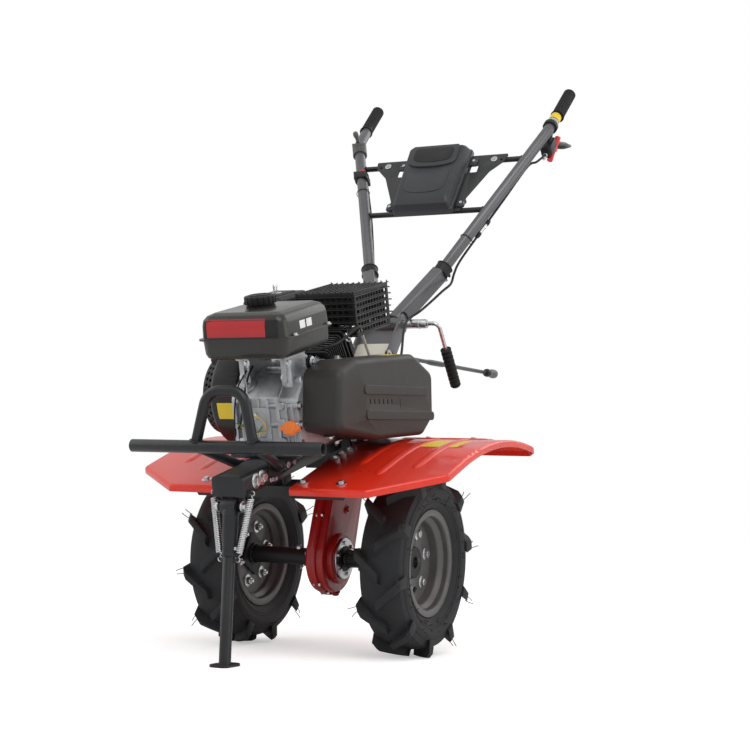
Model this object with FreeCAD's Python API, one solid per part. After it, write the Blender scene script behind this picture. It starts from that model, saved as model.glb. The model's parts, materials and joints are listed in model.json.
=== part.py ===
import FreeCAD, Part
import math
import os

# Walk-behind garden tiller on transport wheels, parked nose-down on its front stand.
# Everything is drawn in the machine's own level frame, in millimetres: x forward, y to the
# machine's left, z up, with the origin on the wheel axle's centre. Only at the end is the
# whole machine pitched about the axle until the stand's foot and the lugs share one floor.

V = FreeCAD.Vector

# ---------------------------------------------------------------- stance and fits
PARK_PITCH = 15.5
BODY_GAP = 0.3
PIN_GAP = 0.1
REACH = 400.0
HALF_TURN = 180.0
FULL_TURN = 360.0
HEX_SIDES = 6
BEND_SHARE = 0.45

# ---------------------------------------------------------------- tyres
LUG_TIP_R = 200.0
LUG_ROOT_R = 162.0
LUG_SHOULDER_R = 191.0
LUGS_PER_SIDE = 10
LUG_TOP_W = 15.0
LUG_FOOT_W = 25.0
LUG_SWEEP = 15.0
LUG_OVERLAP = 5.0
LUG_DRAFT = 1.05
CARCASS_R = 184.0
CARCASS_DROP = 7.0
TYRE_HALF_W = 52.0
TREAD_HALF_W = 45.0
SIDEWALL_R = 150.0
SIDEWALL_TUCK = 5.0
BEAD_R = 128.0
BEAD_SPREAD = 0.6
WHEEL_Y = 208.0

# ---------------------------------------------------------------- rims, hubs and shaft
RIM_HALF_W = 38.0
RIM_LIP_R = 115.0
RIM_SEAT_R = 103.0
RIM_WELL_R = 92.0
RIM_SEAT_W = 14.0
RIM_SLOPE_W = 9.0
RIM_SHEET = 3.0
RIM_BEND_R = 4.5
DISC_INSET = 4.0
DISC_BORE_R = 24.0
DISC_HOLES = 6
DISC_HOLE_R = 5.5
DISC_HOLE_PCD = 126.0
HUB_TUBE_R = 19.0
HUB_COLLAR_R = 23.0
HUB_FLANGE_HALF = 38.0
HUB_FLANGE_T = 6.0
HUB_FACE_R = 34.0
HUB_FACE_T = 5.0
HUB_END_GAP = 6.0
HUB_EDGE_R = 2.0
SHAFT_FLATS = 24.0
HUB_BORE_GAP = 0.4

# ---------------------------------------------------------------- chain case and gearbox
CASE_R = 76.0
CASE_HALF_T = 22.0
CASE_EDGE_R = 6.0
CASE_BAND = 6.0
CASE_BAND_HALF_T = 5.0
BULGE_R = 56.0
BULGE_HALF_T = 34.0
BULGE_EDGE_R = 5.0
CAP_R = 45.0
CAP_T = 5.0
CAP_EDGE_R = 2.0
CASE_TOP_Z = 196.0
CASE_FRONT_TOP_X = -32.0
CASE_REAR_TOP_X = -196.0
BOX_FRONT_X = -34.0
BOX_REAR_X = -236.0
BOX_REAR_KNEE_Z = 236.0
BOX_HALF_Y = 58.0
BOX_TOP_Z = 322.0
BOX_CHAMFER = 22.0
BOX_EDGE_R = 8.0

# ---------------------------------------------------------------- frame
CHANNEL_FRONT_X = 386.0
CHANNEL_HALF_Y = 36.0
CHANNEL_TOP_Z = 284.0
CHANNEL_BOTTOM_Z = 243.0
CHANNEL_BEND_R = 7.0
PLATE_T = 5.0
BED_T = 6.0
BED_FRONT_X = 236.0
BED_REAR_X = 8.0
BED_HALF_Y = 84.0
BED_CORNER_R = 8.0
CROSS_X = 232.0
CROSS_HALF_Y = 187.0
CROSS_DEPTH = 42.0
CROSS_DROP = 26.0
CROSS_T = 4.0
CROSS_CLIP = 14.0
HANGER_INSET = 6.0
BRACKET_X = -232.0
BRACKET_INNER_Y = 44.0
BRACKET_OUTER_Y = 300.0
BRACKET_DEPTH = 36.0
HITCH_HALF_Y = 30.0
HITCH_WALL = 8.0
HITCH_REACH = 62.0
HITCH_TOP_Z = 292.0
HITCH_BOTTOM_Z = 214.0
HITCH_CHEEK_INSET = 18.0
HITCH_PIN_R = 8.5

# ---------------------------------------------------------------- bumper
BUMPER_X = 381.0
BUMPER_Z = 342.0
BUMPER_HALF_Y = 219.0
BUMPER_R = 13.0
BUMPER_WALL = 2.5
BUMPER_BORE_DEPTH = 60.0
HOOP_HALF_Y = 66.0
HOOP_TOP_Z = 450.0
HOOP_TOP_X = 359.0
HOOP_R = 11.0
HOOP_BEND_R = 36.0
HOOP_TAPER = 0.62
STRUT_R = 10.0
STRUT_FOOT_X = 246.0
STRUT_FOOT_Z = 268.0

# ---------------------------------------------------------------- fenders
FENDER_T = 2.0
FENDER_SKIRT = 15.0
FENDER_EDGE_R = 7.0
FENDER_CORNER_R = 14.0
FENDER_FRONT_X = 250.0
FENDER_FRONT_Z = 226.0
FENDER_KNEE_X = 60.0
FENDER_KNEE_Z = 244.0
FENDER_REAR_X = -385.0
FENDER_REAR_Z = 162.0
FENDER_INNER_Y = BOX_HALF_Y
FENDER_CORNER_Y = 233.0
FENDER_OUTER_Y = 368.0
FENDER_SWEEP_X = 143.0
FENDER_TAIL_X = -350.0
FENDER_TAIL_Y = 345.0
FENDER_OVERRUN = 20.0

# ---------------------------------------------------------------- stand
STAND_PIVOT_X = BUMPER_X
STAND_PIVOT_Z = 222.0
STAND_BOLT_R = 5.0
STAND_NUT_R = 8.0
STAND_NUT_H = 5.0
SLEEVE_TOP_R = 16.5
SLEEVE_R = 14.0
SLEEVE_LENGTH = 96.0
LEG_R = 12.0
FOOT_T = 5.0
FOOT_HALF_X = 33.0
FOOT_HALF_Y = 21.0
FOOT_CORNER_R = 14.0
EAR_T = 4.0
EAR_LENGTH = 20.0
EAR_DROP = 11.0
SPRING_R = 6.5
SPRING_WIRE_R = 1.1
SPRING_EYE = 14.0
SPRING_TAB_DROP = 10.0
SPRING_TAB_H = 8.0
SPRING_TAB_W = 6.0
SPRING_BACK = 12.0
SPRING_OUT = 9.0
SPRING_UP = 6.0

# ---------------------------------------------------------------- engine
CRANK_X = 100.0
CRANK_Z = 391.0
CYL_TILT = 25.0
CASE_BASE_Z = CHANNEL_TOP_Z + BED_T
FOOT_FLANGE_H = 11.0
FOOT_FLANGE_OUT = 7.0
CRANKCASE_FRONT_X = 224.0
CRANKCASE_REAR_X = 18.0
CRANKCASE_TOP_Z = 452.0
CRANKCASE_SHOULDER = 46.0
CRANKCASE_CROWN = 14.0
CRANKCASE_CORNER_R = 14.0
CRANKCASE_RIGHT_Y = -72.0
CRANKCASE_LEFT_Y = 84.0
SEAM_Y = 34.0
SEAM_T = 7.0
SEAM_OUT = 4.0
BOSS_R = 7.0
BOSS_OUT = 3.0
BOSS_LENGTH = 18.0
BOSS_COUNT = 3
BOSS_FIRST = 22.0
BOSS_PITCH = 40.0
RIB_T = 4.0
RIB_OUT = 4.0
RIB_COUNT = 4
RIB_PITCH = 21.0
CYL_Y = 14.0
CYL_START = 66.0
BARREL_END = 142.0
HEAD_END = 176.0
ROCKER_END = 206.0
CYL_HALF_Y = 56.0
CYL_HALF_H = 52.0
FIN_COUNT = 8
HEAD_FIN_COUNT = 3
FIN_T = 2.6
FIRST_FIN = 14.0
FIN_CORNER_R = 8.0
HEAD_FIN_T = 5.0
CORE_HALF = 40.0
ROCKER_HALF_H = 32.0
ROCKER_HALF_Y = 46.0
ROCKER_EDGE_R = 7.0
BLOWER_R = 108.0
BLOWER_DEPTH = 66.0
BLOWER_WALL = 12.0
FAN_WALL = 4.0
BLOWER_EDGE_R = 10.0
DUCT_LENGTH = 118.0
DUCT_HALF_H = 46.0
DUCT_INSET = 18.0
FLYWHEEL_T = 20.0
SCREEN_R = 104.0
SCREEN_TIP_R = 94.0
SCREEN_T = 2.5
SCREEN_DEPTH = 30.0
SCREEN_HOLES = 40
SCREEN_HOLE_R = 3.4
SCREEN_ROWS = (0.35, 0.68)
RECOIL_R = 74.0
RECOIL_DEPTH = 36.0
RECOIL_EDGE_R = 8.0
RECOIL_SPOKES = 10
RECOIL_SLOT_R = 5.0
RECOIL_SLOT_IN = 0.42
RECOIL_SLOT_OUT = 0.78
RECOIL_CROWN = 0.8
RECOIL_DISH_RIM = 0.35
RECOIL_DISH = 0.3
PULL_HALF = 42.0
PULL_R = 9.0
TANK_FRONT_X = 300.0
TANK_REAR_X = 96.0
TANK_RIGHT_Y = -86.0
TANK_LEFT_Y = 110.0
TANK_BOTTOM_Z = 500.0
TANK_SEAM_Z = 540.0
TANK_TOP_Z = 593.0
TANK_FLANGE = 7.0
TANK_FLANGE_T = 3.0
TANK_SHEET = 7.0
TANK_CHAMFER = 24.0
TANK_BELLY = 12.0
TANK_BELLY_STEPS = ((0.0, 1.0), (0.3, 0.45), (1.0, 0.15))
TANK_CROWN_STEPS = ((0.55, 0.14), (0.22, 0.42), (0.0, 1.0))
TANK_CORNER = 22.0
FUEL_CAP_X = 190.0
FUEL_CAP_Y = 0.0
FUEL_CAP_R = 33.0
FUEL_CAP_NECK_R = 26.0
FUEL_CAP_NECK_H = 6.0
FUEL_CAP_H = 17.0
FUEL_CAP_EDGE_R = 3.5
FUEL_CAP_NOTCHES = 18
TANK_BRACKET_YS = (-46.0, 52.0)
TANK_BRACKET_HALF_T = 12.0
TANK_BRACKET_REAR_X = 140.0
TANK_BRACKET_FRONT_X = 204.0
MUFFLER_FRONT_X = -42.0
MUFFLER_REAR_X = -192.0
MUFFLER_RIGHT_Y = -34.0
MUFFLER_LEFT_Y = 92.0
MUFFLER_BOTTOM_Z = 514.0
MUFFLER_TOP_Z = 578.0
MUFFLER_EDGE_R = 10.0
MUFFLER_SHEET = 6.0
PORT_X = -68.0
PORT_Y = 46.0
PORT_HALF = 16.0
PORT_DROP = 24.0
GUARD_GAP = 9.0
GUARD_WIRE = 3.0
GUARD_PITCH = 14.0
GUARD_SEAT = 8.0
GUARD_SKIRT = 24.0
CLEANER_FRONT_X = 12.0
CLEANER_REAR_X = -132.0
CLEANER_LEFT_Y = -58.0
CLEANER_RIGHT_Y = -156.0
CLEANER_BOTTOM_Z = 502.0
CLEANER_TOP_Z = 586.0
CLEANER_EDGE_R = 14.0
CARB_X = -62.0
CARB_Z = 478.0
CARB_TRACT_R = 17.0
CARB_BOWL_R = 19.0
CARB_BOWL_H = 44.0
CARB_LEFT_Y = CYL_Y - CYL_HALF_Y
CARB_RIGHT_Y = -104.0
DIPSTICK_Y = 68.0
DIPSTICK_Z = 338.0
DIPSTICK_R = 9.0
DIPSTICK_WING_R = 14.0
DIPSTICK_NECK = 18.0
DIPSTICK_REACH = 31.5

# ---------------------------------------------------------------- belt drive
COVER_OUTER_Y = 170.0
COVER_INNER_Y = CRANKCASE_LEFT_Y
COVER_WALL = 8.0
COVER_CORNER_R = 26.0
COVER_EDGE_R = 13.0
COVER_FRONT_X = 216.0
COVER_FRONT_TOP_Z = 456.0
COVER_FRONT_LOW_Z = 338.0
COVER_CREST_X = 113.0
COVER_CREST_Z = 467.0
COVER_HEEL_X = -165.0
COVER_HEEL_Z = 429.0
COVER_REAR_X = -259.0
COVER_REAR_TOP_Z = 368.0
COVER_REAR_LOW_Z = 267.0
COVER_RAKE = 15.0
COVER_TAIL_X = -185.0
COVER_TAIL_Z = 240.0
COVER_BELLY_X = 43.0
COVER_BELLY_Z = 281.0
STRAP_HALF_W = 10.0
STRAP_OUT = 3.0
STRAP_END_R = 9.8
STRAP_EDGE_R = 1.8
STRAP_FRONT_X = 84.0
STRAP_UPPER_Z = 398.0
STRAP_UPPER_REAR_X = -206.0
STRAP_UPPER_REAR_Z = 336.0
STRAP_LOWER_Z = 344.0
STRAP_LOWER_REAR_X = -232.0
STRAP_LOWER_REAR_Z = 274.0
SLOT_COUNT = 6
SLOT_PITCH = 20.6
SLOT_FIRST_X = 70.0
SLOT_FIRST_Z = 370.0
SLOT_W = 5.0
SLOT_H = 11.0

# ---------------------------------------------------------------- handlebar
PIVOT_X = -375.0
PIVOT_Z = 465.0
PIVOT_BOLT_R = 7.0
BASE_FOOT_X = -196.0
BASE_FOOT_Z = BOX_TOP_Z
BASE_HALF_Y = 50.0
BASE_PLATE_T = 5.0
BASE_EYE_R = 24.0
BASE_CHEEK_HALF = 20.0
BASE_FLOOR_HALF_T = 3.0
BASE_START = 4.0
BASE_POST_H = 26.0
BASE_POST_HALF_X = 32.0
CHEEK_GAP = 6.0
YOKE_R = 19.0
ARM_HALF_W = 15.0
ARM_HALF_H = 21.0
ARM_ROOT_Y = 25.0
ARM_CORNER_R = 6.0
COLLAR_X = -513.0
COLLAR_Y = 94.0
COLLAR_Z = 566.0
COLLAR_R = 20.0
COLLAR_LENGTH = 28.0
COLLAR_EDGE_R = 2.0
TUBE_R = 14.0
TUBE_BEND_R = 90.0
BEND_X = -872.0
BEND_Y = 271.0
BEND_Z = 884.0
GRIP_BASE_X = -933.0
GRIP_BASE_Y = 277.0
GRIP_BASE_Z = 917.0
GRIP_TIP_X = -1029.0
GRIP_TIP_Y = 281.4
GRIP_TIP_Z = 969.8
GRIP_R = 16.5
GRIP_RIB = 1.6
GRIP_RIBS = 15
GRIP_CAP = 4.0
GRIP_END_SHARE = 0.8
GRIP_LAST_RIB = 0.3
CROSS_BAR_R = 7.0
LOWER_BAR_SHARE = 0.44
UPPER_BAR_SHARE = 0.80
PANEL_T = 3.0
PANEL_TOP_HALF = 186.0
PANEL_WING_HALF = 146.0
PANEL_WING_DROP = 48.0
PANEL_WAIST_HALF = 104.0
PANEL_WAIST_H = 34.0
PANEL_FLARE = 6.0
PANEL_FOOT_HALF = 98.0
PANEL_OVERHANG = 12.0
PANEL_CORNER_R = 4.0
PANEL_SLOT_OUT = 112.0
PANEL_SLOT_IN = 92.0
PANEL_SCREW_R = 4.0
PANEL_COVER_HALF = 88.0
PANEL_COVER_DEPTH = 40.0
PANEL_COVER_RISE = 26.0
PANEL_COVER_DROP = 16.0
PANEL_COVER_EDGE_R = 9.0
PANEL_COVER_CORNER_R = 12.0
PANEL_PAD_LOW = 0.25
PANEL_PAD_HIGH = 0.8
SWITCH_SHARE = 0.73
SWITCH_HALF = 11.0
SWITCH_HALF_H = 19.0
CLUTCH_CLAMP_R = 19.0
CLUTCH_CLAMP_W = 13.0
CLUTCH_BODY_R = 11.0
CLUTCH_NECK_R = 8.0
CLUTCH_BLADE_R = 5.0
PERCH_Y = 262.0
PERCH_FRONT_X = -869.0
PERCH_FRONT_Z = 825.0
PERCH_REAR_X = -904.0
PERCH_REAR_Z = 844.0
BLADE_TIP_X = -985.0
BLADE_TIP_Y = 285.0
BLADE_TIP_Z = 838.0
THROTTLE_BACK = 30.0
THROTTLE_RISE = 26.0
THROTTLE_REACH = 34.0
THROTTLE_SWING = 8.5

# ---------------------------------------------------------------- control rods and cable
CRANK_SLEEVE_R = 11.0
CRANK_SLEEVE_L = 62.0
CRANK_NUT_R = 13.0
CRANK_NUT_T = 12.0
CRANK_BEND_R = 14.0
CRANK_ROD_R = 5.0
CRANK_ROD_Y = BASE_HALF_Y + 92.0
CRANK_DROP_X = -72.0
CRANK_DROP_Z = -160.0
CRANK_GRIP_SHARE = 0.42
CRANK_GRIP_R = 13.0
CRANK_GRIP_CORE_R = 9.5
CRANK_GRIP_RINGS = 8
GEAR_ROD_R = 5.0
GEAR_BOSS_R = 13.0
GEAR_BEND_R = 24.0
GEAR_ROOT_X = -214.0
GEAR_ROOT_Z = 296.0
GEAR_KNEE_X = -224.0
GEAR_KNEE_Z = 420.0
GEAR_END_X = -880.0
GEAR_END_Z = 249.0
KNOB_R = 12.0
KNOB_LENGTH = 48.0
KNOB_END_R = 8.4
KNOB_WIDEST = 0.55
KNOB_SHOULDER = 0.85
KNOB_SEAT = 0.7
CABLE_R = 3.0
CABLE_GAP = 1.5
CABLE_REACH = 30.0
CABLE_LOW_SHARE = 0.1
CABLE_SIDE = 22.0
CABLE_SPLIT = 4.0
CABLE_COLLAR_GAP = 6.0
CABLE_ARM_AHEAD = 30.0
CABLE_ARM_OUT = 19.5
CABLE_ARM_DROP = 36.0
CABLE_ENTRY_BACK = 40.0
CABLE_ENTRY_DROP = 32.0
CABLE_SAG = 10.0


# ================================================================ shape helpers
def box(x0, x1, y0, y1, z0, z1):
    """Return an upright block between two corners."""
    return Part.makeBox(x1 - x0, y1 - y0, z1 - z0, V(x0, y0, z0))


def rod(start, end, radius):
    """Return a round bar between two points."""
    axis = end - start
    return Part.makeCylinder(radius, axis.Length, start, axis)


def disc_y(x, z, radius, y0, y1):
    """Return a disc whose axis runs along y."""
    return rod(V(x, y0, z), V(x, y1, z), radius)


def rounded_wire(points, radii):
    """Return a closed wire whose corners are rounded; radii is one value or one per corner."""
    count = len(points)
    if not isinstance(radii, list):
        radii = [radii] * count
    corners = []
    for index, corner in enumerate(points):
        radius = radii[index]
        if radius == 0:
            corners.append((corner, None, corner))
            continue
        back = (points[index - 1] - corner).normalize()
        ahead = (points[(index + 1) % count] - corner).normalize()
        half = back.getAngle(ahead) / 2
        reach = radius / math.tan(half)
        depth = radius / math.sin(half) - radius
        middle = corner + (back + ahead).normalize() * depth
        corners.append((corner + back * reach, middle, corner + ahead * reach))
    edges = []
    for index, (entry, middle, leave) in enumerate(corners):
        if middle is not None:
            edges.append(Part.Arc(entry, middle, leave).toShape())
        following = corners[(index + 1) % count][0]
        edges.append(Part.LineSegment(leave, following).toShape())
    return Part.Wire(edges)


def prism_y(outline, y0, y1, radii=0):
    """Extrude a closed outline of (x, z) points from y0 to y1."""
    points = [V(x, y0, z) for x, z in outline]
    return Part.Face(rounded_wire(points, radii)).extrude(V(0, y1 - y0, 0))


def prism_x(outline, x0, x1, radii=0):
    """Extrude a closed outline of (y, z) points from x0 to x1."""
    points = [V(x0, y, z) for y, z in outline]
    return Part.Face(rounded_wire(points, radii)).extrude(V(x1 - x0, 0, 0))


def prism_z(outline, z0, z1, radii=0):
    """Extrude a closed outline of (x, y) points from z0 to z1."""
    points = [V(x, y, z0) for x, y in outline]
    return Part.Face(rounded_wire(points, radii)).extrude(V(0, 0, z1 - z0))


def fuse(shapes):
    """Join touching solids into one and clean its seams."""
    joined = shapes[0].multiFuse(shapes[1:]) if len(shapes) > 1 else shapes[0]
    return joined.removeSplitter()


def mirror_y(shape):
    """Return the copy on the other side of the machine."""
    return shape.mirror(V(0, 0, 0), V(0, 1, 0))


def pair(shape):
    """Return a shape with its mirror image, as two solids."""
    return Part.makeCompound([shape, mirror_y(shape)])


def tube_path(points, radii):
    """Return a wire of straight runs joined by tangent arcs of the given radii."""
    edges = []
    start = points[0]
    for index in range(1, len(points) - 1):
        corner = points[index]
        back = (points[index - 1] - corner).normalize()
        ahead = (points[index + 1] - corner).normalize()
        half = back.getAngle(ahead) / 2
        reach = radii[index - 1] / math.tan(half)
        middle = (back + ahead).normalize()
        depth = radii[index - 1] / math.sin(half) - radii[index - 1]
        entry = corner + back * reach
        leave = corner + ahead * reach
        edges.append(Part.LineSegment(start, entry).toShape())
        edges.append(Part.Arc(entry, corner + middle * depth, leave).toShape())
        start = leave
    edges.append(Part.LineSegment(start, points[-1]).toShape())
    return Part.Wire(edges)


def sweep_round(points, radii, radius):
    """Sweep a round section along a bent path."""
    path = tube_path(points, radii)
    along = points[1] - points[0]
    section = Part.Wire([Part.Circle(points[0], along, radius).toShape()])
    return path.makePipeShell([section], True, True)


def widest_radii(points):
    """Return the largest comfortable bend radius at each inner point of a route."""
    radii = []
    for index in range(1, len(points) - 1):
        back = points[index - 1] - points[index]
        ahead = points[index + 1] - points[index]
        half = back.getAngle(ahead) / 2
        shorter = min(back.Length, ahead.Length)
        radii.append(BEND_SHARE * shorter * math.tan(half))
    return radii


def oriented_block(origin, along, across, length0, length1, half_across, half_up, corner=0):
    """Return a block on a slanted axis: along, across and their normal."""
    lengthwise = V(along).normalize()
    sideways = V(across).normalize()
    upward = lengthwise.cross(sideways).normalize()
    start = origin + lengthwise * length0
    corners = [
        start + sideways * a * half_across + upward * b * half_up
        for a, b in ((-1, -1), (1, -1), (1, 1), (-1, 1))
    ]
    face = Part.Face(rounded_wire(corners, corner))
    return face.extrude(lengthwise * (length1 - length0))


def revolve_y(profile, y_centre, radii=0, x=0.0, z=0.0):
    """Turn a closed (radius, y) profile about a line along y, the axle unless given."""
    points = [V(x + radius, y_centre + y, z) for radius, y in profile]
    face = Part.Face(rounded_wire(points, radii))
    return face.revolve(V(x, 0, z), V(0, 1, 0), FULL_TURN)


def offset_points(points, distance):
    """Shift an open run of (a, b) points sideways by a distance, keeping its corners true."""
    shifted = []
    for index, (a, b) in enumerate(points):
        normals = []
        for first in (index - 1, index):
            if 0 <= first < len(points) - 1:
                run_a = points[first + 1][0] - points[first][0]
                run_b = points[first + 1][1] - points[first][1]
                length = math.hypot(run_a, run_b)
                normals.append((-run_b / length, run_a / length))
        before, after = normals[0], normals[-1]
        scale = distance / (1 + before[0] * after[0] + before[1] * after[1])
        shifted.append((a + (before[0] + after[0]) * scale, b + (before[1] + after[1]) * scale))
    return shifted


def turns_left(points, index):
    """Say whether an open run of (a, b) points turns left at an inner point."""
    (a0, b0), (a1, b1), (a2, b2) = points[index - 1:index + 2]
    return (a1 - a0) * (b2 - b1) - (b1 - b0) * (a2 - a1) > 0


def sheet_section(points, thickness, bend):
    """Return the closed outline and corner radii of a sheet bent along a run of points."""
    left = offset_points(points, thickness / 2)
    right = offset_points(points, -thickness / 2)
    left_radii = [0]
    right_radii = [0]
    for index in range(1, len(points) - 1):
        change = -thickness / 2 if turns_left(points, index) else thickness / 2
        left_radii.append(bend + change)
        right_radii.append(bend - change)
    left_radii.append(0)
    right_radii.append(0)
    return left + right[::-1], left_radii + right_radii[::-1]


def largest_solid(shape):
    """Return the largest solid of a shape that a cut has left in pieces."""
    return max(shape.Solids, key=lambda solid: solid.Volume)


def edges_where(shape, test):
    """Return the edges of a shape whose bounding box passes a test."""
    return [edge for edge in shape.Edges if test(edge.BoundBox)]


# ================================================================ wheels
def carcass():
    """Return the left tyre's casing between bead and crown."""
    bead = RIM_HALF_W - RIM_SHEET - PIN_GAP
    half = [
        (RIM_SEAT_R + PIN_GAP, bead - RIM_BEND_R), (RIM_SEAT_R + RIM_BEND_R, bead),
        (RIM_LIP_R + 1, bead),
        (BEAD_R, bead + (TYRE_HALF_W - bead) * BEAD_SPREAD),
        (SIDEWALL_R, TYRE_HALF_W),
        (CARCASS_R - CARCASS_DROP, TREAD_HALF_W),
        (CARCASS_R, TREAD_HALF_W / 2),
    ]
    mirrored = [(radius, -y) for radius, y in reversed(half)]
    return revolve_y(half + mirrored, WHEEL_Y)


def lug_envelope():
    """Return the ring inside which every lug ends: flat crown, falling shoulders."""
    half = [
        (SIDEWALL_R, TYRE_HALF_W + SIDEWALL_TUCK / 2),
        (LUG_SHOULDER_R, TYRE_HALF_W + SIDEWALL_TUCK / 2),
        (LUG_TIP_R, TREAD_HALF_W),
    ]
    mirrored = [(radius, -y) for radius, y in reversed(half)]
    return revolve_y(half + mirrored, WHEEL_Y)


def lug(side, turn):
    """Return one chevron lug, drawn at the top of the tyre and turned about the axle."""
    lead = LUG_TIP_R * math.radians(LUG_SWEEP)
    outer = WHEEL_Y + side * (TYRE_HALF_W + SIDEWALL_TUCK)
    inner = WHEEL_Y - side * LUG_OVERLAP

    def loop(height, width):
        half = width / 2
        points = [
            V(-half, outer, height), V(half, outer, height),
            V(lead + half, inner, height), V(lead - half, inner, height),
        ]
        return Part.makePolygon(points + points[:1])

    bar = Part.makeLoft([loop(LUG_ROOT_R, LUG_FOOT_W),
                         loop(LUG_TIP_R * LUG_DRAFT, LUG_TOP_W)], True, True)
    bar.rotate(V(0, 0, 0), V(0, 1, 0), turn)
    return bar


def tyre():
    """Return the left tyre with its two rows of chevron lugs, one outer lug at the floor."""
    pitch = FULL_TURN / LUGS_PER_SIDE
    floor_turn = HALF_TURN - PARK_PITCH - LUG_SWEEP / 2
    lugs = []
    for index in range(LUGS_PER_SIDE):
        lugs.append(lug(1, floor_turn + index * pitch))
        lugs.append(lug(-1, floor_turn + (index + 0.5) * pitch))
    trimmed = Part.makeCompound(lugs).common(lug_envelope())
    return fuse([carcass()] + trimmed.Solids)


def rim():
    """Return the left pressed rim with its drilled disc."""
    lip_y = RIM_HALF_W - RIM_SHEET / 2
    seat = RIM_SEAT_R - RIM_SHEET / 2
    well = RIM_WELL_R - RIM_SHEET / 2
    half = [
        (RIM_LIP_R, lip_y), (seat, lip_y), (seat, lip_y - RIM_SEAT_W),
        (well, lip_y - RIM_SEAT_W - RIM_SLOPE_W),
    ]
    path = half + [(radius, -y) for radius, y in reversed(half)]
    outline, radii = sheet_section(path, RIM_SHEET, RIM_BEND_R)
    barrel = revolve_y(outline, WHEEL_Y, radii)
    face_y = WHEEL_Y - DISC_INSET
    disc = disc_y(0, 0, RIM_WELL_R - RIM_SHEET / 2, face_y - RIM_SHEET, face_y)
    cuts = [disc_y(0, 0, DISC_BORE_R, face_y - 2 * RIM_SHEET, face_y + RIM_SHEET)]
    for index in range(DISC_HOLES):
        turn = 2 * math.pi * index / DISC_HOLES
        x = DISC_HOLE_PCD / 2 * math.cos(turn)
        z = DISC_HOLE_PCD / 2 * math.sin(turn)
        cuts.append(disc_y(x, z, DISC_HOLE_R, face_y - 2 * RIM_SHEET, face_y + RIM_SHEET))
    return fuse([barrel, disc.cut(cuts)])


def hexagon(flats, y0, y1):
    """Return a hexagonal bar on the axle line."""
    corner = flats / math.sqrt(3)
    outline = []
    for index in range(HEX_SIDES):
        turn = math.radians(FULL_TURN * index / HEX_SIDES)
        outline.append((corner * math.cos(turn), corner * math.sin(turn)))
    return prism_y(outline, y0, y1)


def hub():
    """Return the left wheel hub: tube, square flange and outer face disc."""
    face_y = WHEEL_Y - DISC_INSET
    inner_y = BULGE_HALF_T + CAP_T + HUB_END_GAP
    flange_y = face_y - RIM_SHEET
    tube = disc_y(0, 0, HUB_TUBE_R, inner_y, face_y)
    side = HUB_FLANGE_HALF * math.sqrt(2)
    outline = [(side, 0), (0, side), (-side, 0), (0, -side)]
    flange = prism_y(outline, flange_y - HUB_FLANGE_T, flange_y, HUB_COLLAR_R / 2)
    spigot = disc_y(0, 0, HUB_COLLAR_R, flange_y - HUB_FLANGE_T, face_y)
    profile = [
        (SHAFT_FLATS / 2, 0), (HUB_FACE_R, 0), (HUB_FACE_R, HUB_FACE_T), (SHAFT_FLATS / 2, HUB_FACE_T),
    ]
    cap = revolve_y(profile, face_y, [0, 0, HUB_EDGE_R, 0])
    solid = fuse([tube, flange, spigot, cap])
    return solid.cut(hexagon(SHAFT_FLATS + HUB_BORE_GAP, inner_y - 1, face_y + HUB_FACE_T + 1))


def shaft():
    """Return the one hexagonal output shaft that carries both hubs."""
    end = WHEEL_Y - DISC_INSET - RIM_SHEET
    return hexagon(SHAFT_FLATS, -end, end)


# ================================================================ chain case, gearbox, frame
def tangent_point(x, z, radius, side):
    """Return where a line from (x, z) touches a circle about the axle, on one side."""
    turn = math.atan2(z, x) + side * math.acos(radius / math.hypot(x, z))
    return radius * math.cos(turn), radius * math.sin(turn)


def case_slab(grow, half_t):
    """Return the chain case's outline as a slab: straight flanks tangent to the axle bulb."""
    radius = CASE_R + grow
    top_front = (CASE_FRONT_TOP_X + grow, CASE_TOP_Z)
    top_rear = (CASE_REAR_TOP_X - grow, CASE_TOP_Z)
    front = tangent_point(top_front[0], top_front[1], radius, -1)
    rear = tangent_point(top_rear[0], top_rear[1], radius, 1)
    y = -half_t
    edges = [
        Part.LineSegment(V(top_front[0], y, top_front[1]), V(front[0], y, front[1])).toShape(),
        Part.Arc(V(front[0], y, front[1]), V(0, y, -radius), V(rear[0], y, rear[1])).toShape(),
        Part.LineSegment(V(rear[0], y, rear[1]), V(top_rear[0], y, top_rear[1])).toShape(),
        Part.LineSegment(V(top_rear[0], y, top_rear[1]), V(top_front[0], y, top_front[1])).toShape(),
    ]
    return Part.Face(Part.Wire(edges)).extrude(V(0, 2 * half_t, 0))


def shaft_clearance():
    """Return the radius of the running bore round the hexagonal shaft."""
    return SHAFT_FLATS / math.sqrt(3) + BODY_GAP


def chain_case():
    """Return the chain case: two pressed halves with a seam band, and the axle bulge."""
    shell = case_slab(0, CASE_HALF_T)
    flank = edges_where(shell, lambda b: b.YLength < 1 and b.ZMin < CASE_TOP_Z - 1)
    shell = shell.makeFillet(CASE_EDGE_R, flank)
    band = case_slab(CASE_BAND, CASE_BAND_HALF_T)
    profile = [(1, -BULGE_HALF_T), (BULGE_R, -BULGE_HALF_T), (BULGE_R, BULGE_HALF_T),
               (1, BULGE_HALF_T)]
    bulge = revolve_y(profile, 0, [0, BULGE_EDGE_R, BULGE_EDGE_R, 0])
    solid = fuse([shell, band, bulge])
    return solid.cut(disc_y(0, 0, shaft_clearance(), -BULGE_HALF_T - 1, BULGE_HALF_T + 1))


def shaft_caps():
    """Return the two zinc dust caps on the chain case."""
    bore = shaft_clearance()
    profile = [(bore, 0), (CAP_R, 0), (CAP_R, CAP_T), (bore, CAP_T)]
    return pair(revolve_y(profile, BULGE_HALF_T, [0, 0, CAP_EDGE_R, 0]))


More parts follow.
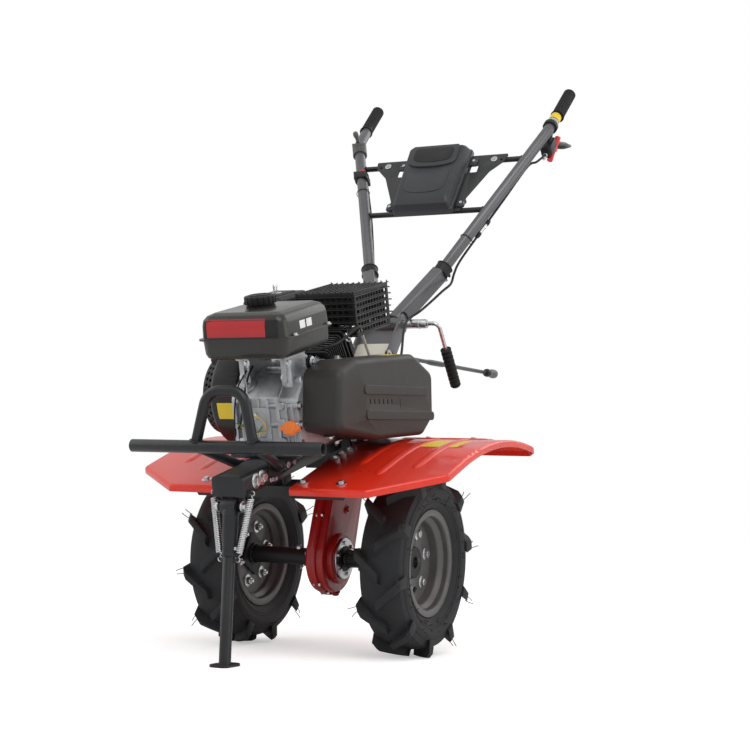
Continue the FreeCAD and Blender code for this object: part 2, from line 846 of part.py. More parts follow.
def gearbox():
    """Return the upper gearbox housing behind the engine."""
    outline = [
        (BOX_FRONT_X, CASE_TOP_Z), (BOX_FRONT_X, BOX_TOP_Z - BOX_CHAMFER),
        (BOX_FRONT_X - BOX_CHAMFER, BOX_TOP_Z), (BOX_REAR_X, BOX_TOP_Z),
        (BOX_REAR_X, BOX_REAR_KNEE_Z), (CASE_REAR_TOP_X, CASE_TOP_Z),
    ]
    radii = [0, BOX_EDGE_R, BOX_EDGE_R, BOX_EDGE_R, BOX_EDGE_R, 0]
    return prism_y(outline, -BOX_HALF_Y, BOX_HALF_Y, radii)


def stand_bolt():
    """Return the bolt that the stand folds about."""
    reach = SLEEVE_TOP_R + PIN_GAP + 1 + EAR_T
    shank = disc_y(STAND_PIVOT_X, STAND_PIVOT_Z, STAND_BOLT_R, -reach, reach)
    head = disc_y(STAND_PIVOT_X, STAND_PIVOT_Z, STAND_NUT_R, reach, reach + STAND_NUT_H)
    nut = disc_y(STAND_PIVOT_X, STAND_PIVOT_Z, STAND_NUT_R, -reach - STAND_NUT_H, -reach)
    return fuse([shank, head, nut])


def front_channel():
    """Return the folded channel from the gearbox to its closed nose, with the stand's ears."""
    mid = PLATE_T / 2
    path = [
        (-CHANNEL_HALF_Y + mid, CHANNEL_BOTTOM_Z), (-CHANNEL_HALF_Y + mid, CHANNEL_TOP_Z - mid),
        (CHANNEL_HALF_Y - mid, CHANNEL_TOP_Z - mid), (CHANNEL_HALF_Y - mid, CHANNEL_BOTTOM_Z),
    ]
    outline, radii = sheet_section(path, PLATE_T, CHANNEL_BEND_R)
    channel = prism_x(outline, BOX_FRONT_X, CHANNEL_FRONT_X, radii)
    y = CHANNEL_HALF_Y
    whole = prism_x([(-y, CHANNEL_BOTTOM_Z), (-y, CHANNEL_TOP_Z), (y, CHANNEL_TOP_Z),
                     (y, CHANNEL_BOTTOM_Z)],
                    CHANNEL_FRONT_X - PLATE_T, CHANNEL_FRONT_X,
                    [0, CHANNEL_BEND_R + mid, CHANNEL_BEND_R + mid, 0])
    pieces = [channel, whole, stand_bolt()] + spring_pegs().Solids
    ear_in = SLEEVE_TOP_R + PIN_GAP + 1
    rear = STAND_PIVOT_X - EAR_LENGTH
    for side in (-1, 1):
        low, high = sorted((side * ear_in, side * (ear_in + EAR_T)))
        pieces.append(box(rear, CHANNEL_FRONT_X - PLATE_T, low, high,
                          STAND_PIVOT_Z - EAR_DROP, CHANNEL_BOTTOM_Z + 1))
        low, high = sorted((side * ear_in, side * CHANNEL_HALF_Y))
        pieces.append(box(rear, CHANNEL_FRONT_X, low, high, CHANNEL_BOTTOM_Z - 1,
                          CHANNEL_BOTTOM_Z + 3))
    return fuse(pieces)


def engine_bed():
    """Return the bed plate that carries the engine on the channel."""
    outline = [(BED_REAR_X, -BED_HALF_Y), (BED_FRONT_X, -BED_HALF_Y), (BED_FRONT_X, BED_HALF_Y),
               (BED_REAR_X, BED_HALF_Y)]
    return prism_z(outline, CHANNEL_TOP_Z, CHANNEL_TOP_Z + BED_T, BED_CORNER_R)


def run_direction():
    """Return the slope of the fenders' flat front run, towards the rear."""
    rise = FENDER_KNEE_Z - FENDER_FRONT_Z
    return V(FENDER_KNEE_X - FENDER_FRONT_X, 0, rise).normalize()


def fender_underside(x):
    """Return the height of the fenders' underside on their flat front run."""
    back = run_direction()
    return FENDER_FRONT_Z + (x - FENDER_FRONT_X) * back.z / back.x - FENDER_T / -back.x


def cross_plate():
    """Return the folded front cross plate under both fenders, with hangers to the channel."""
    front_z = fender_underside(CROSS_X)
    rear_x = CROSS_X - CROSS_DEPTH
    rear_z = fender_underside(rear_x)
    half = CROSS_HALF_Y
    foot = CROSS_HALF_Y - CROSS_CLIP
    outline = [(rear_x, rear_z), (CROSS_X, front_z), (CROSS_X, front_z - CROSS_T),
               (rear_x, rear_z - CROSS_T)]
    shelf = prism_y(outline, -half, half)
    flange = prism_x([(-half, front_z), (half, front_z), (foot, front_z - CROSS_DROP),
                      (-foot, front_z - CROSS_DROP)], CROSS_X - CROSS_T, CROSS_X)
    pieces = [shelf, flange]
    for side in (-1, 1):
        low, high = sorted((side * (CHANNEL_HALF_Y - PLATE_T), side * CHANNEL_HALF_Y))
        pieces.append(box(rear_x + HANGER_INSET, CROSS_X - HANGER_INSET, low, high,
                          front_z - CROSS_T, CHANNEL_BOTTOM_Z))
    return fuse(pieces)


def fender_brackets():
    """Return the two rear brackets, from the gearbox out under the falling part of each fender."""
    slab = fender_slab(FENDER_T, FENDER_T + CROSS_T, BRACKET_INNER_Y, BRACKET_OUTER_Y)
    window = box(BRACKET_X - BRACKET_DEPTH, BRACKET_X, BRACKET_INNER_Y, BRACKET_OUTER_Y,
                 0, CHANNEL_TOP_Z)
    return pair(slab.common(window).cut(gearbox()))


def hitch():
    """Return the rear hitch: two cheeks and a vertical pin sleeve for implements."""
    x0 = BOX_REAR_X - HITCH_REACH
    pieces = []
    for side in (-1, 1):
        low, high = sorted((side * (HITCH_HALF_Y - HITCH_WALL), side * HITCH_HALF_Y))
        pieces.append(box(x0, BOX_REAR_X, low, high, HITCH_BOTTOM_Z + HITCH_CHEEK_INSET,
                          HITCH_TOP_Z - HITCH_CHEEK_INSET))
    sleeve_x = x0 + HITCH_HALF_Y
    height = HITCH_TOP_Z - HITCH_BOTTOM_Z
    sleeve_r = HITCH_HALF_Y - HITCH_WALL / 2
    pieces.append(Part.makeCylinder(sleeve_r, height, V(sleeve_x, 0, HITCH_BOTTOM_Z)))
    bore = Part.makeCylinder(HITCH_PIN_R, height + 2, V(sleeve_x, 0, HITCH_BOTTOM_Z - 1))
    return fuse(pieces).cut(bore).cut(gearbox())


# ================================================================ fenders
def fender_arc():
    """Return centre and radius of the arc that leaves the front run tangentially."""
    back = run_direction()
    knee = V(FENDER_KNEE_X, 0, FENDER_KNEE_Z)
    downward = V(-back.z, 0, back.x)
    chord = V(FENDER_REAR_X, 0, FENDER_REAR_Z) - knee
    radius = chord.Length ** 2 / (2 * chord.dot(downward))
    return knee + downward * radius, radius


def fender_section(offset, y):
    """Return the stations of the fender's side curve, lowered by an offset."""
    centre, radius = fender_arc()
    radius -= offset
    back = run_direction()
    upward = V(back.z, 0, -back.x)
    knee = centre + upward * radius
    front = knee - back * (FENDER_FRONT_X + FENDER_OVERRUN - FENDER_KNEE_X)
    stations = [front, knee]
    for x in ((FENDER_KNEE_X + FENDER_REAR_X) / 2, FENDER_REAR_X - FENDER_OVERRUN):
        stations.append(V(x, 0, centre.z + math.sqrt(radius ** 2 - (x - centre.x) ** 2)))
    return [V(point.x, y, point.z) for point in stations]


def fender_slab(top_offset, bottom_offset, y0, y1):
    """Return a layer that follows the fender's side curve between two offsets."""
    upper = fender_section(top_offset, y0)
    lower = fender_section(bottom_offset, y0)
    edges = [
        Part.LineSegment(upper[0], upper[1]).toShape(),
        Part.Arc(upper[1], upper[2], upper[3]).toShape(),
        Part.LineSegment(upper[3], lower[3]).toShape(),
        Part.Arc(lower[3], lower[2], lower[1]).toShape(),
        Part.LineSegment(lower[1], lower[0]).toShape(),
        Part.LineSegment(lower[0], upper[0]).toShape(),
    ]
    return Part.Face(Part.Wire(edges)).extrude(V(0, y1 - y0, 0))


def crown_edges(block):
    """Return the edges round the faces of a block that look up."""
    crowns = []
    for face in block.Faces:
        u, v = face.Surface.parameter(face.CenterOfMass)
        if face.normalAt(u, v).z > 0.5:
            crowns.append(face)
    edges = []
    for face in crowns:
        others = [edge for other in crowns if other is not face for edge in other.Edges]
        edges += [edge for edge in face.Edges if not any(edge.isSame(o) for o in others)]
    return edges


def fender_block(inset, top_offset, inner_inset):
    """Return the fender's outer or inner form: its plan, its side curve and a rolled edge."""
    x0 = FENDER_REAR_X + inset
    x1 = FENDER_FRONT_X - inset
    y0 = FENDER_INNER_Y + inner_inset
    y1 = FENDER_OUTER_Y - inset
    outline = [
        V(x1, y0, 0), V(x1, FENDER_CORNER_Y - inset / 2, 0), V(FENDER_SWEEP_X - inset / 2, y1, 0),
        V(FENDER_TAIL_X + inset / 2, y1, 0), V(x0, FENDER_TAIL_Y - inset / 2, 0), V(x0, y0, 0),
    ]
    radius = FENDER_CORNER_R - inset
    plan = Part.Face(rounded_wire(outline, [0, radius, radius, radius, radius, 0]))
    plan = plan.extrude(V(0, 0, REACH))
    slab = fender_slab(top_offset, FENDER_SKIRT + inset, y0 - FENDER_OVERRUN,
                       y1 + FENDER_OVERRUN)
    block = slab.common(plan)
    roll = FENDER_EDGE_R - inset
    rim_edges = [edge for edge in crown_edges(block) if edge.BoundBox.YMax > y0 + 1]
    return block.makeFillet(roll, rim_edges)


def fender():
    """Return the left fender: an arched sheet with a rolled edge and a turned-down skirt."""
    outer = fender_block(0, 0, 0)
    inner = fender_block(FENDER_T, FENDER_T, -FENDER_T)
    return outer.cut(inner)


# ================================================================ bumper and stand
def bumper_bar():
    """Return the straight cross bar of the bumper, open at both ends."""
    bar = disc_y(BUMPER_X, BUMPER_Z, BUMPER_R, -BUMPER_HALF_Y, BUMPER_HALF_Y)
    bore = BUMPER_R - BUMPER_WALL
    for side in (-1, 1):
        ends = (side * (BUMPER_HALF_Y - BUMPER_BORE_DEPTH), side * (BUMPER_HALF_Y + 1))
        bar = bar.cut(disc_y(BUMPER_X, BUMPER_Z, bore, min(ends), max(ends)))
    return bar


def bumper_hoop():
    """Return the hoop that stands on the bumper bar."""
    foot_z = BUMPER_Z + BUMPER_R / 2
    points = [
        V(BUMPER_X, -HOOP_HALF_Y, foot_z),
        V(HOOP_TOP_X, -HOOP_HALF_Y * HOOP_TAPER, HOOP_TOP_Z),
        V(HOOP_TOP_X, HOOP_HALF_Y * HOOP_TAPER, HOOP_TOP_Z),
        V(BUMPER_X, HOOP_HALF_Y, foot_z),
    ]
    hoop = sweep_round(points, [HOOP_BEND_R, HOOP_BEND_R], HOOP_R)
    return hoop.cut(disc_y(BUMPER_X, BUMPER_Z, BUMPER_R, -BUMPER_HALF_Y, BUMPER_HALF_Y))


def bumper_struts():
    """Return the two diagonal struts from the channel up to the bar."""
    foot = V(STRUT_FOOT_X, CHANNEL_HALF_Y + STRUT_R, STRUT_FOOT_Z)
    strut = rod(foot, V(BUMPER_X, HOOP_HALF_Y, BUMPER_Z), STRUT_R)
    bar = disc_y(BUMPER_X, BUMPER_Z, BUMPER_R, -BUMPER_HALF_Y, BUMPER_HALF_Y)
    channel = box(BOX_FRONT_X, CHANNEL_FRONT_X, -CHANNEL_HALF_Y, CHANNEL_HALF_Y,
                  CHANNEL_BOTTOM_Z, CHANNEL_TOP_Z + STRUT_R)
    return pair(strut.cut(bar).cut(channel))


def leg_direction():
    """Return the leg's direction, upright once the machine is parked."""
    rake = math.radians(PARK_PITCH)
    return V(math.sin(rake), 0, -math.cos(rake))


def leg_station(distance):
    """Return the point at a distance from the stand's pivot along its leg."""
    return V(STAND_PIVOT_X, 0, STAND_PIVOT_Z) + leg_direction() * distance


def leg_length():
    """Return the distance from the stand's pivot to the floor along the leg."""
    rake = math.radians(PARK_PITCH)
    pivot_height = -STAND_PIVOT_X * math.sin(rake) + STAND_PIVOT_Z * math.cos(rake)
    return pivot_height + LUG_TIP_R


def stand_sleeve():
    """Return the tapered upper sleeve with its eye."""
    start = STAND_BOLT_R
    cone = Part.makeCone(SLEEVE_TOP_R, SLEEVE_R, SLEEVE_LENGTH - start, leg_station(start),
                         leg_direction())
    eye = disc_y(STAND_PIVOT_X, STAND_PIVOT_Z, SLEEVE_TOP_R, -SLEEVE_TOP_R, SLEEVE_TOP_R)
    bore = STAND_BOLT_R + PIN_GAP
    return fuse([cone, eye]).cut(
        disc_y(STAND_PIVOT_X, STAND_PIVOT_Z, bore, -SLEEVE_TOP_R - 1, SLEEVE_TOP_R + 1))


def stand_leg():
    """Return the inner leg with its rounded foot pad flat on the floor and two spring lugs."""
    length = leg_length()
    leg = rod(leg_station(SLEEVE_LENGTH), leg_station(length - FOOT_T / 2), LEG_R)
    down = leg_direction()
    ahead = V(0, 1, 0).cross(down)
    centre = leg_station(length - FOOT_T)
    corners = [
        centre + ahead * a * FOOT_HALF_X + V(0, b * FOOT_HALF_Y, 0)
        for a, b in ((-1, -1), (1, -1), (1, 1), (-1, 1))
    ]
    pad = Part.Face(rounded_wire(corners, FOOT_CORNER_R)).extrude(down * FOOT_T)
    pieces = [leg, pad]
    for side in (-1, 1):
        root = leg_station(SLEEVE_LENGTH + SPRING_TAB_DROP) + V(0, side * LEG_R / 2, 0)
        pieces.append(rod(root, root + V(0, side * (LEG_R / 2 + SPRING_TAB_W), 0),
                          SPRING_TAB_H / 2))
    return fuse(pieces)


def spring_ends():
    """Return the upper and lower end of the left tension spring."""
    top = V(STAND_PIVOT_X - SPRING_BACK, CHANNEL_HALF_Y + SPRING_OUT,
            CHANNEL_BOTTOM_Z + SPRING_UP)
    low = leg_station(SLEEVE_LENGTH + SPRING_TAB_DROP)
    low.y = LEG_R + SPRING_TAB_W + SPRING_WIRE_R + BODY_GAP
    return top, low


def spring_pegs():
    """Return the two pegs on the channel's sides that the springs hook onto."""
    top, _ = spring_ends()
    reach = top.y - 2 * SPRING_WIRE_R - BODY_GAP
    return pair(disc_y(top.x, top.z, SPRING_TAB_H / 2, CHANNEL_HALF_Y - PLATE_T / 2, reach))


def stand_springs():
    """Return the two tension springs as plain closed coils with their end wires."""
    top, low = spring_ends()
    along = (low - top).normalize()
    start = top + along * SPRING_EYE
    end = low - along * SPRING_EYE
    coil = rod(start, end, SPRING_R)
    return pair(fuse([coil, rod(top, start, SPRING_WIRE_R), rod(end, low, SPRING_WIRE_R)]))


# ================================================================ engine
def cylinder_frame(distance, height, y=CYL_Y):
    """Return the point at a distance along the tilted cylinder and a height across it."""
    tilt = math.radians(CYL_TILT)
    x = CRANK_X - distance * math.cos(tilt) + height * math.sin(tilt)
    z = CRANK_Z + distance * math.sin(tilt) + height * math.cos(tilt)
    return V(x, y, z)


def cylinder_block(d0, d1, half_y, half_h, corner=0):
    """Return a block on the cylinder's axis."""
    along = cylinder_frame(1, 0) - cylinder_frame(0, 0)
    return oriented_block(cylinder_frame(0, 0), along, V(0, 1, 0), d0, d1, half_y, half_h, corner)


def crankcase_outline():
    """Return the crankcase's side outline."""
    shoulder_x = CRANKCASE_FRONT_X - CRANKCASE_SHOULDER
    return [
        (CRANKCASE_REAR_X, CASE_BASE_Z), (CRANKCASE_FRONT_X, CASE_BASE_Z),
        (CRANKCASE_FRONT_X, CRANKCASE_TOP_Z - CRANKCASE_SHOULDER), (shoulder_x, CRANKCASE_TOP_Z),
        (CRANK_X, CRANKCASE_TOP_Z + CRANKCASE_CROWN),
        (CRANKCASE_REAR_X + CRANKCASE_CORNER_R, CRANKCASE_TOP_Z),
        (CRANKCASE_REAR_X, CRANKCASE_TOP_Z - CRANKCASE_SHOULDER),
    ]


def crankcase():
    """Return the aluminium crankcase with its base flange, seam, bosses and ribs."""
    radius = CRANKCASE_CORNER_R
    radii = [0, 0, radius, radius, radius, radius, radius]
    body = prism_y(crankcase_outline(), CRANKCASE_RIGHT_Y, CRANKCASE_LEFT_Y, radii)
    points = [V(x, SEAM_Y, z) for x, z in crankcase_outline()]
    grown = rounded_wire(points, radii).makeOffset2D(SEAM_OUT)
    seam = Part.Face(grown).extrude(V(0, SEAM_T, 0))
    flange = box(CRANKCASE_REAR_X - FOOT_FLANGE_OUT, CRANKCASE_FRONT_X + FOOT_FLANGE_OUT,
                 CRANKCASE_RIGHT_Y, CRANKCASE_LEFT_Y, CASE_BASE_Z, CASE_BASE_Z + FOOT_FLANGE_H)
    pieces = [body, seam, flange]
    boss_x = CRANKCASE_FRONT_X + BOSS_OUT - BOSS_R
    for index in range(BOSS_COUNT):
        z = CASE_BASE_Z + BOSS_FIRST + index * BOSS_PITCH
        pieces.append(disc_y(boss_x, z, BOSS_R, SEAM_Y - BOSS_LENGTH, CRANKCASE_LEFT_Y - 1))
    for index in range(RIB_COUNT):
        y = CRANKCASE_RIGHT_Y + (index + 1) * RIB_PITCH
        pieces.append(box(boss_x, CRANKCASE_FRONT_X + RIB_OUT, y, y + RIB_T, CASE_BASE_Z,
                          CRANKCASE_TOP_Z - CRANKCASE_SHOULDER))
    floor = box(-REACH, REACH, -REACH, REACH, CASE_BASE_Z - BOSS_FIRST, CASE_BASE_Z)
    return fuse(pieces).cut(floor)


def cylinder():
    """Return the finned barrel."""
    core = cylinder_block(CYL_START, BARREL_END, CORE_HALF, CORE_HALF)
    pieces = [core]
    first = CYL_START + FIRST_FIN
    pitch = (BARREL_END - first) / FIN_COUNT
    for index in range(FIN_COUNT):
        start = first + index * pitch
        pieces.append(cylinder_block(start, start + FIN_T, CYL_HALF_Y, CYL_HALF_H, FIN_CORNER_R))
    return fuse(pieces).cut(crankcase())


def cylinder_head():
    """Return the finned head with its rocker cover."""
    pieces = [cylinder_block(BARREL_END, HEAD_END, CORE_HALF, CORE_HALF)]
    pitch = (HEAD_END - BARREL_END - HEAD_FIN_T) / (HEAD_FIN_COUNT - 1)
    for index in range(HEAD_FIN_COUNT):
        start = BARREL_END + index * pitch
        pieces.append(cylinder_block(start, start + HEAD_FIN_T, CYL_HALF_Y, CYL_HALF_H,
                                     FIN_CORNER_R))
    cover = cylinder_block(HEAD_END - ROCKER_EDGE_R, ROCKER_END, ROCKER_HALF_Y, ROCKER_HALF_H)
    pieces.append(cover.makeFillet(ROCKER_EDGE_R, cover.Edges))
    return fuse(pieces)


def blower_housing():
    """Return the fan cowl on the machine's right, with its duct to the cylinder."""
    y1 = CRANKCASE_RIGHT_Y
    y0 = y1 - BLOWER_DEPTH
    drum = disc_y(CRANK_X, CRANK_Z, BLOWER_R, y0, y1)
    drum = drum.makeFillet(BLOWER_EDGE_R, edges_where(drum, lambda b: b.YMax < y0 + 1))
    along = cylinder_frame(1, 0) - cylinder_frame(0, 0)
    half_y = (BLOWER_DEPTH - DUCT_INSET) / 2
    origin = cylinder_frame(0, 0, y1 - half_y)
    duct = oriented_block(origin, along, V(0, 1, 0), 0, DUCT_LENGTH, half_y, DUCT_HALF_H,
                          BLOWER_EDGE_R)
    floor = box(-REACH, REACH, y0 - 1, y1 + 1, 0, CASE_BASE_Z)
    room = disc_y(CRANK_X, CRANK_Z, BLOWER_R - BLOWER_WALL, y0 + FAN_WALL, y1 - FLYWHEEL_T)
    return fuse([drum, duct]).cut(floor).cut(room)


def recoil_starter():
    """Return the pull start: a perforated cone, a domed cover with spokes and its grip."""
    y1 = CRANKCASE_RIGHT_Y - BLOWER_DEPTH
    root = SCREEN_R - BLOWER_EDGE_R
    profile = [
        (root, 0), (SCREEN_TIP_R - BLOWER_EDGE_R, -SCREEN_DEPTH), (RECOIL_R - RECOIL_EDGE_R,
                                                                  -SCREEN_DEPTH),
        (RECOIL_R - RECOIL_EDGE_R, SCREEN_T - SCREEN_DEPTH),
        (SCREEN_TIP_R - BLOWER_EDGE_R - SCREEN_T, SCREEN_T - SCREEN_DEPTH),
        (root - SCREEN_T, 0),
    ]
    screen = revolve_y(profile, y1, 0, CRANK_X, CRANK_Z)
    holes = []
    for row in SCREEN_ROWS:
        y = y1 - SCREEN_DEPTH * row
        for index in range(SCREEN_HOLES):
            turn = 2 * math.pi * (index + row) / SCREEN_HOLES
            spoke = V(math.cos(turn), 0, math.sin(turn))
            centre = V(CRANK_X, y, CRANK_Z)
            holes.append(rod(centre + spoke * RECOIL_R, centre + spoke * SCREEN_R, SCREEN_HOLE_R))
    screen = screen.cut(Part.makeCompound(holes))
    dome = [
        (0, 0), (RECOIL_R, 0), (RECOIL_R, -SCREEN_DEPTH),
        (RECOIL_R * RECOIL_CROWN, -RECOIL_DEPTH), (RECOIL_R * RECOIL_DISH_RIM, -RECOIL_DEPTH),
        (RECOIL_R * RECOIL_DISH, SCREEN_T - RECOIL_DEPTH),
        (0, SCREEN_T - RECOIL_DEPTH),
    ]
    cover = revolve_y(dome, y1, [0, 0, RECOIL_EDGE_R, RECOIL_EDGE_R, 0, 0, 0], CRANK_X, CRANK_Z)
    slots = []
    for index in range(RECOIL_SPOKES):
        turn = 2 * math.pi * (index + 0.5) / RECOIL_SPOKES
        spoke = V(math.cos(turn), 0, math.sin(turn))
        start = V(CRANK_X, y1 - RECOIL_DEPTH, CRANK_Z)
        slots.append(rod(start + spoke * RECOIL_R * RECOIL_SLOT_IN,
                         start + spoke * RECOIL_R * RECOIL_SLOT_OUT, RECOIL_SLOT_R))
    cover = cover.cut(Part.makeCompound(slots))
    grip_z = CRANK_Z + RECOIL_R + RECOIL_EDGE_R
    grip_y = y1 - RECOIL_DEPTH / 2
    bar = rod(V(CRANK_X + PULL_HALF, grip_y, grip_z), V(CRANK_X - PULL_HALF, grip_y, grip_z),
              PULL_R)
    neck = rod(V(CRANK_X, grip_y, grip_z), V(CRANK_X, grip_y, CRANK_Z + RECOIL_R / 2), PULL_R / 2)
    return fuse([screen, cover, bar, neck])


def tank_loop(z, grow):
    """Return one level outline of the fuel tank, its corners rounded."""
    x0, x1 = TANK_REAR_X - grow, TANK_FRONT_X + grow
    y0, y1 = TANK_RIGHT_Y - grow, TANK_LEFT_Y + grow
    points = [V(x0, y0, z), V(x1, y0, z), V(x1, y1, z), V(x0, y1, z)]
    return rounded_wire(points, TANK_CORNER + grow / 2)


def tank_slab(levels):
    """Return the loft through a run of (height, growth) levels of the tank."""
    loops = [tank_loop(z, grow) for z, grow in levels]
    return Part.makeLoft(loops, True, True)


def fuel_tank():
    """Return the hollow two-shell fuel tank with its seam flange."""
    floor = TANK_BOTTOM_Z
    top = TANK_TOP_Z
    roll = TANK_CHAMFER
    belly = [(floor + TANK_BELLY * up, -TANK_BELLY * inward) for up, inward in TANK_BELLY_STEPS]
    lower = tank_slab(belly + [(TANK_SEAM_Z, 0)])
    flange = tank_slab([(TANK_SEAM_Z, TANK_FLANGE), (TANK_SEAM_Z + TANK_FLANGE_T, TANK_FLANGE)])
    crown = [(top - roll * down, -roll * inward) for down, inward in TANK_CROWN_STEPS]
    upper = tank_slab([(TANK_SEAM_Z + TANK_FLANGE_T, 0), (top - roll, -1)] + crown)
    room = tank_slab([(floor + TANK_BELLY, -TANK_SHEET), (top - roll, -TANK_SHEET)])
    return fuse([lower, flange, upper]).cut(room)


def fuel_cap():
    """Return the round fuel cap with its grip notches."""
    base = V(FUEL_CAP_X, FUEL_CAP_Y, TANK_TOP_Z)
    neck = Part.makeCylinder(FUEL_CAP_NECK_R, FUEL_CAP_NECK_H, base)
    disc = Part.makeCylinder(FUEL_CAP_R, FUEL_CAP_H, base + V(0, 0, FUEL_CAP_NECK_H))
    top_edge = edges_where(disc, lambda b: b.ZMin > TANK_TOP_Z + FUEL_CAP_NECK_H + 1)
    disc = disc.makeFillet(FUEL_CAP_EDGE_R, top_edge)
    notches = []
    for index in range(FUEL_CAP_NOTCHES):
        turn = 2 * math.pi * index / FUEL_CAP_NOTCHES
        spot = base + V(FUEL_CAP_R * math.cos(turn), FUEL_CAP_R * math.sin(turn), 0)
        notches.append(Part.makeCylinder(FUEL_CAP_EDGE_R / 2, TANK_CORNER * 2, spot))
    return fuse([neck, disc.cut(Part.makeCompound(notches))])


def tank_brackets():
    """Return the two aluminium brackets under the tank."""
    brackets = []
    for y in TANK_BRACKET_YS:
        outline = [
            (TANK_BRACKET_REAR_X, CASE_BASE_Z), (TANK_BRACKET_FRONT_X, CASE_BASE_Z),
            (TANK_BRACKET_FRONT_X, TANK_BOTTOM_Z), (TANK_BRACKET_REAR_X, TANK_BOTTOM_Z),
        ]
        brackets.append(prism_y(outline, y - TANK_BRACKET_HALF_T, y + TANK_BRACKET_HALF_T))
    whole = Part.makeCompound(brackets).cut(crankcase())
    return Part.makeCompound([part for part in whole.Solids
                              if part.BoundBox.ZMax > TANK_BOTTOM_Z - 1])


def muffler():
    """Return the exhaust box with its inlet port."""
    body = box(MUFFLER_REAR_X, MUFFLER_FRONT_X, MUFFLER_RIGHT_Y, MUFFLER_LEFT_Y,
               MUFFLER_BOTTOM_Z, MUFFLER_TOP_Z)
    body = body.makeFillet(MUFFLER_EDGE_R, body.Edges)
    port = box(PORT_X - PORT_HALF, PORT_X + PORT_HALF, PORT_Y - PORT_HALF, PORT_Y + PORT_HALF,
               MUFFLER_BOTTOM_Z - PORT_DROP, MUFFLER_BOTTOM_Z + MUFFLER_SHEET)
    sheet = MUFFLER_SHEET
    room = box(MUFFLER_REAR_X + sheet, MUFFLER_FRONT_X - sheet, MUFFLER_RIGHT_Y + sheet,
               MUFFLER_LEFT_Y - sheet, MUFFLER_BOTTOM_Z + sheet, MUFFLER_TOP_Z - sheet)
    return fuse([body, port]).cut(cylinder_head()).cut(room)


def mesh_stations(low, high):
    """Return the lower edges of the square openings between two ends of a mesh panel."""
    count = int((high - low - GUARD_WIRE) / GUARD_PITCH)
    margin = (high - low - count * GUARD_PITCH + GUARD_WIRE) / 2
    return [low + margin + index * GUARD_PITCH for index in range(count)]


def muffler_guard():
    """Return the mesh guard on five sides of the exhaust box, with its seats."""
    x0 = MUFFLER_REAR_X - GUARD_GAP
    x1 = MUFFLER_FRONT_X + GUARD_GAP
    y0 = MUFFLER_RIGHT_Y - GUARD_GAP
    y1 = MUFFLER_LEFT_Y + GUARD_GAP
    z0 = MUFFLER_BOTTOM_Z - GUARD_SKIRT
    z1 = MUFFLER_TOP_Z + GUARD_GAP
    t = GUARD_WIRE
    shell = box(x0, x1, y0, y1, z0, z1).cut(box(x0 + t, x1 - t, y0 + t, y1 - t, z0 - 1, z1 - t))
    opening = GUARD_PITCH - GUARD_WIRE
    holes = []
    for x in mesh_stations(x0, x1):
        for z in mesh_stations(z0, z1):
            holes.append(box(x, x + opening, y0 - 1, y1 + 1, z, z + opening))
        for y in mesh_stations(y0, y1):
            holes.append(box(x, x + opening, y, y + opening, z1 - 2 * t, z1 + 1))
    for y in mesh_stations(y0, y1):
        for z in mesh_stations(z0, z1):
            holes.append(box(x0 - 1, x1 + 1, y, y + opening, z, z + opening))
    shell = shell.cut(Part.makeCompound(holes))
    head_room = cylinder_block(0, ROCKER_END + t, CYL_HALF_Y + t, CYL_HALF_H + t)
    seats = []
    middle = (MUFFLER_BOTTOM_Z + MUFFLER_TOP_Z) / 2
    for x in (x0 + GUARD_PITCH * 2, x1 - GUARD_PITCH * 2):
        seats.append(box(x - GUARD_SEAT, x + GUARD_SEAT, y0 + t / 2, y1 - t / 2,
                         middle - GUARD_SEAT, middle + GUARD_SEAT))
    body = box(MUFFLER_REAR_X, MUFFLER_FRONT_X, MUFFLER_RIGHT_Y, MUFFLER_LEFT_Y, 0, REACH * 2)
    seats = Part.makeCompound(seats).cut(body)
    return fuse([shell.cut(head_room)] + seats.Solids)


def air_cleaner():
    """Return the air cleaner box behind the tank."""
    body = box(CLEANER_REAR_X, CLEANER_FRONT_X, CLEANER_RIGHT_Y, CLEANER_LEFT_Y,
               CLEANER_BOTTOM_Z, CLEANER_TOP_Z)
    return body.makeFillet(CLEANER_EDGE_R, body.Edges)


def carburettor():
    """Return the carburettor between head and air cleaner."""
    tract = disc_y(CARB_X, CARB_Z, CARB_TRACT_R, CARB_RIGHT_Y + CARB_TRACT_R, CARB_LEFT_Y)
    bowl_y = (CARB_RIGHT_Y + CARB_LEFT_Y) / 2 - CARB_TRACT_R / 2
    bowl = Part.makeCylinder(CARB_BOWL_R, CARB_BOWL_H, V(CARB_X, bowl_y, CARB_Z - CARB_BOWL_H))
    riser = box(CARB_X - CARB_BOWL_R, CARB_X + CARB_BOWL_R, CARB_RIGHT_Y,
                CARB_RIGHT_Y + 2 * CARB_BOWL_R, CARB_Z, CLEANER_BOTTOM_Z + CLEANER_EDGE_R / 2)
    return fuse([tract, bowl, riser]).cut(cylinder_head()).cut(air_cleaner())


def dipstick():
    """Return the orange oil filler plug."""
    root = V(CRANKCASE_FRONT_X - DIPSTICK_R, DIPSTICK_Y, DIPSTICK_Z)
    out = V(math.cos(math.radians(CYL_TILT)), 0, math.sin(math.radians(CYL_TILT)))
    shank = rod(root, root + out * (DIPSTICK_NECK + DIPSTICK_R), DIPSTICK_R)
    wing = rod(root + out * DIPSTICK_NECK, root + out * DIPSTICK_REACH, DIPSTICK_WING_R)
    return fuse([shank, wing]).cut(crankcase())


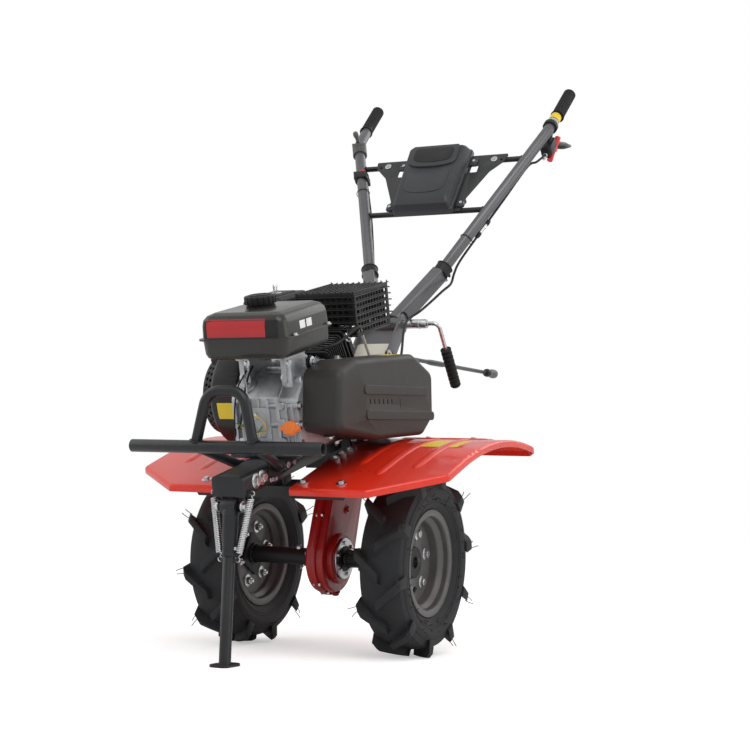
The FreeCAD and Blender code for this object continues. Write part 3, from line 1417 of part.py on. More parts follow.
# ================================================================ belt cover
def cover_outline():
    """Return the belt cover's side outline: two pulley ends joined by straight flanks."""
    return [
        (COVER_FRONT_X - COVER_CORNER_R, COVER_FRONT_TOP_Z), (COVER_CREST_X, COVER_CREST_Z),
        (COVER_HEEL_X, COVER_HEEL_Z), (COVER_REAR_X, COVER_REAR_TOP_Z),
        (COVER_REAR_X + COVER_RAKE, COVER_REAR_LOW_Z), (COVER_TAIL_X, COVER_TAIL_Z),
        (COVER_BELLY_X, COVER_BELLY_Z), (COVER_FRONT_X, COVER_FRONT_LOW_Z),
    ]


def strap_y(front, rear, half_width, y0, y1):
    """Return a round-ended bar between two (x, z) points, from y0 to y1."""
    start = V(front[0], y0, front[1])
    end = V(rear[0], y0, rear[1])
    along = (end - start).normalize()
    across = V(-along.z, 0, along.x) * half_width
    turn_in = along * half_width
    corners = [start + across - turn_in, end + across + turn_in, end - across + turn_in,
               start - across - turn_in]
    wire = rounded_wire(corners, STRAP_END_R)
    return Part.Face(wire).extrude(V(0, y1 - y0, 0))


def belt_cover():
    """Return the hollow moulded belt cover with two raised straps and a row of air slots."""
    body = prism_y(cover_outline(), COVER_INNER_Y, COVER_OUTER_Y, COVER_CORNER_R)
    rim_edges = edges_where(body, lambda b: b.YMin > COVER_OUTER_Y - 1)
    body = body.makeFillet(COVER_EDGE_R, rim_edges)
    points = [V(x, COVER_INNER_Y + COVER_WALL, z) for x, z in cover_outline()]
    inner = rounded_wire(points, COVER_CORNER_R).makeOffset2D(-COVER_WALL - COVER_EDGE_R / 3)
    depth = COVER_OUTER_Y - COVER_INNER_Y - 2 * COVER_WALL
    room = Part.Face(inner).extrude(V(0, depth, 0))
    straps = []
    for front, rear in (((STRAP_FRONT_X, STRAP_UPPER_Z), (STRAP_UPPER_REAR_X, STRAP_UPPER_REAR_Z)),
                        ((STRAP_FRONT_X, STRAP_LOWER_Z), (STRAP_LOWER_REAR_X, STRAP_LOWER_REAR_Z))):
        strap = strap_y(front, rear, STRAP_HALF_W, COVER_OUTER_Y - 1, COVER_OUTER_Y + STRAP_OUT)
        face_edges = edges_where(strap, lambda b: b.YMin > COVER_OUTER_Y + STRAP_OUT / 2)
        straps.append(strap.makeFillet(STRAP_EDGE_R, face_edges))
    slots = []
    fall = (STRAP_UPPER_REAR_Z - STRAP_UPPER_Z) / (STRAP_UPPER_REAR_X - STRAP_FRONT_X)
    for index in range(SLOT_COUNT):
        x = SLOT_FIRST_X - index * SLOT_PITCH
        z = SLOT_FIRST_Z - index * SLOT_PITCH * fall
        slots.append(box(x - SLOT_W / 2, x + SLOT_W / 2, COVER_OUTER_Y - COVER_WALL - 1,
                         COVER_OUTER_Y + 1, z - SLOT_H / 2, z + SLOT_H / 2))
    return fuse([body.cut(room)] + straps).cut(Part.makeCompound(slots))


# ================================================================ handlebar
def handle_base():
    """Return the folded bracket from the gearbox up to the handlebar's pivot."""
    foot = V(BASE_FOOT_X, 0, BASE_FOOT_Z)
    along = V(PIVOT_X, 0, PIVOT_Z) - foot
    length = along.Length
    floor = oriented_block(foot, along, V(0, 1, 0), BASE_START, length - YOKE_R - CHEEK_GAP,
                           BASE_HALF_Y, BASE_FLOOR_HALF_T)
    shapes = [floor]
    for side in (-1, 1):
        y = side * (BASE_HALF_Y - BASE_PLATE_T / 2)
        cheek = oriented_block(foot + V(0, y, 0), along, V(0, 1, 0), BASE_START, length,
                               BASE_PLATE_T / 2, BASE_CHEEK_HALF)
        eye = disc_y(PIVOT_X, PIVOT_Z, BASE_EYE_R, y - BASE_PLATE_T / 2, y + BASE_PLATE_T / 2)
        shapes += [cheek, eye]
    post = box(BASE_FOOT_X - BASE_POST_HALF_X, BASE_FOOT_X + BASE_POST_HALF_X,
               -BASE_HALF_Y, BASE_HALF_Y, BOX_TOP_Z, BOX_TOP_Z + BASE_POST_H)
    shapes.append(post.makeFillet(BOX_EDGE_R, edges_where(post, lambda b: b.ZLength > 1)))
    solid = fuse(shapes).cut(gearbox())
    return solid.cut(disc_y(PIVOT_X, PIVOT_Z, PIVOT_BOLT_R, -BASE_HALF_Y - 1, BASE_HALF_Y + 1))


def yoke_half():
    """Return half the yoke's length between the base's cheeks."""
    return BASE_HALF_Y - BASE_PLATE_T - BODY_GAP


def handle_yoke():
    """Return the cross tube that turns on the pivot bolt."""
    half = yoke_half()
    tube = disc_y(PIVOT_X, PIVOT_Z, YOKE_R, -half, half)
    bore = PIVOT_BOLT_R + PIN_GAP
    return tube.cut(disc_y(PIVOT_X, PIVOT_Z, bore, -half - 1, half + 1))


def handle_arm():
    """Return the left flat lower arm from the cross tube out to its collar."""
    start = V(PIVOT_X, ARM_ROOT_Y, PIVOT_Z)
    along = V(COLLAR_X, COLLAR_Y, COLLAR_Z) - start
    up = along.cross(V(0, 1, 0)).normalize()
    sideways = up.cross(along).normalize()
    arm = oriented_block(start, along, sideways, YOKE_R / 2, along.Length, ARM_HALF_W, ARM_HALF_H,
                         ARM_CORNER_R)
    half = yoke_half()
    cheek_sweep = disc_y(PIVOT_X, PIVOT_Z, BASE_EYE_R + CHEEK_GAP, half, half + COLLAR_Y)
    yoke = disc_y(PIVOT_X, PIVOT_Z, YOKE_R, -half, half)
    return arm.cut(cheek_sweep).cut(yoke).cut(handle_tube())


def handle_points():
    """Return the centre line of the left upper handle tube."""
    return [
        V(COLLAR_X, COLLAR_Y, COLLAR_Z), V(BEND_X, BEND_Y, BEND_Z),
        V(GRIP_TIP_X, GRIP_TIP_Y, GRIP_TIP_Z),
    ]


def handle_tube():
    """Return the left round upper tube with its bend below the grip."""
    return sweep_round(handle_points(), [TUBE_BEND_R], TUBE_R)


def handle_collar():
    """Return the plastic clamp where the left upper tube leaves its lower arm."""
    start, bend, _ = handle_points()
    along = (bend - start).normalize()
    collar = rod(start, start + along * COLLAR_LENGTH, COLLAR_R)
    collar = collar.makeFillet(COLLAR_EDGE_R, collar.Edges[:1] + collar.Edges[2:])
    return collar.cut(handle_tube()).cut(handle_arm())


def turned(start, along, profile):
    """Turn a closed (radius, distance) profile about a slanted line."""
    points = [V(radius, 0, distance) for radius, distance in profile]
    face = Part.Face(Part.makePolygon(points + points[:1]))
    solid = face.revolve(V(0, 0, 0), V(0, 0, 1), FULL_TURN)
    solid.Placement = FreeCAD.Placement(start, FreeCAD.Rotation(V(0, 0, 1), along))
    return solid


def ribbed_profile(length, core, crown, ribs, flange):
    """Return the profile of a ribbed rubber grip: base flange, ribs and closed tip."""
    pitch = length / (ribs + 1)
    quarter = pitch / 4
    profile = [(0, 0), (flange, 0), (flange, quarter)]
    for index in range(ribs):
        low = pitch * (index + 0.5)
        profile += [(core, low), (crown, low + quarter), (crown, low + pitch - quarter),
                    (core, low + pitch)]
    profile += [(crown, length - pitch * GRIP_LAST_RIB), (crown * GRIP_END_SHARE, length),
                (0, length)]
    return profile


def grip():
    """Return the left ribbed rubber grip."""
    base = V(GRIP_BASE_X, GRIP_BASE_Y, GRIP_BASE_Z)
    tip = V(GRIP_TIP_X, GRIP_TIP_Y, GRIP_TIP_Z)
    along = tip - base
    length = along.Length + GRIP_CAP
    profile = ribbed_profile(length, GRIP_R - GRIP_RIB, GRIP_R, GRIP_RIBS, GRIP_R + GRIP_RIB)
    return turned(base, along, profile).cut(handle_tube())


def tube_station(share):
    """Return a point on the left upper tube at a share of its straight run."""
    start, bend, _ = handle_points()
    return start + (bend - start) * share


def cross_bar(share):
    """Return one round bar between the handle tubes."""
    end = tube_station(share)
    bar = disc_y(end.x, end.z, CROSS_BAR_R, -end.y, end.y)
    return bar.cut(pair(handle_tube()))


def panel_axes():
    """Return the panel's origin on the lower bar, its way up, its normal and its height."""
    low = tube_station(LOWER_BAR_SHARE)
    high = tube_station(UPPER_BAR_SHARE)
    low.y = 0
    high.y = 0
    up = (high - low).normalize()
    outward = V(0, 1, 0).cross(up)
    return low, up, outward, (high - low).Length


def panel_solid(outline, depth0, depth1, radii):
    """Extrude a closed (y, height) outline on the panel between two depths."""
    low, up, outward, _ = panel_axes()
    points = [low + outward * depth0 + V(0, y, 0) + up * h for y, h in outline]
    return Part.Face(rounded_wire(points, radii)).extrude(outward * (depth1 - depth0))


def panel_plate():
    """Return the flat control panel plate on the cross bars, its wings drilled and slotted."""
    low, up, outward, height = panel_axes()
    half = [
        (PANEL_TOP_HALF, height + PANEL_OVERHANG),
        (PANEL_TOP_HALF - PANEL_FLARE, height - PANEL_OVERHANG),
        (PANEL_WING_HALF, height - PANEL_WING_DROP), (PANEL_WAIST_HALF, PANEL_WAIST_H),
        (PANEL_WAIST_HALF + PANEL_FLARE, PANEL_WAIST_H - PANEL_OVERHANG),
        (PANEL_FOOT_HALF, -CROSS_BAR_R),
    ]
    outline = half + [(-y, h) for y, h in reversed(half)]
    plate = panel_solid(outline, CROSS_BAR_R, CROSS_BAR_R + PANEL_T, PANEL_CORNER_R)
    slot_top = height - PANEL_WING_DROP / 2
    slot_foot = height - PANEL_WING_DROP
    cuts = []
    for side in (-1, 1):
        for y in (PANEL_WING_HALF, PANEL_WING_HALF + 2 * PANEL_OVERHANG):
            spot = low + up * (height - PANEL_SCREW_R * 2) + V(0, side * y, 0)
            cuts.append(rod(spot, spot + outward * PANEL_OVERHANG * 2, PANEL_SCREW_R))
        slot = [(side * PANEL_SLOT_IN, slot_top), (side * PANEL_SLOT_OUT, slot_top),
                (side * PANEL_SLOT_OUT, slot_foot), (side * PANEL_SLOT_IN, slot_foot)]
        cuts.append(panel_solid(slot, 0, CROSS_BAR_R * 2, PANEL_SCREW_R))
    return plate.cut(Part.makeCompound(cuts))


def panel_cover():
    """Return the moulded cover in the middle of the panel, crowned, with a recessed pad."""
    low, up, outward, height = panel_axes()
    base = CROSS_BAR_R + PANEL_T
    foot = -PANEL_COVER_DROP
    head = height + PANEL_COVER_RISE
    edge = PANEL_COVER_EDGE_R
    levels = ((0, 0), (PANEL_COVER_DEPTH - 2 * edge, edge / 4), (PANEL_COVER_DEPTH - edge, edge / 2),
              (PANEL_COVER_DEPTH - edge / 3, edge), (PANEL_COVER_DEPTH, 2 * edge))
    loops = []
    for depth, inset in levels:
        wide = PANEL_COVER_HALF - inset
        outline = [(-wide, foot + inset), (wide, foot + inset), (wide, head - inset),
                   (-wide, head - inset)]
        points = [low + outward * (base + depth) + V(0, y, 0) + up * h for y, h in outline]
        loops.append(rounded_wire(points, PANEL_COVER_CORNER_R))
    body = Part.makeLoft(loops, True, True)
    pad_half = PANEL_COVER_HALF - 3 * edge
    pad_low, pad_high = height * PANEL_PAD_LOW, height * PANEL_PAD_HIGH
    pad = [(-pad_half, pad_low), (pad_half, pad_low), (pad_half, pad_high),
           (-pad_half, pad_high)]
    depth = base + PANEL_COVER_DEPTH
    return body.cut(panel_solid(pad, depth - PANEL_T, depth + 1, PANEL_CORNER_R))


def clutch_lever():
    """Return the clutch perch under the left tube, with its clamp, neck and blade."""
    front = V(PERCH_FRONT_X, PERCH_Y, PERCH_FRONT_Z)
    rear = V(PERCH_REAR_X, PERCH_Y, PERCH_REAR_Z)
    perch = rod(rear, front, CLUTCH_BODY_R)
    bend = handle_points()[1]
    tip = handle_points()[2]
    along = (tip - bend).normalize()
    seat = bend + along * CLUTCH_CLAMP_W
    clamp = rod(seat, seat + along * CLUTCH_CLAMP_W, CLUTCH_CLAMP_R)
    neck = rod((front + rear) / 2, seat + along * CLUTCH_CLAMP_W / 2, CLUTCH_NECK_R)
    end = V(BLADE_TIP_X, BLADE_TIP_Y, BLADE_TIP_Z)
    middle = (rear + end) / 2 + V(0, CLUTCH_NECK_R, -CLUTCH_BLADE_R)
    blade = sweep_round([rear, middle, end], widest_radii([rear, middle, end]), CLUTCH_BLADE_R)
    return fuse([perch, clamp, neck, blade]).cut(handle_tube())


def throttle_lever():
    """Return the throttle lever and its clamp on the right tube."""
    start, bend, _ = handle_points()
    along = (bend - start).normalize()
    seat = bend - along * THROTTLE_BACK
    clamp = rod(seat - along * CLUTCH_CLAMP_W, seat + along * CLUTCH_CLAMP_W, CLUTCH_CLAMP_R)
    drum = rod(seat, seat + V(0, 0, THROTTLE_RISE), CLUTCH_CLAMP_R)
    root = seat + V(0, 0, THROTTLE_RISE - CLUTCH_BLADE_R)
    arm = rod(root, root + V(THROTTLE_REACH, -THROTTLE_SWING, THROTTLE_REACH), CLUTCH_BLADE_R)
    return mirror_y(fuse([clamp, drum, arm]).cut(handle_tube()))


def stop_switch():
    """Return the engine stop switch on the right tube."""
    start, bend, _ = handle_points()
    seat = tube_station(SWITCH_SHARE)
    body = oriented_block(seat, bend - start, V(0, 1, 0), -SWITCH_HALF, SWITCH_HALF,
                          SWITCH_HALF_H, SWITCH_HALF_H, CLUTCH_BLADE_R)
    return mirror_y(body.cut(handle_tube()))


# ================================================================ control rods and cables
def crank_lever():
    """Return the clamping bolt of the handlebar with its cranked lever."""
    reach = BASE_HALF_Y + CRANK_NUT_T
    shank = disc_y(PIVOT_X, PIVOT_Z, PIVOT_BOLT_R, -reach - PIN_GAP, reach)
    nut = disc_y(PIVOT_X, PIVOT_Z, CRANK_NUT_R, -reach, -BASE_HALF_Y)
    sleeve = disc_y(PIVOT_X, PIVOT_Z, CRANK_SLEEVE_R, BASE_HALF_Y, BASE_HALF_Y + CRANK_SLEEVE_L)
    points = crank_points()
    arm = sweep_round(points, [CRANK_BEND_R], CRANK_ROD_R)
    return fuse([shank, nut, sleeve, arm])


def crank_points():
    """Return the cranked rod's root, corner and lower end."""
    return [
        V(PIVOT_X, BASE_HALF_Y + CRANK_SLEEVE_L - CRANK_SLEEVE_R, PIVOT_Z),
        V(PIVOT_X, CRANK_ROD_Y, PIVOT_Z),
        V(PIVOT_X + CRANK_DROP_X, CRANK_ROD_Y, PIVOT_Z + CRANK_DROP_Z),
    ]


def crank_grip():
    """Return the deep-ribbed rubber grip on the cranked lever."""
    _, corner, end = crank_points()
    along = end - corner
    start = corner + along * CRANK_GRIP_SHARE
    length = along.Length * (1 - CRANK_GRIP_SHARE) + CRANK_ROD_R
    profile = ribbed_profile(length, CRANK_GRIP_CORE_R, CRANK_GRIP_R, CRANK_GRIP_RINGS,
                             CRANK_GRIP_R)
    return turned(start, along, profile).cut(crank_lever())


def gear_lever_points():
    """Return the gear change rod's root, knee and rear end."""
    y = BOX_HALF_Y + GEAR_ROD_R + CABLE_R
    return (V(GEAR_ROOT_X, y, GEAR_ROOT_Z), V(GEAR_KNEE_X, y, GEAR_KNEE_Z),
            V(GEAR_END_X, y, GEAR_END_Z))


def gear_lever():
    """Return the long gear change rod with its boss on the gearbox."""
    points = list(gear_lever_points())
    root = points[0]
    boss = disc_y(root.x, root.z, GEAR_BOSS_R, BOX_HALF_Y, root.y + GEAR_ROD_R + CABLE_R)
    return fuse([boss, sweep_round(points, [GEAR_BEND_R], GEAR_ROD_R)])


def gear_knob():
    """Return the tapered grey knob on the gear change rod."""
    _, knee, end = gear_lever_points()
    along = (end - knee).normalize()
    profile = [
        (0, 0), (KNOB_END_R, 0), (KNOB_R, KNOB_LENGTH * KNOB_WIDEST),
        (KNOB_R, KNOB_LENGTH * KNOB_SHOULDER), (KNOB_END_R, KNOB_LENGTH), (0, KNOB_LENGTH),
    ]
    start = end - along * KNOB_LENGTH * KNOB_SEAT
    return turned(start, along, profile).cut(gear_lever())


def cable(points):
    """Return a cable along a route, its corners as wide as the runs allow."""
    return sweep_round(points, widest_radii(points), CABLE_R)


def upper_route():
    """Return the left cable's route on the handlebar: perch, tube, arm and pivot."""
    start, bend, _ = handle_points()
    along = (bend - start).normalize()
    below = (V(0, 0, -1) + along * along.z).normalize()
    beside = below * (TUBE_R + CABLE_R + CABLE_GAP)
    clear = below * (COLLAR_R + CABLE_R + CABLE_COLLAR_GAP)
    arm_side = V(COLLAR_X + CABLE_ARM_AHEAD, COLLAR_Y + CABLE_ARM_OUT,
                 COLLAR_Z - CABLE_ARM_DROP)
    return [
        V(PERCH_FRONT_X, PERCH_Y, PERCH_FRONT_Z),
        V(PERCH_FRONT_X + CABLE_REACH, PERCH_Y - CABLE_R, PERCH_FRONT_Z - CABLE_R),
        tube_station(UPPER_BAR_SHARE) + beside,
        tube_station(CABLE_LOW_SHARE) + clear,
        arm_side,
        pivot_crossing(-CABLE_SPLIT),
    ]


def pivot_crossing(ahead):
    """Return the point where the left cable passes over the clamping bolt's sleeve."""
    rise = CRANK_SLEEVE_R + CABLE_R + CABLE_GAP
    return V(PIVOT_X + ahead, BASE_HALF_Y + CABLE_SIDE, PIVOT_Z + rise)


def cables_upper():
    """Return both cables on the handlebar: clutch on the left, throttle on the right."""
    left = cable(upper_route())
    route = [V(p.x, -p.y, p.z) for p in upper_route()]
    tail = handle_points()[1]
    route[0] = V(tail.x + CABLE_REACH / 2, -tail.y, tail.z - CLUTCH_CLAMP_R - CABLE_R)
    route[1] = route[2] + (route[1] - route[2]) / 2
    right = cable([route[1]] + route[2:])
    taken = fuse([clutch_lever(), handle_tube()])
    solids = [left.cut(taken), right.cut(mirror_y(handle_tube())).cut(stop_switch())]
    return Part.makeCompound([largest_solid(each) for each in solids])


def cables_lower():
    """Return both cables on the chassis: clutch to the belt cover, throttle to the engine."""
    start = pivot_crossing(CABLE_SPLIT)
    dip = start + V(CABLE_REACH * 2, 0, -CABLE_SAG)
    entry = V(COVER_HEEL_X - CABLE_ENTRY_BACK, COVER_INNER_Y + COVER_CORNER_R,
              COVER_HEEL_Z - CABLE_ENTRY_DROP)
    left = cable([start, dip, entry]).cut(belt_cover())
    opposite = V(start.x, -start.y, start.z)
    sag = opposite + V(CABLE_REACH * 2, -CABLE_R, -CABLE_R)
    tract_z = CARB_Z - CARB_TRACT_R / 2
    under = V(CLEANER_REAR_X - CLEANER_EDGE_R, CARB_RIGHT_Y + CARB_BOWL_R, tract_z)
    end = V(CARB_X - CARB_BOWL_R / 2, under.y, tract_z)
    right = cable([opposite, sag, under, end]).cut(carburettor())
    return Part.makeCompound([largest_solid(each) for each in (left, right)])


# ================================================================ assembly
def build_nodes():
    """Return every node by name, in the machine's level frame."""
    left_fender = fender()
    left_tyre = tyre()
    left_rim = rim()
    return {
        "tyre_left": left_tyre,
        "tyre_right": mirror_y(left_tyre),
        "rim_left": left_rim,
        "rim_right": mirror_y(left_rim),
        "hubs": pair(hub()),
        "output_shaft": shaft(),
        "chain_case": chain_case(),
        "shaft_caps": shaft_caps(),
        "gearbox": gearbox(),
        "front_channel": front_channel(),
        "engine_bed": engine_bed(),
        "cross_plate": cross_plate(),
        "fender_brackets": fender_brackets(),
        "hitch": hitch(),
        "fender_left": left_fender,
        "fender_right": mirror_y(left_fender),
        "bumper_bar": bumper_bar(),
        "bumper_hoop": bumper_hoop(),
        "bumper_struts": bumper_struts(),
        "stand_sleeve": stand_sleeve(),
        "stand_leg": stand_leg(),
        "stand_springs": stand_springs(),
        "crankcase": crankcase(),
        "cylinder": cylinder(),
        "cylinder_head": cylinder_head(),
        "blower_housing": blower_housing(),
        "recoil_starter": recoil_starter(),
        "fuel_tank": fuel_tank(),
        "fuel_cap": fuel_cap(),
        "tank_brackets": tank_brackets(),
        "muffler": muffler(),
        "muffler_guard": muffler_guard(),
        "air_cleaner": air_cleaner(),
        "carburettor": carburettor(),
        "dipstick": dipstick(),
        "belt_cover": belt_cover(),
        "handle_base": handle_base(),
        "crank_lever": crank_lever(),
        "crank_grip": crank_grip(),
        "gear_lever": gear_lever(),
        "gear_knob": gear_knob(),
        "cables_lower": cables_lower(),
        "handle_yoke": handle_yoke(),
        "handle_arms": pair(handle_arm()),
        "handle_tubes": pair(handle_tube()),
        "handle_collars": pair(handle_collar()),
        "grips": pair(grip()),
        "cross_bar_lower": cross_bar(LOWER_BAR_SHARE),
        "cross_bar_upper": cross_bar(UPPER_BAR_SHARE),
        "panel_plate": panel_plate(),
        "panel_cover": panel_cover(),
        "clutch_lever": clutch_lever(),
        "throttle_lever": throttle_lever(),
        "stop_switch": stop_switch(),
        "cables_upper": cables_upper(),
    }


def park(nodes):
    """Pitch the machine onto its stand and centre its footprint on the origin."""
    pitch = FreeCAD.Rotation(V(0, 1, 0), PARK_PITCH)
    matrix = FreeCAD.Placement(V(0, 0, LUG_TIP_R), pitch).toMatrix()
    parked = {name: shape.copy() for name, shape in nodes.items()}
    for shape in parked.values():
        shape.transformShape(matrix)
    whole = Part.makeCompound(list(parked.values())).optimalBoundingBox(False)
    centre = V((whole.XMin + whole.XMax) / 2, (whole.YMin + whole.YMax) / 2, 0)
    for shape in parked.values():
        shape.translate(centre * -1)
    return parked, centre


def main():
    """Write one STEP file for each node."""
    os.makedirs("parts", exist_ok=True)
    parked, centre = park(build_nodes())
    print("axle at x", round(-centre.x, 4), "z", LUG_TIP_R)
    for name, shape in parked.items():
        shape.exportStep(os.path.join("parts", name + ".step"))


main()
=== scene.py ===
import json
import logging
import math
import random
from dataclasses import dataclass, field
from enum import Enum, IntEnum
from typing import Iterable, Sequence

import bmesh
import bpy
from mathutils import Matrix, Vector
from mathutils.bvhtree import BVHTree


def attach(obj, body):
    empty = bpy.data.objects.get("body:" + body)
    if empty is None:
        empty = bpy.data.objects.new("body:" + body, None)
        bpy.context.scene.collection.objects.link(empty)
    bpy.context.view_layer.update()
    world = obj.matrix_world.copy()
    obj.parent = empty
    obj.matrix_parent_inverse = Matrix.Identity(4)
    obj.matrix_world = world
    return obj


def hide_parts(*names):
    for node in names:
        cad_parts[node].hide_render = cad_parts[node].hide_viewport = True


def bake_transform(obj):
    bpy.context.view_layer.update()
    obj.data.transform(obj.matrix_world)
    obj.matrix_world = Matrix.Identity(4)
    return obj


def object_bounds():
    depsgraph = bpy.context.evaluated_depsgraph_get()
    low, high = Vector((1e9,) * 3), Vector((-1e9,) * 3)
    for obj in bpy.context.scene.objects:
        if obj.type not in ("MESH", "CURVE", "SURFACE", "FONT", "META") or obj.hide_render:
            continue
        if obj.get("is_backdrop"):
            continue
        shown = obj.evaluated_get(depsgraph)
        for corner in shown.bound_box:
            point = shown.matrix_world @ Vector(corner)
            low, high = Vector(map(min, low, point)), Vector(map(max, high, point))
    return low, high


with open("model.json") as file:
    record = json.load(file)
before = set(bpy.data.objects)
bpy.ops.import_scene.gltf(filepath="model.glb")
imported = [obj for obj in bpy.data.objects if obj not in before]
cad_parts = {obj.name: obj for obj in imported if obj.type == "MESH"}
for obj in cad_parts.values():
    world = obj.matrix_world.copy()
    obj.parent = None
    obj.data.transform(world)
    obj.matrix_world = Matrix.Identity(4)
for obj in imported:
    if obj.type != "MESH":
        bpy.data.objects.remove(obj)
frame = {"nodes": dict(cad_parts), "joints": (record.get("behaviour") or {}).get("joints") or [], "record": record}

LOG = logging.getLogger("tiller")
MM = 0.001
Colour = tuple[float, float, float]
Point = tuple[float, float, float]
Pair = tuple[float, float]
Spot = Point | Vector
Piece = bpy.types.Object
Tree = bpy.types.ShaderNodeTree
Node = bpy.types.Node
Socket = bpy.types.NodeSocket
AHEAD = Vector((1, 0, 0)).freeze()
LEFT = Vector((0, 1, 0)).freeze()
UPWARD = Vector((0, 0, 1)).freeze()


# ------------------------------------------------------------------ stance and CAD sizes
@dataclass(frozen=True)
class Stance:
    """The parked pose: the machine's level frame, in mm, pitched about its axle.

    In the level frame x runs forward, y to the machine's left and z up from the axle.
    """

    pitch: float = math.radians(15.5)

    @property
    def axle(self) -> Vector:
        """Return the axle's centre in metres."""
        joint = next(j for j in frame["joints"] if j["name"] == "wheels_turn")
        return Vector(joint["pos_m"])

    @property
    def matrix(self) -> Matrix:
        """Return the matrix from level millimetres to parked metres."""
        turn = Matrix.Rotation(self.pitch, 4, "Y")
        return Matrix.Translation(self.axle) @ turn @ Matrix.Diagonal((MM, MM, MM, 1.0))

    def metres(self, point: Sequence[float]) -> Vector:
        """Return a level point, in mm, as a parked point in metres."""
        return self.matrix @ Vector(point)

    def box(self, node: str) -> tuple[Vector, Vector]:
        """Measure a CAD node in the level frame.

        Args:
            node: The CAD node's name.

        Returns:
            Its lowest and highest corner, in mm.
        """
        back = self.matrix.inverted()
        corners = [back @ vertex.co for vertex in frame["nodes"][node].data.vertices]
        low = Vector([min(c[i] for c in corners) for i in range(3)])
        high = Vector([max(c[i] for c in corners) for i in range(3)])
        return low, high


STANCE = Stance()


# ------------------------------------------------------------------ shader node groups
class Effect(Enum):
    """Names of the shader groups that several finishes share."""

    MOTTLE = "Mottle"
    GRAIN = "Grain"
    EDGE_WEAR = "Edge wear"
    DUST = "Dust"
    STREAK = "Streak"


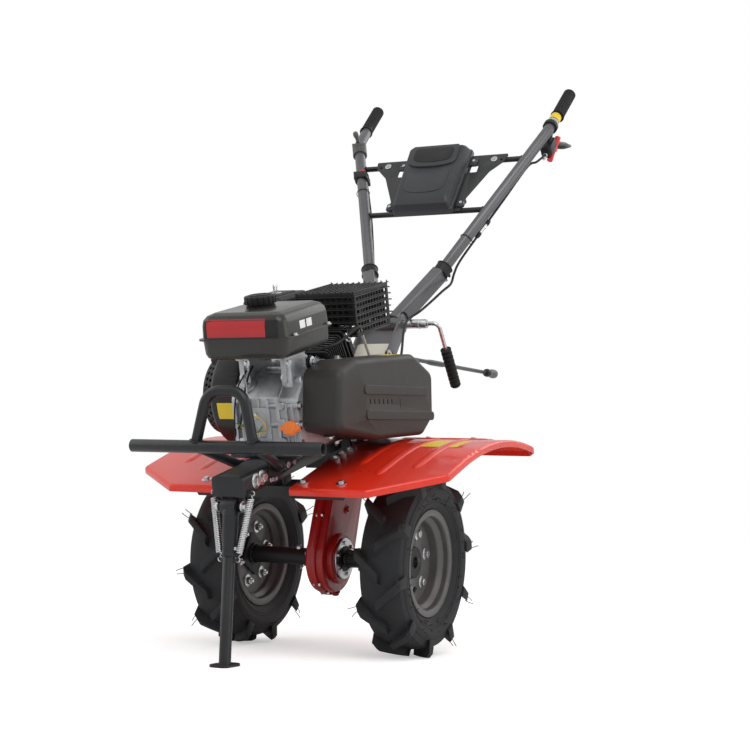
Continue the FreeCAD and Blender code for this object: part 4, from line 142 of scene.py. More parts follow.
class EffectLibrary:
    """Builds each shared shader group once and hands out copies of it."""

    def __init__(self) -> None:
        """Start with no groups built."""
        self.trees: dict[Effect, Tree] = {}

    def place(self, tree: Tree, effect: Effect, values: dict[str, float]) -> Node:
        """Put an effect into a material.

        Args:
            tree: The material's node tree.
            effect: Which effect to place.
            values: Its input values by socket name.

        Returns:
            The group node.
        """
        if effect not in self.trees:
            builders = {
                Effect.MOTTLE: self._mottle, Effect.GRAIN: self._grain,
                Effect.EDGE_WEAR: self._edge_wear, Effect.DUST: self._dust,
                Effect.STREAK: self._streak,
            }
            self.trees[effect] = builders[effect]()
        node = tree.nodes.new("ShaderNodeGroup")
        node.node_tree = self.trees[effect]
        for name, value in values.items():
            node.inputs[name].default_value = value
        return node

    @staticmethod
    def _start(effect: Effect, inputs: dict[str, float],
               outputs: Iterable[str]) -> tuple[Tree, Node, Node]:
        """Open a new group.

        Args:
            effect: The effect that the group holds.
            inputs: Input names with their default values.
            outputs: Output names.

        Returns:
            The tree, its input node and its output node.
        """
        tree = bpy.data.node_groups.new(effect.value, "ShaderNodeTree")
        for name, value in inputs.items():
            socket = tree.interface.new_socket(name, in_out="INPUT", socket_type="NodeSocketFloat")
            socket.default_value = value
        for name in outputs:
            tree.interface.new_socket(name, in_out="OUTPUT", socket_type="NodeSocketFloat")
        return tree, tree.nodes.new("NodeGroupInput"), tree.nodes.new("NodeGroupOutput")

    def _mottle(self) -> Tree:
        """Build slow and fine colour wander from two noises, from 0 to 1.

        Returns:
            The group's tree.
        """
        tree, source, target = self._start(Effect.MOTTLE, {"Scale": 20.0, "Fine": 160.0}, ["Fac"])
        place = object_space(tree)
        slow = noise(tree, place, source.outputs["Scale"], 3.0)
        fine = noise(tree, place, source.outputs["Fine"], 2.0)
        mix = maths(tree, "MULTIPLY_ADD", fine, 0.35, maths(tree, "MULTIPLY", slow, 0.65))
        tree.links.new(window(tree, mix, 0.32, 0.68), target.inputs["Fac"])
        return tree

    def _grain(self) -> Tree:
        """Build a fine relief from noise and cells, for bumps.

        Returns:
            The group's tree.
        """
        tree, source, target = self._start(Effect.GRAIN, {"Scale": 600.0, "Cells": 0.3}, ["Height"])
        place = object_space(tree)
        fine = noise(tree, place, source.outputs["Scale"], 3.0)
        cells = tree.nodes.new("ShaderNodeTexVoronoi")
        tree.links.new(place, cells.inputs["Vector"])
        tree.links.new(source.outputs["Scale"], cells.inputs["Scale"])
        share = maths(tree, "MULTIPLY", cells.outputs["Distance"], source.outputs["Cells"])
        height = maths(tree, "ADD", fine, share)
        tree.links.new(height, target.inputs["Height"])
        return tree

    def _edge_wear(self) -> Tree:
        """Build a mask of rubbed edges from the surface's pointiness, broken by noise.

        Returns:
            The group's tree.
        """
        tree, source, target = self._start(
            Effect.EDGE_WEAR, {"Amount": 0.5, "Scale": 90.0}, ["Mask"])
        place = object_space(tree)
        surface = tree.nodes.new("ShaderNodeNewGeometry")
        rough = noise(tree, place, source.outputs["Scale"], 4.0)
        edge = window(tree, surface.outputs["Pointiness"], 0.53, 0.62)
        mask = maths(tree, "MULTIPLY", edge, window(tree, rough, 0.42, 0.62))
        mask = maths(tree, "MULTIPLY", mask, source.outputs["Amount"])
        tree.links.new(mask, target.inputs["Mask"])
        return tree

    def _dust(self) -> Tree:
        """Build a mask of dust on faces that look up, in soft patches.

        Returns:
            The group's tree.
        """
        tree, source, target = self._start(Effect.DUST, {"Amount": 0.3, "Scale": 14.0}, ["Mask"])
        place = object_space(tree)
        surface = tree.nodes.new("ShaderNodeNewGeometry")
        split = tree.nodes.new("ShaderNodeSeparateXYZ")
        tree.links.new(surface.outputs["Normal"], split.inputs["Vector"])
        upward = window(tree, split.outputs["Z"], -0.2, 1.0)
        patches = noise(tree, place, source.outputs["Scale"], 5.0)
        mask = maths(tree, "MULTIPLY", upward, window(tree, patches, 0.35, 0.75))
        mask = maths(tree, "MULTIPLY", mask, source.outputs["Amount"])
        tree.links.new(mask, target.inputs["Mask"])
        return tree

    def _streak(self) -> Tree:
        """Build drawn lines along the machine's width, for brushed and plated metal.

        Returns:
            The group's tree.
        """
        tree, source, target = self._start(Effect.STREAK, {"Scale": 300.0, "Stretch": 0.06},
                                           ["Height"])
        place = object_space(tree)
        squeeze = tree.nodes.new("ShaderNodeVectorMath")
        squeeze.operation = "MULTIPLY"
        factors = tree.nodes.new("ShaderNodeCombineXYZ")
        factors.inputs["X"].default_value = 1.0
        factors.inputs["Z"].default_value = 1.0
        tree.links.new(source.outputs["Stretch"], factors.inputs["Y"])
        tree.links.new(place, squeeze.inputs[0])
        tree.links.new(factors.outputs["Vector"], squeeze.inputs[1])
        lines = noise(tree, squeeze.outputs["Vector"], source.outputs["Scale"], 2.0)
        tree.links.new(lines, target.inputs["Height"])
        return tree


def object_space(tree: Tree) -> Socket:
    """Add the object's own coordinates and return their socket."""
    return tree.nodes.new("ShaderNodeTexCoord").outputs["Object"]


def window(tree: Tree, value: Socket, low: float, high: float) -> Socket:
    """Stretch a window of values to the run from 0 to 1.

    Args:
        tree: The tree to add the node to.
        value: The socket that it reads.
        low: The value that becomes 0.
        high: The value that becomes 1.

    Returns:
        The stretched value's socket.
    """
    node = tree.nodes.new("ShaderNodeMapRange")
    node.inputs["From Min"].default_value = low
    node.inputs["From Max"].default_value = high
    tree.links.new(value, node.inputs["Value"])
    return node.outputs["Result"]


def noise(tree: Tree, vector: Socket, scale: Socket, detail: float) -> Socket:
    """Add a noise texture.

    Args:
        tree: The tree to add it to.
        vector: The coordinates that it reads.
        scale: The socket that drives its scale.
        detail: Its number of octaves.

    Returns:
        The noise's value socket.
    """
    node = tree.nodes.new("ShaderNodeTexNoise")
    node.inputs["Detail"].default_value = detail
    tree.links.new(vector, node.inputs["Vector"])
    tree.links.new(scale, node.inputs["Scale"])
    return node.outputs["Fac"]


def maths(tree: Tree, operation: str, *values: Socket | float) -> Socket:
    """Add a maths node.

    Args:
        tree: The tree to add it to.
        operation: The node's operation.
        *values: Its inputs in order, each a socket or a number.

    Returns:
        The result socket.
    """
    node = tree.nodes.new("ShaderNodeMath")
    node.operation = operation
    for slot, value in zip(node.inputs, values):
        if isinstance(value, (int, float)):
            slot.default_value = value
        else:
            tree.links.new(value, slot)
    return node.outputs["Value"]


EFFECTS = EffectLibrary()


# ------------------------------------------------------------------ finishes
@dataclass(frozen=True)
class Finish:
    """One surface finish: colour, gloss, wander, relief, wear and dust."""

    slot: str
    colour: Colour
    rough: float
    metallic: float = 0.0
    coat: float = 0.0
    specular: float = 0.5
    wander: float = 0.10
    wander_scale: float = 16.0
    fine_scale: float = 180.0
    rough_wander: float = 0.10
    relief: float = 0.00005
    relief_scale: float = 700.0
    cells: float = 0.0
    streaks: float = 0.0
    wear: float = 0.0
    wear_colour: Colour = (0.45, 0.45, 0.45)
    dust: float = 0.05
    dust_colour: Colour = (0.36, 0.33, 0.29)
    coat_rough: float = 0.08
    dust_rough: float = 0.5
    streak_scale: float = 420.0
    name: str = ""

    def material(self) -> bpy.types.Material:
        """Return the finish's material, built on its first use."""
        title = "finish_" + (self.name or self.slot)
        return bpy.data.materials.get(title) or self._build(title)

    def _build(self, title: str) -> bpy.types.Material:
        """Build the node tree.

        Args:
            title: The material's name.

        Returns:
            The new material.
        """
        material = bpy.data.materials.new(title)
        material.use_nodes = True
        tree = material.node_tree
        shader = tree.nodes["Principled BSDF"]
        shader.inputs["Metallic"].default_value = self.metallic
        shader.inputs["Coat Weight"].default_value = self.coat
        shader.inputs["Specular IOR Level"].default_value = self.specular
        shader.inputs["Coat Roughness"].default_value = self.coat_rough
        mottle = EFFECTS.place(tree, Effect.MOTTLE,
                               {"Scale": self.wander_scale, "Fine": self.fine_scale})
        dark = tuple(c * (1.0 - self.wander) for c in self.colour)
        light = tuple(min(1.0, c * (1.0 + self.wander)) for c in self.colour)
        colour = self._mix(tree, mottle.outputs["Fac"], dark, light)
        rough = maths(tree, "MULTIPLY_ADD", mottle.outputs["Fac"], self.rough_wander,
                      self.rough - self.rough_wander / 2)
        if self.wear > 0:
            wear = EFFECTS.place(tree, Effect.EDGE_WEAR, {"Amount": self.wear})
            colour = self._mix(tree, wear.outputs["Mask"], colour, self.wear_colour)
        if self.dust > 0:
            dust = EFFECTS.place(tree, Effect.DUST, {"Amount": self.dust})
            colour = self._mix(tree, dust.outputs["Mask"], colour, self.dust_colour)
            rough = maths(tree, "MULTIPLY_ADD", dust.outputs["Mask"], self.dust_rough, rough)
        tree.links.new(colour, shader.inputs["Base Color"])
        tree.links.new(rough, shader.inputs["Roughness"])
        tree.links.new(self._relief(tree), shader.inputs["Normal"])
        return material

    def _relief(self, tree: Tree) -> Socket:
        """Add the bump that carries the finish's grain.

        Args:
            tree: The material's node tree.

        Returns:
            The bump's normal socket.
        """
        bump = tree.nodes.new("ShaderNodeBump")
        bump.inputs["Distance"].default_value = self.relief
        grain = EFFECTS.place(tree, Effect.GRAIN, {"Scale": self.relief_scale, "Cells": self.cells})
        height = grain.outputs["Height"]
        if self.streaks > 0:
            streak = EFFECTS.place(tree, Effect.STREAK, {"Scale": self.streak_scale})
            height = maths(tree, "MULTIPLY_ADD", streak.outputs["Height"], self.streaks, height)
        tree.links.new(height, bump.inputs["Height"])
        return bump.outputs["Normal"]

    @staticmethod
    def _mix(tree: Tree, fac: Socket, first: Socket | Colour, second: Socket | Colour) -> Socket:
        """Mix two colours.

        Args:
            tree: The material's node tree.
            fac: The mixing share.
            first: A colour or a socket, shown where the share is 0.
            second: A colour or a socket, shown where the share is 1.

        Returns:
            The mixed colour's socket.
        """
        node = tree.nodes.new("ShaderNodeMix")
        node.data_type = "RGBA"
        tree.links.new(fac, node.inputs["Factor"])
        for socket, value in ((node.inputs[6], first), (node.inputs[7], second)):
            if isinstance(value, tuple):
                socket.default_value = (*value, 1.0)
            else:
                tree.links.new(value, socket)
        return node.outputs[2]


FRAME_BLACK = Finish("frame_black", (0.010, 0.011, 0.013), 0.36, coat=0.12, specular=0.35,
                     wander=0.18, relief=0.00006, relief_scale=520, wear=0.25,
                     wear_colour=(0.07, 0.07, 0.07))
FENDER_RED = Finish("fender_red", (0.76, 0.026, 0.008), 0.30, coat=0.35, specular=0.4,
                    wander=0.05, rough_wander=0.06, relief=0.00003, relief_scale=260, dust=0.02)
CASE_RED = Finish("case_red", (0.36, 0.008, 0.008), 0.34, coat=0.25, specular=0.4, wander=0.12,
                  relief=0.00005, relief_scale=420, dust=0.04)
GEARBOX_BLACK = Finish("gearbox_black", (0.014, 0.015, 0.016), 0.46, specular=0.35, wander=0.2,
                       relief=0.00022, relief_scale=420, cells=0.5, wear=0.2)
ZINC = Finish("zinc", (0.62, 0.63, 0.64), 0.30, metallic=1.0, wander=0.14, wander_scale=60,
              fine_scale=700, rough_wander=0.22, relief=0.00004, streaks=0.6, dust=0.0)
SHAFT_STEEL = Finish("shaft_steel", (0.14, 0.14, 0.15), 0.40, metallic=0.85, wander=0.25,
                     wander_scale=40, streaks=0.8, relief=0.00005, dust=0.04)
RIM_GREY = Finish("rim_grey", (0.115, 0.112, 0.110), 0.42, metallic=0.2, coat=0.08, specular=0.4,
                  wander=0.12, relief=0.00006, relief_scale=500, dust=0.05)
TYRE_RUBBER = Finish("tyre_rubber", (0.017, 0.018, 0.020), 0.64, specular=0.35, wander=0.28,
                     wander_scale=24, fine_scale=260, relief=0.00018, relief_scale=480,
                     cells=0.4, dust=0.06, dust_colour=(0.07, 0.069, 0.066))
CASTING = Finish("casting", (0.46, 0.47, 0.49), 0.42, metallic=0.82, wander=0.20,
                 wander_scale=34, fine_scale=420, relief=0.00028, relief_scale=520, cells=0.8,
                 dust=0.04)
ENGINE_BLACK = Finish("engine_black", (0.008, 0.008, 0.009), 0.46, specular=0.35, wander=0.25,
                      relief=0.00016, relief_scale=520, cells=0.4)
COWL_BLACK = Finish("cowl_black", (0.012, 0.0115, 0.011), 0.36, coat=0.15, specular=0.35,
                    wander=0.15, relief=0.00006, relief_scale=520)
TANK_CHARCOAL = Finish("tank_charcoal", (0.019, 0.018, 0.016), 0.30, coat=0.22, specular=0.4,
                       wander=0.12, relief=0.00003, relief_scale=300, dust=0.04)
BLACK_PLASTIC = Finish("black_plastic", (0.010, 0.010, 0.011), 0.50, specular=0.35, wander=0.2,
                       relief=0.00012, relief_scale=900, cells=0.6)
COVER_PLASTIC = Finish("cover_plastic", (0.033, 0.031, 0.028), 0.50, specular=0.35, wander=0.10,
                       relief=0.00010, relief_scale=950, cells=0.6, dust=0.05)
PANEL_PLASTIC = Finish("panel_plastic", (0.030, 0.034, 0.039), 0.42, specular=0.4, wander=0.08,
                       relief=0.00008, relief_scale=950, cells=0.5)
DIPSTICK_ORANGE = Finish("dipstick_orange", (0.86, 0.20, 0.03), 0.42, wander=0.08, dust=0.02)
HANDLE_GREY = Finish("handle_grey", (0.125, 0.125, 0.132), 0.34, metallic=0.35, coat=0.2,
                     specular=0.4, wander=0.08, relief=0.00004, relief_scale=380, dust=0.03)
PANEL_GREY = Finish("panel_grey", (0.030, 0.031, 0.032), 0.44, specular=0.4, wander=0.12,
                    relief=0.00008)
GRIP_RUBBER = Finish("grip_rubber", (0.009, 0.009, 0.010), 0.66, specular=0.3, wander=0.2,
                     relief=0.00012, relief_scale=800, cells=0.5)
KNOB_GREY = Finish("knob_grey", (0.09, 0.09, 0.088), 0.40, wander=0.1)
SWITCH_BLACK = Finish("switch_black", (0.010, 0.010, 0.011), 0.42, specular=0.35, wander=0.15)
CABLE_BLACK = Finish("cable_black", (0.010, 0.010, 0.010), 0.50, specular=0.35, wander=0.15)
RED_PLASTIC = Finish("fender_red", (0.60, 0.018, 0.012), 0.38, wander=0.08, name="red_plastic")
RED_PLATE = Finish("fender_red", (0.42, 0.010, 0.014), 0.34, coat=0.2, wander=0.08,
                   name="red_plate")
WHITE_LABEL = Finish("zinc", (0.80, 0.80, 0.78), 0.42, wander=0.04, dust=0.03, name="white_label")
YELLOW_LABEL = Finish("dipstick_orange", (0.84, 0.60, 0.02), 0.42, wander=0.05, dust=0.03,
                      name="yellow_label")
GREEN_WIRE = Finish("cable_black", (0.03, 0.22, 0.06), 0.45, wander=0.1, name="green_wire")
YELLOW_WIRE = Finish("cable_black", (0.72, 0.46, 0.03), 0.45, wander=0.1, name="yellow_wire")
WHITE_TIE = Finish("zinc", (0.74, 0.74, 0.72), 0.45, wander=0.05, name="white_tie")
# Pale cream that paints the white floor's reflection onto the grey handle base: a painted reflection, also used on
# the strut.
PAINTED_REFLECTION_CREAM = Finish("handle_grey", (0.74, 0.70, 0.60), 0.50, wander=0.06, dust=0.03,
                     name="painted_reflection_cream")
PLAIN_FINISHES = (
    FRAME_BLACK, FENDER_RED, CASE_RED, GEARBOX_BLACK, ZINC, SHAFT_STEEL, RIM_GREY, TYRE_RUBBER,
    CASTING, ENGINE_BLACK, COWL_BLACK, TANK_CHARCOAL, BLACK_PLASTIC, COVER_PLASTIC,
    PANEL_PLASTIC, DIPSTICK_ORANGE, HANDLE_GREY, PANEL_GREY, GRIP_RUBBER, KNOB_GREY,
    SWITCH_BLACK, CABLE_BLACK,
)


class Side(IntEnum):
    """The machine's two sides, as the sign of y."""

    LEFT = 1
    RIGHT = -1

    @property
    def word(self) -> str:
        """Return the side's name as pieces carry it."""
        return self.name.lower()


class Body(Enum):
    """The CAD bodies that pieces ride on."""

    CHASSIS = "chassis"
    STAND = "stand"
    WHEELS = "wheels"
    HANDLEBAR = "handlebar"


@dataclass(frozen=True)
class Bend:
    """A bend between two jointed bodies, from start to end in level mm."""

    first: Body
    second: Body
    start: Point
    end: Point


# ------------------------------------------------------------------ mesh drafting
BEVEL_STRIPS = 2
BEVEL_ANGLE = math.radians(34)


def basis(axis: Vector) -> tuple[Vector, Vector, Vector]:
    """Return three unit vectors: two across an axis and the axis itself.

    Args:
        axis: Any vector along the axis.

    Returns:
        The two across vectors and the unit axis.
    """
    ahead = axis.normalized()
    helper = UPWARD if abs(ahead.z) < 0.9 else AHEAD
    across = helper.cross(ahead).normalized()
    return across, ahead.cross(across), ahead


class Draft:
    """Gathers one piece's faces in level millimetres and turns them into a dressed object."""

    WASHER_THICK = 0.12
    CROWN_R = 0.44
    THREAD_R = 0.27
    THREAD_PITCH = 1.5
    COIL_STEPS = 14

    def __init__(self) -> None:
        """Start an empty draft."""
        self.mesh = bmesh.new()

    def skin(self, rings: Sequence[Sequence[Vector]]) -> None:
        """Join a run of rings of points into a surface with filled ends.

        Args:
            rings: Closed rings with equal numbers of points.
        """
        rows = [[self.mesh.verts.new(p) for p in ring] for ring in rings]
        count = len(rows[0])
        for low, high in zip(rows, rows[1:]):
            for index in range(count):
                after = (index + 1) % count
                self.mesh.faces.new((low[index], low[after], high[after], high[index]))
        self.mesh.faces.new(rows[0][::-1])
        self.mesh.faces.new(rows[-1])

    def lathe(self, origin: Spot, axis: Spot, profile: Sequence[Pair], steps: int,
              start: float = 0.0) -> None:
        """Turn a (radius, distance) profile about an axis.

        Args:
            origin: Where the axis starts.
            axis: The direction of the axis.
            profile: Radii and distances along the axis.
            steps: How many sides the turned form has.
            start: The first side's angle, in radians.
        """
        side, up, ahead = basis(Vector(axis))
        foot = Vector(origin)
        rings = []
        for radius, distance in profile:
            ring = []
            for index in range(steps):
                turn = start + 2 * math.pi * index / steps
                ring.append(foot + ahead * distance
                            + (side * math.cos(turn) + up * math.sin(turn)) * radius)
            rings.append(ring)
        self.skin(rings)

    def tube(self, points: Sequence[Sequence[float]], radius: float, steps: int) -> None:
        """Sweep a round section along a run of points.

        Args:
            points: The centre line.
            radius: The section's radius.
            steps: How many sides the tube has.
        """
        rings = []
        side = None
        line = [Vector(point) for point in points]
        for index, point in enumerate(line):
            back = line[max(index - 1, 0)]
            ahead = (line[min(index + 1, len(line) - 1)] - back).normalized()
            if side is None:
                side = basis(ahead)[0]
            side = (side - ahead * side.dot(ahead)).normalized()
            up = ahead.cross(side)
            rings.append([
                point + (side * math.cos(t) + up * math.sin(t)) * radius
                for t in (2 * math.pi * i / steps for i in range(steps))
            ])
        self.skin(rings)

    def bolt(self, origin: Spot, axis: Spot, flats: float, height: float, washer: float,
             thread: float = 0.0, turn: float = 0.3) -> None:
        """Add a hexagonal bolt head or nut on its washer.

        Args:
            origin: The centre of the seat.
            axis: The direction that the head points.
            flats: The width across flats.
            height: The head's height.
            washer: The washer's radius as a share of the flats' width, or 0 for none.
            thread: How far a threaded end stands out of the head.
            turn: The head's angle, in radians.
        """
        base = 0.0
        if washer > 0:
            rim = flats * washer
            thick = flats * self.WASHER_THICK
            self.lathe(origin, axis, [(rim * 0.96, -0.4), (rim, 0.1), (rim, thick * 0.8),
                                      (rim * 0.95, thick)], 24)
            base = thick
        corner = flats / math.sqrt(3)
        self.lathe(origin, axis, [(corner, base - 0.2), (corner, base + height * 0.86),
                                  (corner * 0.88, base + height)], 6, turn)
        self.lathe(origin, axis, [(flats * self.CROWN_R, base + height - 0.1),
                                  (flats * self.CROWN_R, base + height * 1.02)], 20)
        if thread > 0:
            self.thread(origin, axis, flats * self.THREAD_R, base + height, thread)

    def thread(self, origin: Spot, axis: Spot, radius: float, start: float, length: float) -> None:
        """Add a threaded end as a run of ridges.

        Args:
            origin: The centre of the seat.
            axis: The direction of the thread.
            radius: The thread's outer radius.
            start: The distance at which it starts.
            length: Its length.
        """
        profile = [(radius * 0.86, start)]
        ridges = max(1, int(length / self.THREAD_PITCH))
        for index in range(ridges):
            low = start + index * length / ridges
            profile.append((radius, low + 0.3 * length / ridges))
            profile.append((radius * 0.84, low + 0.85 * length / ridges))
        profile.append((radius * 0.6, start + length))
        self.lathe(origin, axis, profile, 14)

    def slab(self, origin: Spot, across: Vector, up: Vector,
             outline: Sequence[Pair], thick: float, soften: float = 0.0) -> None:
        """Raise a flat outline into a plate with softened edges.

        Args:
            origin: The outline's origin.
            across: The direction of its first coordinate.
            up: The direction of its second coordinate.
            outline: The closed outline as pairs.
            thick: The plate's thickness, towards across x up.
            soften: The width of its softened edge.
        """
        normal = across.cross(up).normalized()
        middle = (sum(a for a, _ in outline) / len(outline),
                  sum(b for _, b in outline) / len(outline))
        reach = max(math.hypot(a - middle[0], b - middle[1]) for a, b in outline)
        levels = [(0.0, 0.0), (thick - soften, 0.0)]
        if soften > 0:
            levels += [(thick - soften * 0.3, soften * 0.3), (thick, soften)]
        rings = []
        for height, inset in levels:
            share = 1.0 - inset / reach
            rings.append([
                Vector(origin) + across * (middle[0] + (a - middle[0]) * share)
                + up * (middle[1] + (b - middle[1]) * share) + normal * height
                for a, b in outline
            ])
        self.skin(rings)

    def pad(self, origin: Spot, across: Vector, up: Vector,
            size: tuple[float, float, float], thick: float, soften: float = 0.0) -> None:
        """Raise a rectangle with round corners into a plate with softened edges.

        Args:
            origin: The rectangle's centre.
            across: The direction of its width.
            up: The direction of its height.
            size: Its width, its height and its corner radius.
            thick: The plate's thickness, towards across x up.
            soften: The width of its softened edge.
        """
        self.slab(origin, across, up, rounded_outline(*size), thick, soften)

    def coil(self, start: Vector, end: Vector, radius: float, wire: float,
             turns: float, sides: int) -> None:
        """Wind a wire round the line between two points.

        Args:
            start: Where the coil starts.
            end: Where it ends.
            radius: The coil's radius to the wire's centre.
            wire: The wire's radius.
            turns: How many turns it has.
            sides: How many sides the wire has.
        """
        side, up, _ = basis(end - start)
        steps = int(turns * self.COIL_STEPS)
        points = []
        for index in range(steps + 1):
            share = index / steps
            turn = 2 * math.pi * turns * share
            points.append(start.lerp(end, share)
                          + (side * math.cos(turn) + up * math.sin(turn)) * radius)
        self.tube(points, wire, sides)

    def build(self, name: str, finish: Finish, body: Body = Body.CHASSIS, angle: float = 32.0,
              bevel: float = 0.0, bend: Bend | None = None) -> Piece:
        """Turn the draft into an object that rides a body, or, given a bend, one left unattached in place.

        Args:
            name: The piece's name.
            finish: Its finish.
            body: The body that it rides.
            angle: Edges sharper than this stay sharp, in degrees.
            bevel: The width of a bevel on sharp edges, in mm.
            bend: A bend between two bodies, for a piece that crosses a joint; when it is given, the piece rides no
                body and is not bent.

        Returns:
            The new object.
        """
        bmesh.ops.recalc_face_normals(self.mesh, faces=self.mesh.faces)
        data = bpy.data.meshes.new(name)
        self.mesh.to_mesh(data)
        self.mesh.free()
        data.transform(STANCE.matrix)
        for polygon in data.polygons:
            polygon.use_smooth = True
        data.set_sharp_from_angle(angle=math.radians(angle))
        data.materials.append(finish.material())
        piece = add_to_scene(name, data)
        if bevel > 0:
            soften_edges(piece, bevel)
        if bend is None:
            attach(piece, body.value)
        else:
            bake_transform(piece)
        LOG.info("built %s on %s", name, body.value)
        return piece


def add_to_scene(name: str, data: bpy.types.ID) -> Piece:
    """Make an object of a mesh, a light or a camera and link it to the scene.

    Args:
        name: The object's name.
        data: What it shows.

    Returns:
        The new object.
    """
    piece = bpy.data.objects.new(name, data)
    bpy.context.scene.collection.objects.link(piece)
    return piece


def soften_edges(piece: Piece, width: float) -> None:
    """Round a piece's sharp edges with a modifier.

    Args:
        piece: The object.
        width: The bevel's width, in mm.
    """
    modifier = piece.modifiers.new("Softened edges", "BEVEL")
    modifier.width = width * MM
    modifier.segments = BEVEL_STRIPS
    modifier.limit_method = "ANGLE"
    modifier.angle_limit = BEVEL_ANGLE
    modifier.use_clamp_overlap = True
    modifier.harden_normals = True


def smooth_line(points: Sequence[Sequence[float]], steps: int) -> list[Vector]:
    """Run a smooth curve through a few points.

    Args:
        points: The points in order.
        steps: How many samples lie between two of them.

    Returns:
        The sampled curve.
    """
    nodes = [Vector(p) for p in points]
    padded = [nodes[0] * 2 - nodes[1]] + nodes + [nodes[-1] * 2 - nodes[-2]]
    line = []
    for a, b, c, d in zip(padded, padded[1:], padded[2:], padded[3:]):
        for index in range(steps):
            t = index / steps
            line.append(0.5 * ((2 * b) + (c - a) * t + (2 * a - 5 * b + 4 * c - d) * t * t
                               + (3 * b - a - 3 * c + d) * t ** 3))
    line.append(nodes[-1])
    return line


def rounded_outline(width: float, height: float, radius: float, steps: int = 5) -> list[Pair]:
    """Return a centred rectangle with round corners.

    Args:
        width: Its width.
        height: Its height.
        radius: Its corner radius.
        steps: How many segments each corner has.

    Returns:
        The outline as pairs, anticlockwise.
    """
    outline = []
    for quarter, (sx, sy) in enumerate(((1, 1), (-1, 1), (-1, -1), (1, -1))):
        for index in range(steps + 1):
            turn = math.pi / 2 * (quarter + index / steps)
            outline.append((sx * (width / 2 - radius) + radius * math.cos(turn),
                            sy * (height / 2 - radius) + radius * math.sin(turn)))
    return outline


# ------------------------------------------------------------------ carried-over CAD nodes
@dataclass
class CadDressing:
    """Gives every CAD node its finish and softens its edges."""

    softness: dict[str, float] = field(default_factory=lambda: {
        "tyre_left": 2.2, "tyre_right": 2.2, "gearbox": 1.2, "crankcase": 1.6,
        "cylinder": 0.7, "cylinder_head": 0.9, "chain_case": 1.0, "handle_arms": 1.0,
        "fuel_tank": 0.8, "tank_brackets": 1.5, "belt_cover": 0.8, "panel_cover": 1.2,
        "stop_switch": 1.5, "muffler_guard": 0.4,
    })
    default_softness: float = 0.6
    weld_distance: float = 0.00002

    def dress(self) -> None:
        """Assign finishes by slot and add the modifiers."""
        finishes = {finish.slot: finish for finish in PLAIN_FINISHES}
        for part in frame["record"]["subparts"]:
            node = frame["nodes"][part["node"]]
            finish = finishes[part["material_slot"]]
            node.data.materials.clear()
            node.data.materials.append(finish.material())
            self._soften(node, self.softness.get(node.name, self.default_softness))
            LOG.info("dressed %s in %s", node.name, finish.slot)

    def _soften(self, node: Piece, width: float) -> None:
        """Weld the import's split vertices and round the sharp edges.

        Args:
            node: The CAD node's object.
            width: The rounding's width, in mm.
        """
        for polygon in node.data.polygons:
            polygon.use_smooth = True
        weld = node.modifiers.new("Welded seams", "WELD")
        weld.merge_threshold = self.weld_distance
        soften_edges(node, width)


